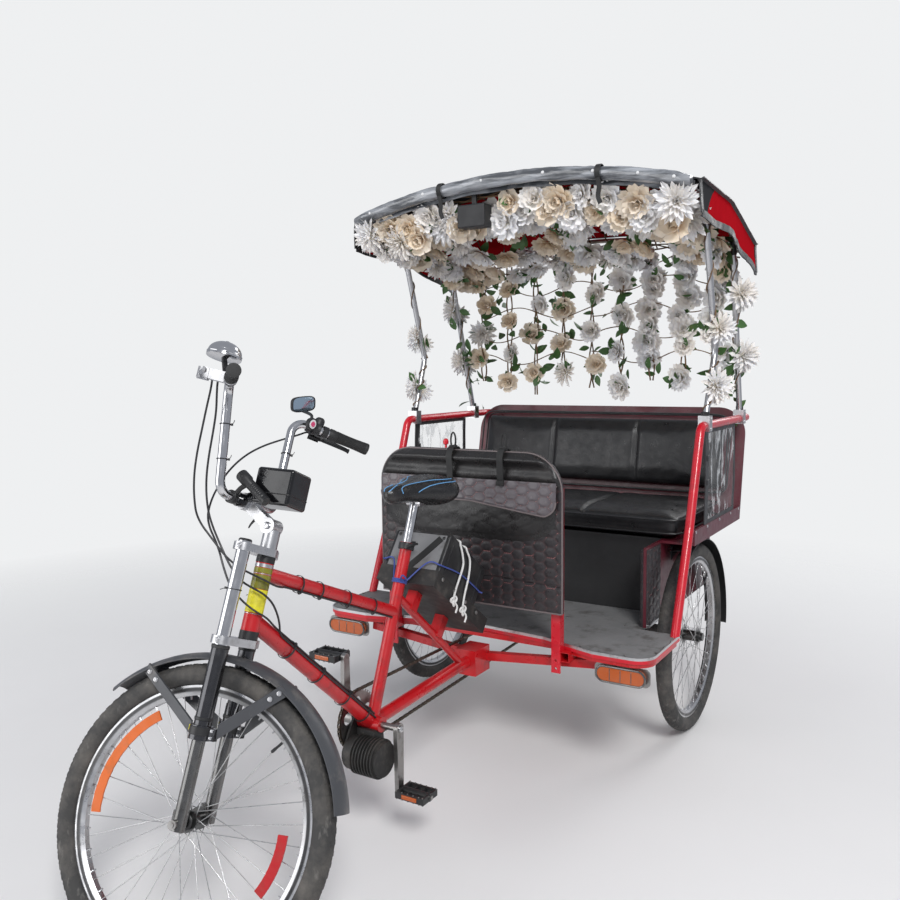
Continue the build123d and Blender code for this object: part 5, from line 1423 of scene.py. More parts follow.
def build_case_details():
    """Seams, corner caps, handle and end plate of the battery case, and the tray's bolts."""
    along = (on_case(0, 1, 0) - on_case(0, 0, 0)).normalized()
    above = (on_case(0, 0, 1) - on_case(0, 0, 0)).normalized()
    left, trim, plate = X_AXIS, Parts(), Parts()
    for y in (-100.0, 96.0):
        trim.tube([on_case(x, y, z) for x, z in squared_outline(98.6, 85.4, 0.10, 0.18, 64)], 0.0016, 6, True)
    plate.slab(on_case(0, -125.8, 6.0), left * 0.086, along * 0.0012, above * 0.070, 0.002)
    cap = [(0, 0.0052), (0.0010, 0.0052), (0.0022, 0.0036), (0.0024, 0.0008)]
    for x in (-78.0, 78.0):
        for z in (-58.0, 66.0):
            trim.lathe(on_case(x, -127.0, z), -along, cap, 14)
    handle = ((-40, 86), (-38, 98), (-26, 103), (26, 103), (38, 98), (40, 86))
    trim.bend([on_case(x, -60, z) for x, z in handle], 24, 0.0050, 10)
    trim.piece("case_trim", "black", "vehicle", "black_plastic")
    plate.piece("case_end_plate", "end_plate", "vehicle", "grey_plastic")
    bolt = screw_template("tray_bolt", 0.0060, "steel")
    places = []
    for side in (-1, 1):
        for y in (-100.0, -20.0, 60.0, 140.0):
            places.append((on_case(side * 101.6, y, -52.0), aim(left * side), 1.0))
    scatter("tray_bolts", bolt, places, "steel", "vehicle")
    discard(bolt)


def build_case_cords():
    """Two knotted white strands, and a blue cord from the seat tube round the battery case."""
    white, blue, strap = Parts(), Parts(), Parts()
    for route in (
        ((-70, -74, 88), (30, -73, 90), (92, -72, 88), (101, -66, 76), (104, -38, 52), (104, -20, 26),
         (104, -18, -40), (108, -20, -78)),
        ((-70, -36, 88), (30, -36, 90), (92, -34, 88), (102, -22, 78), (104, 8, 60), (104, 28, 20),
         (105, 38, -40), (108, 46, -80)),
    ):
        white.bend([on_case(*spot) for spot in route], 48, 0.0033, 8)
        knot = on_case(route[-1][0] + 3, route[-1][1], route[-1][2] - 4)
        size, loops = 0.0052, []
        for t in turns(60):
            y, z = math.sin(t) + 2 * math.sin(2 * t), math.cos(t) - 2 * math.cos(2 * t)
            loops.append(knot + Vector((0.0022 * math.sin(3 * t), size * y, size * z)))
        white.tube(loops, 0.0031, 8, True)
        end = [knot + Vector(step) for step in ((0, 0, 0), (0.004, 0.012, -0.020), (0.002, 0.006, -0.038))]
        white.bend(end, 8, 0.0029, 8)
    white.piece("case_strands", "white", "vehicle", "white_cord")
    knot = at(20.0, 783.0, 694.0)
    ring = [(60, -140, -22), (97, -131, -21), (101.5, -124, -20), (102.5, -16, 4), (101.5, 118, 10),
            (98, 127, 10), (0, 130, 6), (-98, 127, 6), (-101.5, 118, 4), (-102, -16, 0),
            (-101.5, -124, -20), (-97, -131, -21), (-60, -140, -22)]
    blue.bend([knot] + [on_case(*spot) for spot in ring] + [at(-20.0, 783.0, 694.0)], 120, 0.0023, 8)
    slope = Vector((0, 186.0, 474.0)).normalized()
    for height in (-0.004, 0.0, 0.004):
        centre = at(0, 783.0, 694.0) + slope * height
        blue.tube(hoop(centre, X_AXIS, slope.cross(X_AXIS), 0.0205, 32), 0.0023, 7, True)
    bow = ((0, 0, 0), (0.012, -0.012, 0.012), (0.006, -0.022, 0.024), (-0.004, -0.016, 0.008), (0, 0, 0))
    blue.bend([knot + Vector(spot) for spot in bow], 20, 0.0022, 7)
    blue.piece("case_blue_cord", "blue", "vehicle", "blue_cord")
    route = ((70.0, 64.0), (30.0, 10.0), (-10.0, -40.0), (-34.0, -66.0))
    strap.take(*ribbon([on_case(x, -128.6, z) for x, z in route], X_AXIS, 0.011, 0.0009))
    strap.piece("case_strap", "rubber", "vehicle", "black_strap", turned=True)


# Cables

def smoothed(route):
    """A polyline with its corners cut three times."""
    for _ in range(3):
        cut = [route[0]]
        for start, end in zip(route, route[1:]):
            cut += [start.lerp(end, 0.25), start.lerp(end, 0.75)]
        route = cut + [route[-1]]
    return route


TOP_TUBE = (PIVOT + STEER_AXIS * 0.554, at(0, 750.6, 611.0), 0.0203)
DOWN_TUBE = (PIVOT + STEER_AXIS * 0.444, at(0, BRACKET_Y, BRACKET_Z), 0.0228)


def beside(tube, along, tilt):
    """A cable's place on a frame tube: millimetres along it, and degrees from above to the left."""
    start, end, reach = tube
    run, turn = (end - start).normalized(), math.radians(tilt)
    out = Vector((0, -run.z, run.y)) * math.cos(turn) + X_AXIS * math.sin(turn)
    return start + run * along / 1000 + out * reach


def build_cables():
    """Control cables from the levers to the frame, and the ties on the frame."""
    lever = ((136.8, 38, -2), (160, 39.5, -6), (180, 37, -24))
    gear = ((136.8, 26, -6), (158, 26, -14), (176, 22, -34))
    cables = Parts()
    for side, grip, loop, gap, bend, ends in (
        (1, lever, ((165, -140, 900), (148, -152, 852), (136, -160, 800), (124, -163, 748), (108, -161, 698),
                    (90, -152, 650)),
         ((46, -118, 606), (42, -82, 576), (37, -44, 556), (35, -8, 546), (31, 24, 538)),
         ((32, 236, 802), (26, 264, 792)), (TOP_TUBE, 150, 75, 105)),
        (1, gear, ((150, -122, 896), (136, -128, 846), (124, -134, 796), (112, -136, 746), (98, -132, 698),
                   (80, -122, 652)),
         ((40, -96, 592), (40, -62, 552), (37, -30, 526), (37, 0, 516), (33, 28, 508)),
         ((36, 218, 770), (31, 239, 740), (26, 253, 709)), (DOWN_TUBE, 66, 85, 115)),
        (-1, lever, ((-158, -150, 915), (-116, -172, 884), (-72, -184, 846), (-32, -188, 800), (2, -184, 750),
                     (30, -174, 700), (46, -158, 652)),
         ((30, -112, 596), (32, -84, 548), (36, -52, 506), (37, -12, 480), (32, 22, 464)),
         ((31, 206, 734), (26, 234, 706)), (DOWN_TUBE, 37, 80, 110)),
    ):
        tube, tilt, *alongs = ends
        route = [by_grip(side, *spot) for spot in grip] + [on_bar(*spot) for spot in loop]
        route += [on_fork(*spot) for spot in gap] + [at(*spot) for spot in bend]
        route += [beside(tube, along, tilt) for along in alongs]
        cables.tube(smoothed(route), 0.0025, 10)
    cables = cables.object("control_cable_loops", "cable")
    smooth(cables)
    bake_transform(cables)
    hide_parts("control_cables")
    ties = Parts()
    for tube, tilt, alongs in ((TOP_TUBE, 150, (130, 210, 330, 450)), (DOWN_TUBE, 52, (150, 290, 430, 540))):
        start, end, _ = tube
        run = (end - start).normalized()
        for along in alongs:
            middle, out = start + run * along / 1000, beside(tube, along, tilt) - start - run * along / 1000
            side = run.cross(out)
            swell = [1.0 + 0.16 * max(0.0, math.cos(t)) ** 3 for t in turns(32)]
            ring = [middle + (out * math.cos(t) + side * math.sin(t)) * grown
                    for t, grown in zip(turns(32), swell)]
            ties.take(*ribbon(ring + ring[:1], run, 0.0024, 0.0006))
            ties.slab(middle + out * 1.2, out.normalized() * 0.0028, side.normalized() * 0.0035,
                      run * 0.0028, 0.0006)
    ties.piece("frame_ties", "plastic", "vehicle", "black_plastic", turned=True)


# Front panel

# Sine of 60 degrees, for six-sided cells
HEXAGON = 0.8660254
PANEL_FRONT, PANEL_BACK = 1166.0, 1182.0
PANEL_HALF, PANEL_LOW, PANEL_TOP, PANEL_TURN = 337.0, 545.0, 1042.0, 120.0
BAND_FOOT, SEAM_HEIGHT = 950.0, 640.0


def panel_half(z):
    """Half width of the panel at a height, with its round upper corners."""
    if z <= PANEL_TOP - PANEL_TURN:
        return PANEL_HALF
    rise = min(PANEL_TURN, z - (PANEL_TOP - PANEL_TURN))
    return PANEL_HALF - PANEL_TURN + math.sqrt(max(0.0, PANEL_TURN ** 2 - rise ** 2))


def quilt_height(u, v, settings):
    """Height of the quilt at a place in millimetres, and how near it is to a seam, from 0 to 1."""
    u, v = u / settings.pitch / 1000, v / settings.cell / 1000
    nearest = 1.0
    for shift_u, shift_v in ((0.0, 0.0), (1.0, 0.5)):
        a = v - shift_v - round(v - shift_v)
        b = (u - shift_u - 2.0 * round((u - shift_u) / 2.0)) * HEXAGON
        nearest = min(nearest, max(abs(a), 0.5 * abs(a) + HEXAGON * abs(b)))
    field = max(0.0, 1.0 - 2.0 * nearest)
    return 1000 * settings.puff * math.sqrt(min(1.0, field * 2.4)), 1.0 - min(1.0, field * 6.0)


def sew(name, settings, bounds, inside, skin, across, proud):
    """Stitches along the quilt's seams where inside is true; skin gives the face at a place."""
    high, pitch = settings.cell * 1000, settings.pitch * 1000
    corners = [Vector((a * pitch, b * high))
               for a, b in ((2 / 3, 0), (1 / 3, 0.5), (-1 / 3, 0.5), (-2 / 3, 0))]
    low_u, top_u, low_v, top_v = bounds
    places = []
    for j in range(math.floor(low_u / pitch), math.ceil(top_u / pitch) + 1):
        for i in range(math.floor(low_v / high) - 1, math.ceil(top_v / high) + 1):
            centre = Vector((j * pitch, (i + 0.5 * (j % 2)) * high))
            for start, end in zip(corners, corners[1:]):
                count = max(2, round((end - start).length / 6.4))
                run = across * (end - start).x + Vector((0, 0, (end - start).y))
                run = run.to_track_quat("X", "Z").to_euler()
                for k in range(count):
                    spot = centre + start.lerp(end, (k + 0.5) / count)
                    if inside(spot.x, spot.y):
                        places.append((skin(spot.x, spot.y)[0] + proud, run, 1.0))
    profile = [(0, 0.0003), (0.0008, 0.0009), (0.0044, 0.0009), (0.0052, 0.0003)]
    stitch = Parts().lathe((-0.0026, 0, 0), X_AXIS, profile, 4).object("stitch", "thread")
    scatter(name, stitch, places, "thread", "vehicle")
    discard(stitch)


def quilted(name, grid, skin, finish, nodes=()):
    """A padded piece over rows of places; skin gives its front, its back and how near a seam is."""
    spots = [skin(*spot) for row in grid for spot in row]
    shell = slab_between([s[0] for s in spots], [s[1] for s in spots], len(grid), len(grid[0]))
    piece = shell.object(name, finish)
    fix_normals(piece)
    layer = piece.data.attributes.new("seam", "FLOAT", "POINT")
    layer.data.foreach_set("value", np.array([s[2] for s in spots] + [0.0] * len(spots), np.float32))
    finish_piece(piece, "vehicle", nodes, 60.0)


def slab_between(front, back, rows, columns):
    """A closed thin body from two grids of points, front and back."""
    points = front + back
    base = rows * columns
    faces = grid_faces(rows, columns)
    faces += [tuple(base + i for i in face)[::-1] for face in grid_faces(rows, columns)]
    edge = [(0, j) for j in range(columns)] + [(i, columns - 1) for i in range(1, rows)]
    edge += [(rows - 1, j) for j in range(columns - 2, -1, -1)] + [(i, 0) for i in range(rows - 2, 0, -1)]
    loop = [i * columns + j for i, j in edge]
    for a, b in zip(loop, loop[1:] + loop[:1]):
        faces.append((b, a, base + a, base + b))
    return Parts().take(points, faces)


FLAP_HALF, FLAP_TURN, FLAP_OFFSET = 325.0, 46.0, 11.0
POCKET_HALF, POCKET_FOOT, POCKET_TOP = 318.0, 758.0, 934.0


def flap_foot(x):
    """Lower edge of the flap at a distance across the panel, with its round corners."""
    over = min(FLAP_TURN, max(0.0, abs(x) - FLAP_HALF + FLAP_TURN))
    fall = 34.0 * min(1.0, max(0.0, abs(x) - 30.0) / 260.0)
    return 884.0 - fall + FLAP_TURN - math.sqrt(FLAP_TURN ** 2 - over ** 2)


def flap_rise(x, z):
    """How far the flap's lining side stands in front of the panel."""
    share = max(0.0, min(1.0, (BAND_FOOT + 4.0 - z) / 100.0))
    return 17.0 + 12.0 * math.sin(math.pi / 2 * share) * (1 - (x / 360.0) ** 4)


def build_panel(settings):
    """The quilted panel, its rolled top band, a sagging pocket under a quilted flap, piping and straps."""
    FINISH["quilt"] = quilt_finish("quilted_vinyl", settings.vinyl, 0.34)
    # The flap is the panel's vinyl four times lighter: a painted sheen for the reflections off its shiny
    # face.
    FINISH["flap"] = quilt_finish("shiny_quilt", tuple(min(1.0, c * 4.0) for c in settings.vinyl), 0.17)
    FINISH["thread"] = plain("quilt_thread", settings.thread, 0.6, 0.0, 900, 0.3, 0.2, 0.0,
                             (0.10, 0.07, 0.07, 0.4))
    FINISH["plain_vinyl"] = vinyl_finish("plain_vinyl", (0.016, 0.015, 0.015), 0.30, 0.5)

    def panel_skin(x, z):
        puff, seam = quilt_height(x, z, settings)
        edge = max(0.0, min(1.0, (panel_half(z) - abs(x)) / 14.0, (z - PANEL_LOW) / 14.0))
        away = z - SEAM_HEIGHT + 0.05 * abs(x - 90)
        join = math.exp(-(away / 5.0) ** 2)
        sag = 10.0 * math.exp(-((away - 26.0) / 26.0) ** 2) * (0.6 + 0.4 * math.cos(x / 90.0))
        y = PANEL_FRONT - puff * edge ** 0.5 * (1 - join) - sag * edge + 3.0 * join
        return at(x, y, z), at(x, PANEL_BACK, z), seam

    heights = np.linspace(PANEL_LOW, PANEL_TOP - 1.0, 120)
    grid = [[(panel_half(z) * across, z) for across in np.linspace(-1, 1, 162)] for z in heights]
    quilted("quilted_panel", grid, panel_skin, "quilt", ["front_panel"])
    proud = Vector((0, -0.0004, 0))
    sew("panel_stitches", settings, (-340, 340, PANEL_LOW, BAND_FOOT),
        lambda x, z: (abs(x) < panel_half(z) - 9.0 and PANEL_LOW + 8 < z < BAND_FOOT
                      and abs(z - SEAM_HEIGHT) > 6.0),
        panel_skin, X_AXIS, proud)

    def band_skin(x, z):
        half = panel_half(min(z, PANEL_TOP - 0.5))
        share = (z - BAND_FOOT + 8.0) / (PANEL_TOP - BAND_FOOT + 11.0)
        roll = 22.0 * math.exp(-((z - 1020.0) / 17.0) ** 2) + 7.0 * math.exp(-((z - 968.0) / 14.0) ** 2) + 4.0
        fall = max(0.0, min(1.0, (half - abs(x)) / 16.0)) ** 0.5
        crease = (1.6 * noise.noise(Vector((x * 0.018, z * 0.05, 3.0)))
                  + 0.8 * noise.noise(Vector((x * 0.06, z * 0.09, 9.0))))
        return (at(x, PANEL_FRONT - 3.0 - (roll + crease) * fall * (1 - share ** 14), z),
                at(x, PANEL_BACK + 1.0 if share > 0.9 else PANEL_FRONT - 1.0, z), 0.0)

    heights = np.linspace(BAND_FOOT - 8.0, PANEL_TOP + 3.0, 22)
    grid = [[(panel_half(min(z, PANEL_TOP - 0.5)) * across, z) for across in np.linspace(-1, 1, 90)]
            for z in heights]
    quilted("panel_top_band", grid, band_skin, "plain_vinyl")

    def flap_skin(x, z):
        puff, seam = quilt_height(x + FLAP_OFFSET, z, settings)
        edge = max(0.0, min(1.0, (FLAP_HALF - abs(x)) / 8.0, (z - flap_foot(x)) / 8.0))
        rise = flap_rise(x, z)
        return at(x, PANEL_FRONT - rise - puff * edge, z), at(x, PANEL_FRONT - rise + 4.0, z), seam

    grid = [[(x, flap_foot(x) + (BAND_FOOT + 4.0 - flap_foot(x)) * share)
             for x in np.linspace(-FLAP_HALF, FLAP_HALF, 180)]
            for share in np.linspace(0, 1, 34)]
    quilted("pouch_flap", grid, flap_skin, "flap")
    sew("flap_stitches", settings, (-320, 330, 840, BAND_FOOT),
        lambda u, z: (abs(u - FLAP_OFFSET) < FLAP_HALF - 8.0
                      and flap_foot(u - FLAP_OFFSET) + 8.0 < z < BAND_FOOT - 4.0),
        lambda u, z: flap_skin(u - FLAP_OFFSET, z), X_AXIS, proud)

    def pocket_foot(x):
        return POCKET_FOOT + 52.0 * (abs(x) / POCKET_HALF) ** 6

    def pocket_skin(x, z):
        share = (z - pocket_foot(x)) / (POCKET_TOP - pocket_foot(x))
        side = max(0.0, 1 - abs(x / POCKET_HALF) ** 5)
        puff, seam = quilt_height(x, z, settings)
        crease = (2.0 * noise.noise(Vector((x * 0.012, z * 0.022, 5.0)))
                  + 1.0 * noise.noise(Vector((x * 0.045, z * 0.03, 1.0))))
        swell = 8.0 + 11.0 * math.sin(math.pi * (0.08 + 0.62 * share)) ** 0.8
        belly = swell * side ** 0.5 + (crease + 0.25 * puff) * side
        depth = max(1.0, min(20.0, belly * min(1.0, 0.15 + share * 7.0)))
        return at(x, PANEL_FRONT - 1.0 - depth, z), at(x, PANEL_FRONT + 1.0, z), seam

    grid = [[(x, pocket_foot(x) + (POCKET_TOP - pocket_foot(x)) * share)
             for x in np.linspace(-POCKET_HALF, POCKET_HALF, 110)]
            for share in np.linspace(0, 1, 40)]
    quilted("pouch_pocket", grid, pocket_skin, "plain_vinyl", ["panel_pouch"])

    piping = Parts()
    outline = [at(PANEL_HALF, PANEL_FRONT + 2.0, z)
               for z in np.linspace(PANEL_LOW, PANEL_TOP - PANEL_TURN, 18)]
    for t in np.linspace(0, math.pi / 2, 16)[1:]:
        outline.append(at(PANEL_HALF - PANEL_TURN + PANEL_TURN * math.cos(t),
                          PANEL_FRONT + 2.0 - 6.0 * math.sin(t),
                          PANEL_TOP - PANEL_TURN + PANEL_TURN * math.sin(t)))
    piping.tube(outline + [Vector((-p.x, p.y, p.z)) for p in reversed(outline)], 0.0030, 8)
    piping.tube([at(x, PANEL_FRONT - 12.0, BAND_FOOT - 6.0) for x in np.linspace(-326, 326, 50)], 0.0022, 7)
    piping.tube([at(x, PANEL_FRONT - flap_rise(x, flap_foot(x)) + 1.0, flap_foot(x))
                 for x in FLAP_HALF * np.sin(np.linspace(-1.57, 1.57, 110))], 0.0028, 8)
    piping.tube([at(x, PANEL_FRONT - 1.0, PANEL_LOW + 1.0) for x in np.linspace(-336, 336, 40)], 0.0028, 8)
    piping.piece("panel_piping", "piping", "vehicle", "piping")
    build_panel_straps()


def build_panel_straps():
    """Two rubber straps over the top band, each with a loop above it, and a small red knob."""
    straps = Parts()
    for x in (-45.0, 140.0):
        route = ((1141.0, 944.0), (1138.0, 962.0), (1136.0, 1000.0), (1134.0, 1026.0), (1146.0, 1049.0),
                 (1168.0, 1052.0), (1188.0, 1044.0), (1190.0, 1010.0))
        path, rows = spline([at(x, y, z) for y, z in route], 30), []
        for point, (tangent, _, _) in zip(path, frames_along(path)):
            out = tangent.cross(X_AXIS)
            for dx, dy in ((-0.011, -0.0018), (0.011, -0.0018), (0.011, 0.0018), (-0.011, 0.0018)):
                rows.append(point + Vector((dx, 0, 0)) + out * dy)
        straps.take(rows, capped_faces(len(path), 4))
        loop = [at(x + 9.0 * math.cos(t), 1162.0, 1073.0 + 25.0 * math.sin(t)) for t in turns(32)]
        straps.tube(loop, 0.0030, 8, True)
        straps.block(at(x, 1162.0, 1052.0), (0.012, 0.007, 0.006), 0.002)
        straps.block(at(x, 1137.0, 946.0), (0.013, 0.004, 0.008), 0.002)
    straps.piece("panel_straps", "rubber", "vehicle", "black_rubber", turned=True)
    profile = [(0, 0.004), (0.010, 0.004), (0.012, 0.0085), (0.020, 0.0095), (0.027, 0.0075), (0.030, 0.003)]
    knob = Parts().lathe(at(-72.0, 1160.0, 1048.0), Z_AXIS, profile, 20)
    knob.piece("panel_knob", "bright_red", "vehicle", "rail_red")


# Side linings, floor and body trim

# Ends and bends of the left side's poles, in the source's millimetres
FRONT_FOOT, FRONT_KNEE = Vector((602.0, 1768.0, 1121.0)), Vector((608.0, 1858.0, 1352.0))
FRONT_TOP = Vector((609.7, 1694.0, 1864.0))
REAR_FOOT, REAR_TOP = Vector((602.0, 2252.0, 1121.0)), Vector((609.7, 2062.0, 1794.0))


LINING_FOOT, LINING_TOP = 441.0, 700.0


def build_linings(settings):
    """Quilted linings on both faces of the walls beside the legroom, with a metal strip at the foot."""
    strip = Parts()
    for side, label in ((-1, "right"), (1, "left")):
        for face, back, start, end, place in ((470.5, 479.4, 1500.5, 1688.5, "inner"),
                                              (491.8, 490.3, 1501.0, 1640.0, "outer")):
            def skin(y, z):
                puff, seam = quilt_height(y, z, settings)
                inside = min(z - LINING_FOOT, LINING_TOP - z, y - start, end - y) / 8
                edge = max(0.0, min(1.0, inside)) ** 0.5
                outer = face + math.copysign(puff * edge, face - back)
                return at(side * outer, y, z), at(side * back, y, z), seam

            grid = [[(y, z) for y in np.linspace(start, end, 46)]
                    for z in np.linspace(LINING_FOOT, LINING_TOP, 64)]
            node = ["side_linings"] if side > 0 and place == "inner" else ()
            quilted(f"{place}_lining_{label}", grid, skin, "quilt", node)
            proud = Vector((side * math.copysign(0.0004, face - back), 0, 0))
            sew(f"{place}_lining_stitches_{label}", settings, (start, end, LINING_FOOT, LINING_TOP),
                lambda y, z: start + 6 < y < end - 6 and LINING_FOOT + 7 < z < LINING_TOP - 6,
                skin, Y_AXIS, proud)
        strip.block(at(side * 496.0, 1571.0, 446.0), (0.0050, 0.072, 0.0050), 0.0012)
    strip.piece("lining_strips", "alloy", "vehicle", "alloy")


LAMP_X, LAMP_Z = 520.0, 378.0


def build_floor_details():
    """Screws of the floor's metal edging, caps of the frame's open tubes, and the marker lamps' rims."""
    screw = screw_template("edge_screw", 0.0042, "steel")
    places = []
    for side in (-1, 1):
        for x, y in ((300.0, 1226.0), (380.0, 1201.0), (450.0, 1184.5), (530.0, 1184.5), (604.0, 1262.0),
                     (608.0, 1330.0), (608.0, 1400.0), (608.0, 1455.0)):
            places.append((at(side * x, y + 8.0 if x < 540 else y, 441.0), aim((0, 0, 1)), 1.0))
    for x in (-420.0, -210.0, 0.0, 210.0, 420.0):
        places.append((at(x, 1495.0, 440.2), aim((0, 0, 1)), 1.0))
    scatter("floor_screws", screw, places, "steel", "vehicle")
    places = []
    for side in (-1, 1):
        for x in (LAMP_X - 66.0, LAMP_X + 66.0):
            places.append((at(side * x, 1198.5, LAMP_Z), aim((0, -1, 0)), 0.9))
        for y in (1660.0, 1800.0, 1960.0, 2120.0, 2240.0):
            places.append((at(side * 606.2, y, 745.0), aim((side, 0, 0)), 1.2))
        for foot in (FRONT_FOOT, REAR_FOOT):
            for z in (1088.0, 1124.0):
                places.append((at(side * 622.2, foot.y, z), aim((side, 0, 0)), 1.5))
    scatter("body_screws", screw, places, "alloy", "vehicle")
    discard(screw)
    rims = Parts()
    for side in (-1, 1):
        ring = []
        for t in turns(56):
            x = 53.0 * (1 if math.cos(t) > 0 else -1) + 24.0 * math.cos(t)
            ring.append(at(side * (LAMP_X + x), 1184.5, LAMP_Z + 24.0 * math.sin(t)))
        rims.tube(ring, 0.0035, 8, True)
        for x in (-34.0, 0.0, 34.0):
            rims.block(at(side * (LAMP_X + x), 1183.7, LAMP_Z), (0.0011, 0.0006, 0.018), 0.0003)
    rims.piece("marker_rims", "grey", "vehicle", "worn_grey")
    sleeves = Parts()
    sleeve = [(0.012, 0.0112), (0.013, 0.0138), (0.026, 0.0138), (0.027, 0.0112)]
    for side in (-1, 1):
        for foot, head in ((FRONT_KNEE, FRONT_TOP), (REAR_FOOT, REAR_TOP)):
            low, high = at(side * foot.x, foot.y, foot.z), at(side * head.x, head.y, head.z)
            run = (high - low).normalized()
            sleeves.lathe(high - run * 0.085, run, collar(0.067, 0.0134, 0.0022), 24)
        for foot in (FRONT_FOOT, REAR_FOOT):
            sleeves.lathe(at(side * foot.x, foot.y, foot.z), Z_AXIS, sleeve, 24)
    sleeves.piece("pole_sleeves", "black", "vehicle", "black_plastic")


SEAT_SEAMS = (-0.187, 0.187)


def build_seats(settings):
    """Bench cushion and backrest: swelled by air pressure in a cloth simulation, then seamed and piped."""
    FINISH["cushion"] = vinyl_finish("cushion_vinyl", settings.vinyl, 0.36, 0.25)
    lean = math.radians(12.0)
    back_up = Vector((0, math.sin(lean), math.cos(lean)))
    back_out = Vector((0, -math.cos(lean), math.sin(lean)))
    foot = at(0, 2270.0, 700.0)
    back_centre = foot + back_up * 0.250 + back_out * (0.0103 + 0.039)
    for name, node, centre, y_axis, z_axis, size in (
        ("bench_cushion", "seat_cushion", at(0, 1909.0, 754.3), Y_AXIS, Z_AXIS, (0.560, 0.265, 0.046)),
        ("back_cushion", "seat_backrest", back_centre, back_up, back_out, (0.560, 0.160, 0.039)),
    ):
        pad = swelled_pad(name, size, settings)
        for vertex in pad.data.vertices:
            x, y, z = vertex.co
            groove = sum(math.exp(-((x - seam) / 0.010) ** 2) for seam in SEAT_SEAMS)
            pull = 0.010 * groove * max(0.0, z / size[2])
            top = z - pull
            wrinkle = 0.0012 * noise.noise(Vector((x * 14, y * 14, 2.0))) * (1 if z > 0 else 0)
            vertex.co = centre + X_AXIS * x + y_axis * y + z_axis * (max(-size[2], top) + wrinkle)
        fix_normals(pad)
        pad.data.materials.clear()
        pad.data.materials.append(FINISH["cushion"])
        finish_piece(pad, "vehicle", [node], 80.0)
        piping = Parts()
        outline = squared_outline(size[0] * 0.992, size[1] * 0.985, 0.10, 0.16, 120)
        for level in (0.55, -0.45):
            ring = [centre + X_AXIS * x + y_axis * y + z_axis * size[2] * level for x, y in outline]
            piping.tube(ring, 0.0032, 7, True)
        piping.piece(f"{name}_piping", "cushion", "vehicle", "cushion_vinyl")


def swelled_pad(name, size, settings):
    """A padded box about the origin, in metres."""
    mesh = bmesh.new()
    bmesh.ops.create_cube(mesh, size=2.0)
    inset = 0.012
    for vertex in mesh.verts:
        vertex.co = Vector([c * (s - inset) for c, s in zip(vertex.co, size)])
    bmesh.ops.bevel(mesh, geom=mesh.edges[:], offset=0.020, segments=3, affect="EDGES", profile=0.6)
    data = bpy.data.meshes.new(name)
    mesh.to_mesh(data)
    mesh.free()
    pad = bpy.data.objects.new(name, data)
    bpy.context.scene.collection.objects.link(pad)
    remesh = pad.modifiers.new("remesh", "REMESH")
    remesh.mode, remesh.voxel_size = "VOXEL", 0.013
    apply_modifiers(pad)
    start = np.array([v.co for v in pad.data.vertices])
    cloth = pad.modifiers.new("cloth", "CLOTH")
    cloth.settings.quality = 5
    cloth.settings.mass = 0.4
    cloth.settings.use_pressure = True
    cloth.settings.uniform_pressure_force = settings.pressure
    cloth.settings.effector_weights.gravity = 0.0
    cloth.point_cache.frame_start, cloth.point_cache.frame_end = 1, 20
    for number in range(1, 21):
        bpy.context.scene.frame_set(number)
    apply_modifiers(pad)
    bpy.context.scene.frame_set(1)
    moved = np.array([v.co for v in pad.data.vertices]) - start
    reach = np.linalg.norm(moved, axis=1, keepdims=True)
    moved *= np.minimum(1.0, settings.cap / np.maximum(reach, 1e-9))
    for vertex, origin, step in zip(pad.data.vertices, start, moved):
        vertex.co = origin + step
    for vertex in pad.data.vertices:
        x, y, z = vertex.co
        crown = 0.010 * max(0.0, 1 - (x / size[0]) ** 2) * max(0.0, 1 - (y / size[1]) ** 2)
        z = z + crown if z > 0 else z
        limits = (size[0], size[1], size[2] + 0.008)
        vertex.co = [max(-low, min(high, value)) for low, high, value in zip(size, limits, (x, y, z))]
    subdivide = pad.modifiers.new("smooth", "SUBSURF")
    subdivide.levels = subdivide.render_levels = 1
    apply_modifiers(pad)
    return pad


# Hood

# Each bow's place along the cab, and its height at the sides and in the middle, in millimetres
BOWS = ((1490.0, 1862.0, 1946.0), (1830.0, 1846.0, 1940.0), (2186.0, 1748.0, 1822.0))
BOW_HALF = 630.0
HOOD_FRONT, HOOD_REAR, HOOD_HALF, VALANCE = 1470.0, 2206.0, 660.0, 96.0
HOOD_ROWS = [HOOD_FRONT + (HOOD_REAR - HOOD_FRONT) * i / 55 for i in range(56)]
ROLL_Y = BOWS[0][0] - 20.0 - 23.8


def hood_edge(y):
    """Heights of the hood's frame at its sides and in its middle, at a place along the cab."""
    places = [bow[0] for bow in BOWS]
    return tuple(float(np.interp(y, places, [bow[column] for bow in BOWS])) for column in (1, 2))


def arc_height(half, edge, crown, x):
    """Height at a distance across the cab of an arc that is drawn like a bow."""
    rise = crown - edge
    radius = (rise ** 2 + half ** 2) / (2 * rise)
    return crown - radius + math.sqrt(max(0.0, radius ** 2 - x ** 2))


def under_hood(x, y):
    """Height of the hood's frame at a point."""
    edge, crown = hood_edge(y)
    return arc_height(BOW_HALF, edge, crown, min(abs(x), BOW_HALF))


def through_cloth(x, y, z):
    """Whether a point in millimetres stands above the hood or outside its side falls."""
    edge, _ = hood_edge(y)
    return z > under_hood(x, y) - 12.0 or (abs(x) > BOW_HALF + 2.0 and z > edge - VALANCE - 12.0)


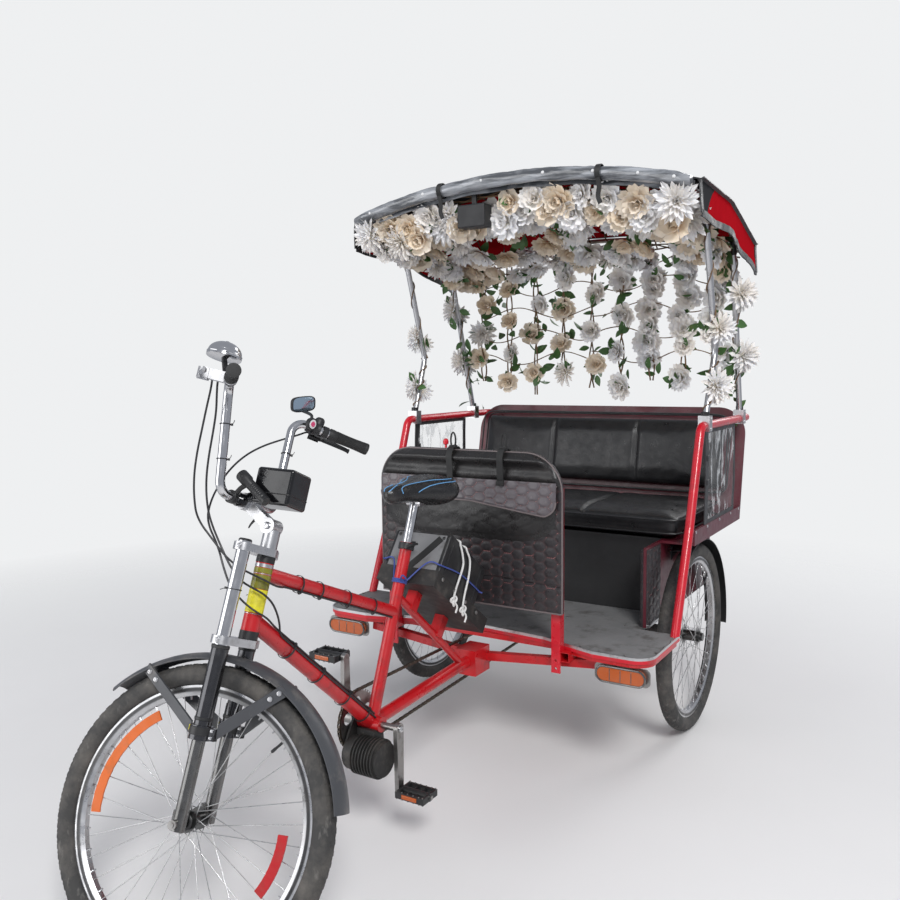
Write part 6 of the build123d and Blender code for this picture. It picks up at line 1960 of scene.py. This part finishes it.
def hood_point(across, y, settings):
    """A point of the cloth: across runs from -1 to 1 over the roof, and to 1.3 down each side."""
    edge, crown = hood_edge(y)
    bow = 0.0
    for (first, *_), (second, *_) in zip(BOWS, BOWS[1:]):
        if first <= y <= second:
            bow = math.sin(math.pi * (y - first) / (second - first))
    sag = settings.sag * 1000 * bow
    ripple = 1.6 * noise.noise(Vector((across * 7.0, y * 0.011, 1.0)))
    if abs(across) <= 1.0:
        x = HOOD_HALF * across
        z = arc_height(HOOD_HALF, edge + 9.0, crown + 16.0, x) - sag * (1 - across ** 4) + ripple
        return x, y, z
    side = math.copysign(1.0, across)
    drop = (abs(across) - 1.0) / 0.3
    wave = 6.0 * math.sin(y * 0.021 + side) * drop + 3.0 * noise.noise(Vector((y * 0.02, side, drop)))
    x = side * (HOOD_HALF + 6.0 * drop + min(5.0, wave) - (3.0 if wave > 0 else 0))
    fall = VALANCE * (1.0 + 0.05 * math.sin(y * 0.017))
    return x, y, edge + 9.0 - (fall + 7.0) * drop


def roll_height(x):
    """Height of the rolled curtain's middle at a distance across the cab."""
    return arc_height(640.0, BOWS[0][1] + 2.0, BOWS[0][2] + 2.0, x)


def build_hood(settings):
    """Red hood cloth with its side falls, dark bindings, the rolled front curtain, its studs and straps."""
    FINISH["hood"] = hood_finish(settings)
    FINISH["binding"] = vinyl_finish("hood_binding", settings.binding, 0.45, 0.2)
    build_hood_cloth(settings)
    build_hood_bindings(settings)
    build_curtain_roll(settings)
    build_roll_fittings()


def build_hood_cloth(settings):
    """The cloth over the bows with its side falls, a sheet stretched over them."""
    across = [-1.3 + 0.3 * k / 9 for k in range(9)] + [-1.0 + 2.0 * k / 80 for k in range(81)]
    across += [1.0 + 0.3 * k / 9 for k in range(1, 10)]
    middle, rows = across.index(0.0), len(HOOD_ROWS)
    points = [at(*hood_point(a, y, settings)) for y in HOOD_ROWS for a in across]
    cloth = mesh_object("hood_cloth", points, grid_faces(rows, len(across)), FINISH["hood"])
    if cloth.data.polygons[0].normal.z < 0 and cloth.data.polygons[40].normal.z < 0:
        cloth.data.flip_normals()
    solid = cloth.modifiers.new("thickness", "SOLIDIFY")
    solid.thickness, solid.offset = 0.0022, -1.0
    apply_modifiers(cloth)
    finish_piece(cloth, "vehicle", ["canopy_roof"], 60.0)


def build_hood_bindings(settings):
    """Dark bindings along the cloth's edges and where its sides turn down."""
    edge = Parts()
    for side in (-1, 1):
        for place in (1.0, 1.3):
            path = [at(*hood_point(side * place, y, settings)) for y in HOOD_ROWS]
            edge.take(*ribbon(path, Z_AXIS if place > 1.1 else Vector((side, 0, 0.4)), 0.011, 0.0022))
        for y in (HOOD_FRONT + 2.0, HOOD_REAR - 2.0):
            path = [at(*hood_point(side * (1.0 + 0.3 * k / 8), y, settings)) for k in range(9)]
            edge.take(*ribbon(path, Y_AXIS, 0.012, 0.0022))
    for y in (HOOD_FRONT + 12.0, HOOD_REAR - 12.0):
        path = [at(*hood_point(a, y, settings)) for a in np.linspace(-1, 1, 60)]
        edge.take(*ribbon(path, Y_AXIS, 0.012, 0.0022))
    edge.piece("hood_bindings", "binding", "vehicle", "black_binding", (), 60.0, turned=True)


def build_curtain_roll(settings):
    """The crumpled roll of the front curtain, drawn in by its two straps, and the lap at its back."""
    sides, steps, radius, points = 30, 150, settings.roll_radius, []
    for k in range(steps):
        x = -638.0 + 1276.0 * k / (steps - 1)
        z = roll_height(x)
        pinch = 1.0 - 0.10 * math.exp(-((abs(x - 43.0) - 299.0) / 18.0) ** 2)
        taper = 1.0 - 0.25 * max(0.0, (abs(x) - 600.0) / 40.0)
        for turn in turns(sides):
            fold = 0.055 * math.sin(3 * turn + 1.5 * noise.noise(Vector((x * 0.004, 0, 0))))
            crumple = 0.13 * noise.noise(Vector((x * 0.013, math.cos(turn) * 1.1, math.sin(turn) * 1.1)))
            crumple += 0.06 * noise.noise(Vector((x * 0.045, math.cos(turn) * 2.4, math.sin(turn) * 2.4)))
            reach = radius * 1000 * pinch * taper * (0.94 + fold + crumple)
            points.append(at(x, ROLL_Y + reach * math.cos(turn), z + reach * math.sin(turn)))
    roll = Parts().take(points, capped_faces(steps, sides))
    roll = roll.piece("rolled_curtain", "roll", "vehicle", "rolled_vinyl", ["curtain_roll"], 60.0, True)

    lap = Parts()
    path = [at(x, ROLL_Y + 16.0, roll_height(x) - 26.0 + 2.0 * math.sin(x * 0.03))
            for x in np.linspace(-632, 632, 90)]
    lap.take(*ribbon(path, Vector((0, 0.35, 1)), 0.009, 0.0014))
    lap.piece("roll_lap", "roll", "vehicle", "black_binding", (), 60.0, turned=True)


def build_roll_fittings():
    """Studs along the roll's front, and two straps with hanging ends."""
    studs, straps = Parts(), Parts()
    profile = [(0, 0.0058), (0.003, 0.0058), (0.0055, 0.0040), (0.0064, 0.0010)]
    for x in (-560.0, -324.0, -83.0, 150.0, 326.0, 476.0, 590.0):
        base = at(x, ROLL_Y - 23.0, roll_height(x) + 2.0)
        studs.lathe(base + Vector((0, 0.004, 0)), (0, -1, 0.1), profile, 16)
    for x in (-256.0, 342.0):
        z = roll_height(x)
        ring = [at(x, ROLL_Y + 25.5 * math.cos(t), z + 25.5 * math.sin(t)) for t in turns(32)]
        for shift in (-0.007, -0.0035, 0.0, 0.0035, 0.007):
            straps.tube([p + Vector((shift, 0, 0)) for p in ring], 0.0021, 6, True)
        steps_down = ((0, -20, -18), (3, -12, -44), (-4, -4, -72), (3, 0, -96))
        tail = spline([at(x + dx, ROLL_Y + dy, z + dz) for dx, dy, dz in steps_down], 14)
        straps.take(*ribbon(tail, X_AXIS, 0.0075, 0.0018))
    studs.piece("roll_studs", "pale", "vehicle", "white_trim")
    straps.piece("roll_straps", "rubber", "vehicle", "black_strap", turned=True)


def ribbon(path, across, half, thick):
    """Points and faces of a flat closed strip along a path; half is half its width, across its direction."""
    rows = []
    across = Vector(across).normalized()
    for point, (tangent, _, _) in zip(path, frames_along(path)):
        wide = (across - tangent * across.dot(tangent)).normalized()
        out = tangent.cross(wide)
        for a, b in ((-1, -1), (1, -1), (1, 1), (-1, 1)):
            rows.append(Vector(point) + wide * half * a + out * thick * b)
    return rows, capped_faces(len(path), 4)


def build_side_curtains():
    """Clear side sheets gathered between the arm rails and the body, with dark borders and a clip."""
    start, end, low, high = 1787.0, 2169.0, 752.6, 1084.5
    rows, columns, length = 40, 56, (end - start) / 1000
    for side, label in ((-1, "right"), (1, "left")):
        points = []
        for i in range(rows):
            z = low + (high - low) * i / (rows - 1)
            for j in range(columns):
                y = start + (end - start) * j / (columns - 1)
                fold = 3.0 * math.sin(y * 0.10 + 1.4 * math.sin(z * 0.012))
                fold *= math.sin(math.pi * i / (rows - 1)) ** 0.5
                fold += 1.6 * noise.noise(Vector((y * 0.03, z * 0.012, side)))
                points.append(at(side * (602.0 + fold), y, z))
        sheet = mesh_object(f"side_curtain_{label}", points, grid_faces(rows, columns), FINISH["clear"])
        solid = sheet.modifiers.new("thickness", "SOLIDIFY")
        solid.thickness, solid.offset = 0.0008, 0.0
        apply_modifiers(sheet)
        fix_normals(sheet)
        finish_piece(sheet, "vehicle", ["side_curtains"] if side > 0 else (), 70.0)
        trim = Parts()
        front = [points[i * columns] for i in range(rows)]
        foot = [points[j] for j in range(columns)]
        rear = [points[i * columns + columns - 1] for i in range(rows)]
        head = [points[(rows - 1) * columns + j] for j in range(columns)]
        borders = ((front, Y_AXIS, 0.017), (rear, Y_AXIS, 0.010), (foot, Z_AXIS, 0.014),
                   (head, Z_AXIS, 0.012))
        for path, direction, half in borders:
            trim.take(*ribbon(path, direction, half, 0.0016))
        for spot in (900.0, 985.0):
            trim.block(at(side * 604.0, 1794.0, spot), (0.006, 0.012, 0.010), 0.002)
        trim.piece(f"curtain_border_{label}", "binding", "vehicle", "black_binding", (), 60.0, turned=True)


# Flowers, leaves and vines

def petal_points(turn, tilt, curl, length, width, foot, notch, seed):
    """A thin closed petal: its rim, one point above its middle and one below, and how far out each lies."""
    out, side = Vector((math.cos(turn), math.sin(turn), 0)), Vector((-math.sin(turn), math.cos(turn), 0))
    chance = random.Random(seed)

    def spot(share, wide, lift=0.0):
        angle = tilt + curl * share
        reach = foot + length * share * math.cos(tilt + curl * share / 2)
        height = length * share * math.sin(tilt + curl * share / 2)
        normal = Z_AXIS * math.cos(angle) - out * math.sin(angle)
        return out * reach + Vector((0, 0, height)) + side * width * wide + normal * lift

    ruffle = [length * 0.09 * chance.uniform(-1, 1) for _ in range(6)]
    cup = length * 0.10
    rim = [spot(0, 0, 0), spot(0.42, -0.36, cup), spot(0.78, -0.50, cup + ruffle[0]),
           spot(1.0, -0.22, cup * 0.6 + ruffle[1]), spot(1.0 - notch, 0.0, ruffle[2]),
           spot(1.0, 0.22, cup * 0.6 + ruffle[3]), spot(0.78, 0.50, cup + ruffle[4]), spot(0.42, 0.36, cup)]
    middle = spot(0.58, 0.0, 0.0)
    thick = length * 0.012
    angle = tilt + curl * 0.5
    normal = Z_AXIS * math.cos(angle) - out * math.sin(angle)
    reaches = [0.0, 0.42, 0.78, 1.0, 1.0, 1.0, 0.78, 0.42, 0.58, 0.58]
    return rim + [middle + normal * thick, middle - normal * thick], reaches


def flower_template(name, rings, seed):
    """A flower facing local Z from rings of petals: count, tilt, curl, length, width, foot, notch."""
    points, faces, reach = [], [], []
    for index, (count, tilt, curl, length, width, foot, notch) in enumerate(rings):
        for k in range(count):
            base = len(points)
            turn = 2 * math.pi * (k + 0.37 * index) / count + 0.1 * math.sin(seed + k)
            spots, shares = petal_points(turn, tilt + 0.08 * math.sin(seed + 2.3 * k), curl, length, width,
                                         foot, notch, seed * 97 + index * 13 + k)
            points += spots
            reach += [0.15 + 0.85 * s * (0.35 + 0.65 * length) for s in shares]
            for step in range(8):
                faces.append((base + step, base + (step + 1) % 8, base + 8))
                faces.append((base + (step + 1) % 8, base + step, base + 9))
    mesh = bpy.data.meshes.new(name)
    mesh.from_pydata([tuple(p) for p in points], [], faces)
    layer = mesh.attributes.new("reach", "FLOAT", "POINT")
    layer.data.foreach_set("value", np.asarray(reach, np.float32))
    obj = bpy.data.objects.new(name, mesh)
    bpy.context.scene.collection.objects.link(obj)
    for polygon in mesh.polygons:
        polygon.use_smooth = True
    return obj


def leaf_template():
    """A pointed leaf along local X, folded at its midrib and bent down, facing local Z."""
    rim = [(0, 0), (0.12, 0.13), (0.30, 0.24), (0.52, 0.27), (0.74, 0.19), (0.90, 0.08), (1.0, 0.0)]
    outline = [(x, y, y) for x, y in rim] + [(x, -y, y) for x, y in rim[-2:0:-1]]
    points = [Vector((x, side, 0.10 * y * 2 - 0.22 * x * x)) for x, side, y in outline]
    ribs = [0.18, 0.40, 0.62, 0.82]
    count = len(points)
    top = [Vector((x, 0, -0.22 * x * x - 0.006)) for x in ribs]
    low = [Vector((x, 0, -0.22 * x * x - 0.016)) for x in ribs]
    faces = []
    left, right = list(range(0, 7)), [0] + list(range(count - 1, 5, -1))
    for rim_line, flip in ((left, False), (right, True)):
        for base, under in ((count, False), (count + 4, True)):
            a, b, c, d, e, f, g = rim_line
            strip = [(a, b, base), (b, c, base + 1, base), (c, d, base + 1), (d, base + 2, base + 1),
                     (d, e, base + 3, base + 2), (e, f, base + 3), (f, g, base + 3)]
            faces += [face if flip != under else face[::-1] for face in strip]
    obj = mesh_object("leaf", points + top + low, faces, FINISH["leaf"])
    fix_normals(obj)
    return obj


# Rings of petals from the outside in: count, tilt, curl, length, width, foot and notch
PEONY = ((9, 0.10, 0.30, 1.00, 0.62, 0.10, 0.10), (8, 0.45, 0.45, 0.86, 0.56, 0.07, 0.12),
         (7, 0.85, 0.50, 0.70, 0.46, 0.04, 0.10), (5, 1.20, 0.45, 0.52, 0.34, 0.02, 0.05))
DAHLIA = ((12, 0.00, 0.25, 1.00, 0.30, 0.10, -0.10), (12, 0.30, 0.30, 0.94, 0.28, 0.08, -0.10),
          (10, 0.62, 0.30, 0.84, 0.25, 0.06, -0.10), (8, 0.98, 0.25, 0.72, 0.20, 0.04, -0.10),
          (5, 1.30, 0.15, 0.60, 0.15, 0.02, -0.10))
ROSE = ((6, 0.15, 0.55, 0.95, 0.80, 0.12, 0.06), (6, 0.60, 0.70, 0.82, 0.72, 0.08, 0.04),
        (5, 1.05, 0.70, 0.66, 0.60, 0.05, 0.02), (4, 1.35, 0.60, 0.50, 0.44, 0.02, 0.0))


# Kinds of flower to draw from, with the common ones named more often
DRAWN_KINDS = ("peony", "cream_peony", "peony", "rose", "peony", "cream_peony", "rose", "peony", "dahlia")
STRAND_Y = 2214.0


class Garlands:
    """Flowers, leaves and vines of each area, which share one run of random draws."""

    def __init__(self, settings, kinds):
        self.settings, self.chance = settings, random.Random(24)
        self.blooms = {area: {kind: [] for kind in kinds} for area in ("front", "roof", "rear", "pole")}
        self.leaves = {area: [] for area in self.blooms}
        self.vines = {area: Parts() for area in self.blooms}

    def any_kind(self):
        return DRAWN_KINDS[self.chance.randrange(len(DRAWN_KINDS))]

    def bloom(self, area, kind, point, facing, amount=1.0):
        turn = aim(facing, self.chance.uniform(0, 6.28))
        self.blooms[area][kind].append((point, turn, self.settings.bloom * amount))

    def foliage(self, area, point, facing, count):
        chance = self.chance
        for _ in range(count):
            away = (Vector(facing) + Vector([chance.uniform(-1, 1) for _ in range(3)])).normalized()
            shift = Vector((chance.uniform(-1, 1), chance.uniform(-1, 1), chance.uniform(-0.6, 0.6))) * 0.030
            turn = aim(away, chance.uniform(0, 6.28))
            length = self.settings.leaf * chance.uniform(0.7, 1.15)
            tip = point + shift + turn.to_matrix() @ Vector((length, 0, 0))
            if not through_cloth(*((tip - at(0, 0, 0)) * 1000)):
                self.leaves[area].append((point + shift, turn, length))

    def vine(self, area, route, thick, count):
        radii = [thick * self.chance.uniform(0.85, 1.1) for _ in range(count)]
        self.vines[area].tube(spline(route, count), radii, 6)


def dress_front(garlands):
    """Three rows of flowers under the hood's front edge, with a gap for the lamp."""
    chance, pitch = garlands.chance, garlands.settings.pitch * 1000
    for row, (y, drop) in enumerate(((1500.0, 52.0), (1522.0, 98.0), (1566.0, 80.0))):
        count = int(1220 / pitch)
        for index in range(count + 1):
            x = -610.0 + 1220.0 * index / count + chance.uniform(-14, 14) + (pitch / 2 if row == 1 else 0)
            if abs(x) > 600 or (row < 2 and -212 < x < -74):
                continue
            z = under_hood(x, min(y, 1830.0)) - drop - chance.uniform(0, 26)
            facing = (chance.uniform(-0.35, 0.35), -1.0, chance.uniform(-0.75, -0.05))
            garlands.bloom("front", garlands.any_kind(), at(x, y + chance.uniform(-8, 8), z), facing,
                           chance.uniform(0.82, 1.18))
            garlands.foliage("front", at(x + 30, y + 14, z - 6), (0, -0.8, -0.4), 1)


def dress_roof(garlands):
    """Rows of flowers and leaves under the whole roof, and vines along and between its bows."""
    chance, pitch = garlands.chance, garlands.settings.pitch * 1000
    for row in range(8):
        y = 1640.0 + 74.0 * row
        count = int(1180 / (pitch * 1.22))
        for index in range(count + 1):
            x = -590.0 + 1180.0 * (index + 0.5 * (row % 2)) / count + chance.uniform(-22, 22)
            if abs(x) > 592:
                continue
            z = under_hood(x, y) - 66.0 - chance.uniform(0, 30)
            if chance.random() < 0.80:
                facing = (chance.uniform(-0.5, 0.5), chance.uniform(-0.9, -0.2), -0.8)
                garlands.bloom("roof", garlands.any_kind(), at(x, y, z), facing, chance.uniform(0.75, 1.10))
            garlands.foliage("roof", at(x, y, z - 8), (0, -0.5, -0.7), 2)
    for y, _, _ in BOWS:
        for strand in range(3):
            route = [at(x, y + 24.0 + 14 * math.sin(x * 0.014 + strand * 2.1),
                        under_hood(x, y) - 26.0 + 13 * math.sin(x * 0.019 + strand * 1.7))
                     for x in range(-600, 601, 60)]
            garlands.vine("roof", route, 0.0034, 80)
    for x in range(-540, 541, 135):
        route = []
        for k in range(8):
            y = 1500.0 + 100.0 * k
            z = under_hood(x, y) - 30.0 - 8 * math.sin(k * 1.9 + x)
            route.append(at(x + 26 * math.sin(k * 1.3 + x), y, z))
        garlands.vine("roof", route, 0.0030, 44)


def dress_rear(garlands):
    """Strands of flowers down the rear opening, and vines across them."""
    chance = garlands.chance
    for index in range(9):
        x = (index - 4) * 130.0
        top = under_hood(x, 2186.0) - 44.0
        foot = 1250.0 - 30.0 * (index % 3)
        for twist in range(2):
            route = []
            for k in range(10):
                y = STRAND_Y + 8 * math.cos(k * 1.1 + twist * 2.6)
                route.append(at(x + 10 * math.sin(k * 1.4 + index + twist * 3.1), y,
                                top + (foot - top) * k / 9))
            garlands.vine("rear", route, 0.0032, 46)
        for k in range(8):
            z = top - 30 - (top - foot - 60) * (k + chance.uniform(-0.2, 0.2)) / 7
            point = at(x + chance.uniform(-26, 26), STRAND_Y + chance.uniform(-8, 8), z)
            if (k + index) % 2 == 0 or x > 200 and k < 6:
                facing = (chance.uniform(-0.5, 0.5), -1.0, chance.uniform(-0.3, 0.4))
                garlands.bloom("rear", "peony" if x > 100 else garlands.any_kind(), point, facing,
                               chance.uniform(0.72, 1.0))
            garlands.foliage("rear", point, (0, -0.8, -0.2), 3)
    for level in range(5):
        z = 1740.0 - 98.0 * level
        for half in (-1, 1):
            route = [at(half * 520.0 * k / 9, STRAND_Y + 6 * math.sin(k * 2.0 + level),
                        z + 26 * math.sin(k * 0.9 + level * 1.7 + half)) for k in range(10)]
            garlands.vine("rear", route, 0.0024, 44)


def dress_poles(garlands):
    """Flowers, leaves and vines on the poles, and a row along each side of the hood."""
    chance = garlands.chance
    for side in (-1, 1):
        for start, end, share, amount in (
            (FRONT_KNEE, FRONT_TOP, 0.16, 0.9), (FRONT_FOOT, FRONT_KNEE, 0.5, 0.95),
            (REAR_FOOT, REAR_TOP, 0.67, 1.0), (REAR_FOOT, REAR_TOP, 0.33, 1.0),
        ):
            spot = start.lerp(end, share)
            point = at(side * (spot.x + 22.0), spot.y, spot.z)
            garlands.bloom("pole", "dahlia", point, (side * 0.7, -0.7, 0.1), amount)
            garlands.bloom("pole", "dahlia", point + Vector((-side * 0.012, 0.026, -0.020)),
                           (side * 0.5, 0.6, -0.3), amount * 0.8)
            garlands.foliage("pole", point - Vector((side * 0.02, 0, 0)), (side * 0.5, 0, 0.2), 3)
        garlands.bloom("front", "dahlia", at(side * 588.0, 1462.0, 1812.0), (side * 0.3, -0.9, -0.2), 1.1)
        for index in range(14):
            place = index / 13
            spot = REAR_FOOT.lerp(REAR_TOP, place)
            garlands.foliage("pole", at(side * (spot.x - 6.0), spot.y, spot.z), (side * 0.3, -0.4, 0), 2)
        for start, end in ((REAR_FOOT, REAR_TOP), (FRONT_FOOT, FRONT_KNEE), (FRONT_KNEE, FRONT_TOP)):
            route = []
            for k in range(13):
                spot = start.lerp(end, k / 12)
                x = side * spot.x + 14.5 * math.cos(k * 1.9)
                route.append(at(x, spot.y + 14.5 * math.sin(k * 1.9), spot.z))
            garlands.vine("pole", route, 0.0026, 60)
        for index in range(9):
            y = 1530.0 + 74.0 * index
            edge, _ = hood_edge(y)
            point = at(side * (572.0 + chance.uniform(-12, 8)), y, edge - 62.0 - chance.uniform(0, 30))
            garlands.bloom("roof", garlands.any_kind(), point, (-side * 0.6, -0.7, -0.4),
                           chance.uniform(0.8, 1.05))
            garlands.foliage("roof", point, (-side * 0.5, -0.4, -0.5), 3)


def build_flowers(settings):
    """Flowers, leaves and vines under the whole hood, down the rear opening and on the poles."""
    FINISH["white_petal"] = petal_finish("white_petals", settings.white, (0.74, 0.66, 0.50))
    FINISH["cream_petal"] = petal_finish("cream_petals", settings.cream, (0.66, 0.40, 0.22))
    FINISH["leaf"] = leaf_finish(settings.green)
    templates = {
        "peony": (flower_template("peony", PEONY, 3), "white_petal"),
        "cream_peony": (flower_template("cream_peony", PEONY, 5), "cream_petal"),
        "rose": (flower_template("rose", ROSE, 7), "cream_petal"),
        "dahlia": (flower_template("dahlia", DAHLIA, 11), "white_petal"),
    }
    leaf = leaf_template()
    garlands = Garlands(settings, templates)
    for dress_area in (dress_front, dress_roof, dress_rear, dress_poles):
        dress_area(garlands)

    stood = {"front": "hood_garlands", "rear": "rear_strands", "pole": "pole_blossoms"}
    for area, blooms in garlands.blooms.items():
        nodes = [stood[area]] if area in stood else []
        for kind, places in blooms.items():
            if not places:
                continue
            template, finish = templates[kind]
            scatter(f"{area}_{kind}_flowers", template, places, finish, "vehicle", nodes, 80.0)
            nodes = []
        if garlands.leaves[area]:
            scatter(f"{area}_leaves", leaf, garlands.leaves[area], "leaf", "vehicle", (), 50.0)
        if garlands.vines[area].points:
            garlands.vines[area].piece(f"{area}_vines", "vine", "vehicle", "vines")
    discard(leaf, *(template for template, _ in templates.values()))


# Operators, panel and registration

def settings_of(context, group):
    return getattr(context.scene, f"rickshaw_{group}")


class BuildStage(bpy.types.Operator):
    """Sets up the camera, the pale floor and the soft lights"""
    bl_idname = "rickshaw.stage"
    bl_label = "Stage"

    def execute(self, context):
        build_stage(settings_of(context, "stage"))
        return {"FINISHED"}


class BuildFinishes(bpy.types.Operator):
    """Makes the materials and dresses the CAD nodes that show"""
    bl_idname = "rickshaw.finishes"
    bl_label = "Finishes"

    def execute(self, context):
        FINISH["tyre"] = rubber_finish(settings_of(context, "tyre").color)
        build_finishes(settings_of(context, "paint"))
        return {"FINISHED"}


class BuildWheels(bpy.types.Operator):
    """Tyres with tread, nipples, valves, seals and the coloured spoke bands"""
    bl_idname = "rickshaw.wheels"
    bl_label = "Wheels"

    def execute(self, context):
        for name in WHEELS:
            build_tyre(name, settings_of(context, "tyre"))
            build_wheel_details(name)
        return {"FINISHED"}


class BuildFork(bpy.types.Operator):
    """Collars, marks, screws and ties of the fork, the mudguard's details and the head tube's tape"""
    bl_idname = "rickshaw.fork"
    bl_label = "Fork and mudguard"

    def execute(self, context):
        build_fork_details()
        build_mudguard_details()
        return {"FINISHED"}


class BuildCockpit(bpy.types.Operator):
    """Grips, bell, levers, gear changer, mirror, box, torch and ties of the handlebar"""
    bl_idname = "rickshaw.cockpit"
    bl_label = "Cockpit"

    def execute(self, context):
        build_grips()
        build_bell()
        build_levers()
        build_gear_changer()
        build_mirror()
        build_bar_box()
        build_torch()
        build_bar_ties()
        build_cables()
        return {"FINISHED"}


class BuildSaddle(bpy.types.Operator):
    """The saddle with its blue piping, springs and post clamp"""
    bl_idname = "rickshaw.saddle"
    bl_label = "Saddle"

    def execute(self, context):
        build_saddle(settings_of(context, "seat"))
        return {"FINISHED"}


class BuildDrive(bpy.types.Operator):
    """Chain links, sprocket teeth, bolts and pedal details"""
    bl_idname = "rickshaw.drive"
    bl_label = "Drive"

    def execute(self, context):
        build_drive_details()
        build_chain()
        return {"FINISHED"}


class BuildBattery(bpy.types.Operator):
    """Seams, end plate and handle of the battery case and the bolts of its tray"""
    bl_idname = "rickshaw.battery"
    bl_label = "Battery case"

    def execute(self, context):
        build_case_details()
        build_case_cords()
        return {"FINISHED"}


class BuildPanel(bpy.types.Operator):
    """The quilted front panel with its pocket, flap, piping and straps"""
    bl_idname = "rickshaw.panel"
    bl_label = "Front panel"

    def execute(self, context):
        build_panel(settings_of(context, "quilt"))
        build_linings(settings_of(context, "quilt"))
        return {"FINISHED"}


class BuildBody(bpy.types.Operator):
    """Screws, lamp rims and pole sleeves of the cab"""
    bl_idname = "rickshaw.body"
    bl_label = "Cab details"

    def execute(self, context):
        build_floor_details()
        return {"FINISHED"}


class BuildSeats(bpy.types.Operator):
    """Bench cushion and backrest"""
    bl_idname = "rickshaw.seats"
    bl_label = "Seats"

    def execute(self, context):
        build_seats(settings_of(context, "seat"))
        return {"FINISHED"}


class BuildHood(bpy.types.Operator):
    """Hood cloth, rolled curtain and clear side sheets"""
    bl_idname = "rickshaw.hood"
    bl_label = "Hood"

    def execute(self, context):
        build_hood(settings_of(context, "hood"))
        build_side_curtains()
        return {"FINISHED"}


class BuildFlowers(bpy.types.Operator):
    """Flowers, leaves and vines under and behind the hood"""
    bl_idname = "rickshaw.flowers"
    bl_label = "Flowers"

    def execute(self, context):
        build_flowers(settings_of(context, "flowers"))
        return {"FINISHED"}


SETTINGS = {"stage": StageSettings, "paint": PaintSettings, "tyre": TyreSettings, "hood": HoodSettings,
            "flowers": FlowerSettings, "quilt": QuiltSettings, "seat": SeatSettings}
OPERATORS = (BuildStage, BuildFinishes, BuildWheels, BuildFork, BuildCockpit, BuildSaddle, BuildDrive,
             BuildBattery, BuildPanel, BuildBody, BuildSeats, BuildHood, BuildFlowers)


class RickshawPanel(bpy.types.Panel):
    """Lists the pieces and their sizes and colours"""
    bl_idname = "VIEW3D_PT_rickshaw"
    bl_label = "Cycle rickshaw"
    bl_space_type = "VIEW_3D"
    bl_region_type = "UI"
    bl_category = "Rickshaw"

    def draw(self, context):
        for operator in OPERATORS:
            self.layout.operator(operator.bl_idname)
        for group, kind in SETTINGS.items():
            box = self.layout.box()
            box.label(text=kind.__doc__)
            for key in kind.__annotations__:
                box.prop(settings_of(context, group), key)


def register():
    for group, kind in SETTINGS.items():
        bpy.utils.register_class(kind)
        setattr(bpy.types.Scene, f"rickshaw_{group}", bpy.props.PointerProperty(type=kind))
    for operator in OPERATORS:
        bpy.utils.register_class(operator)
    bpy.utils.register_class(RickshawPanel)


def unregister():
    bpy.utils.unregister_class(RickshawPanel)
    for operator in reversed(OPERATORS):
        bpy.utils.unregister_class(operator)
    for group, kind in SETTINGS.items():
        delattr(bpy.types.Scene, f"rickshaw_{group}")
        bpy.utils.unregister_class(kind)


def main():
    register()
    for operator in OPERATORS:
        area, step = operator.bl_idname.split(".")
        getattr(getattr(bpy.ops, area), step)()


if __name__ == "__main__":
    main()
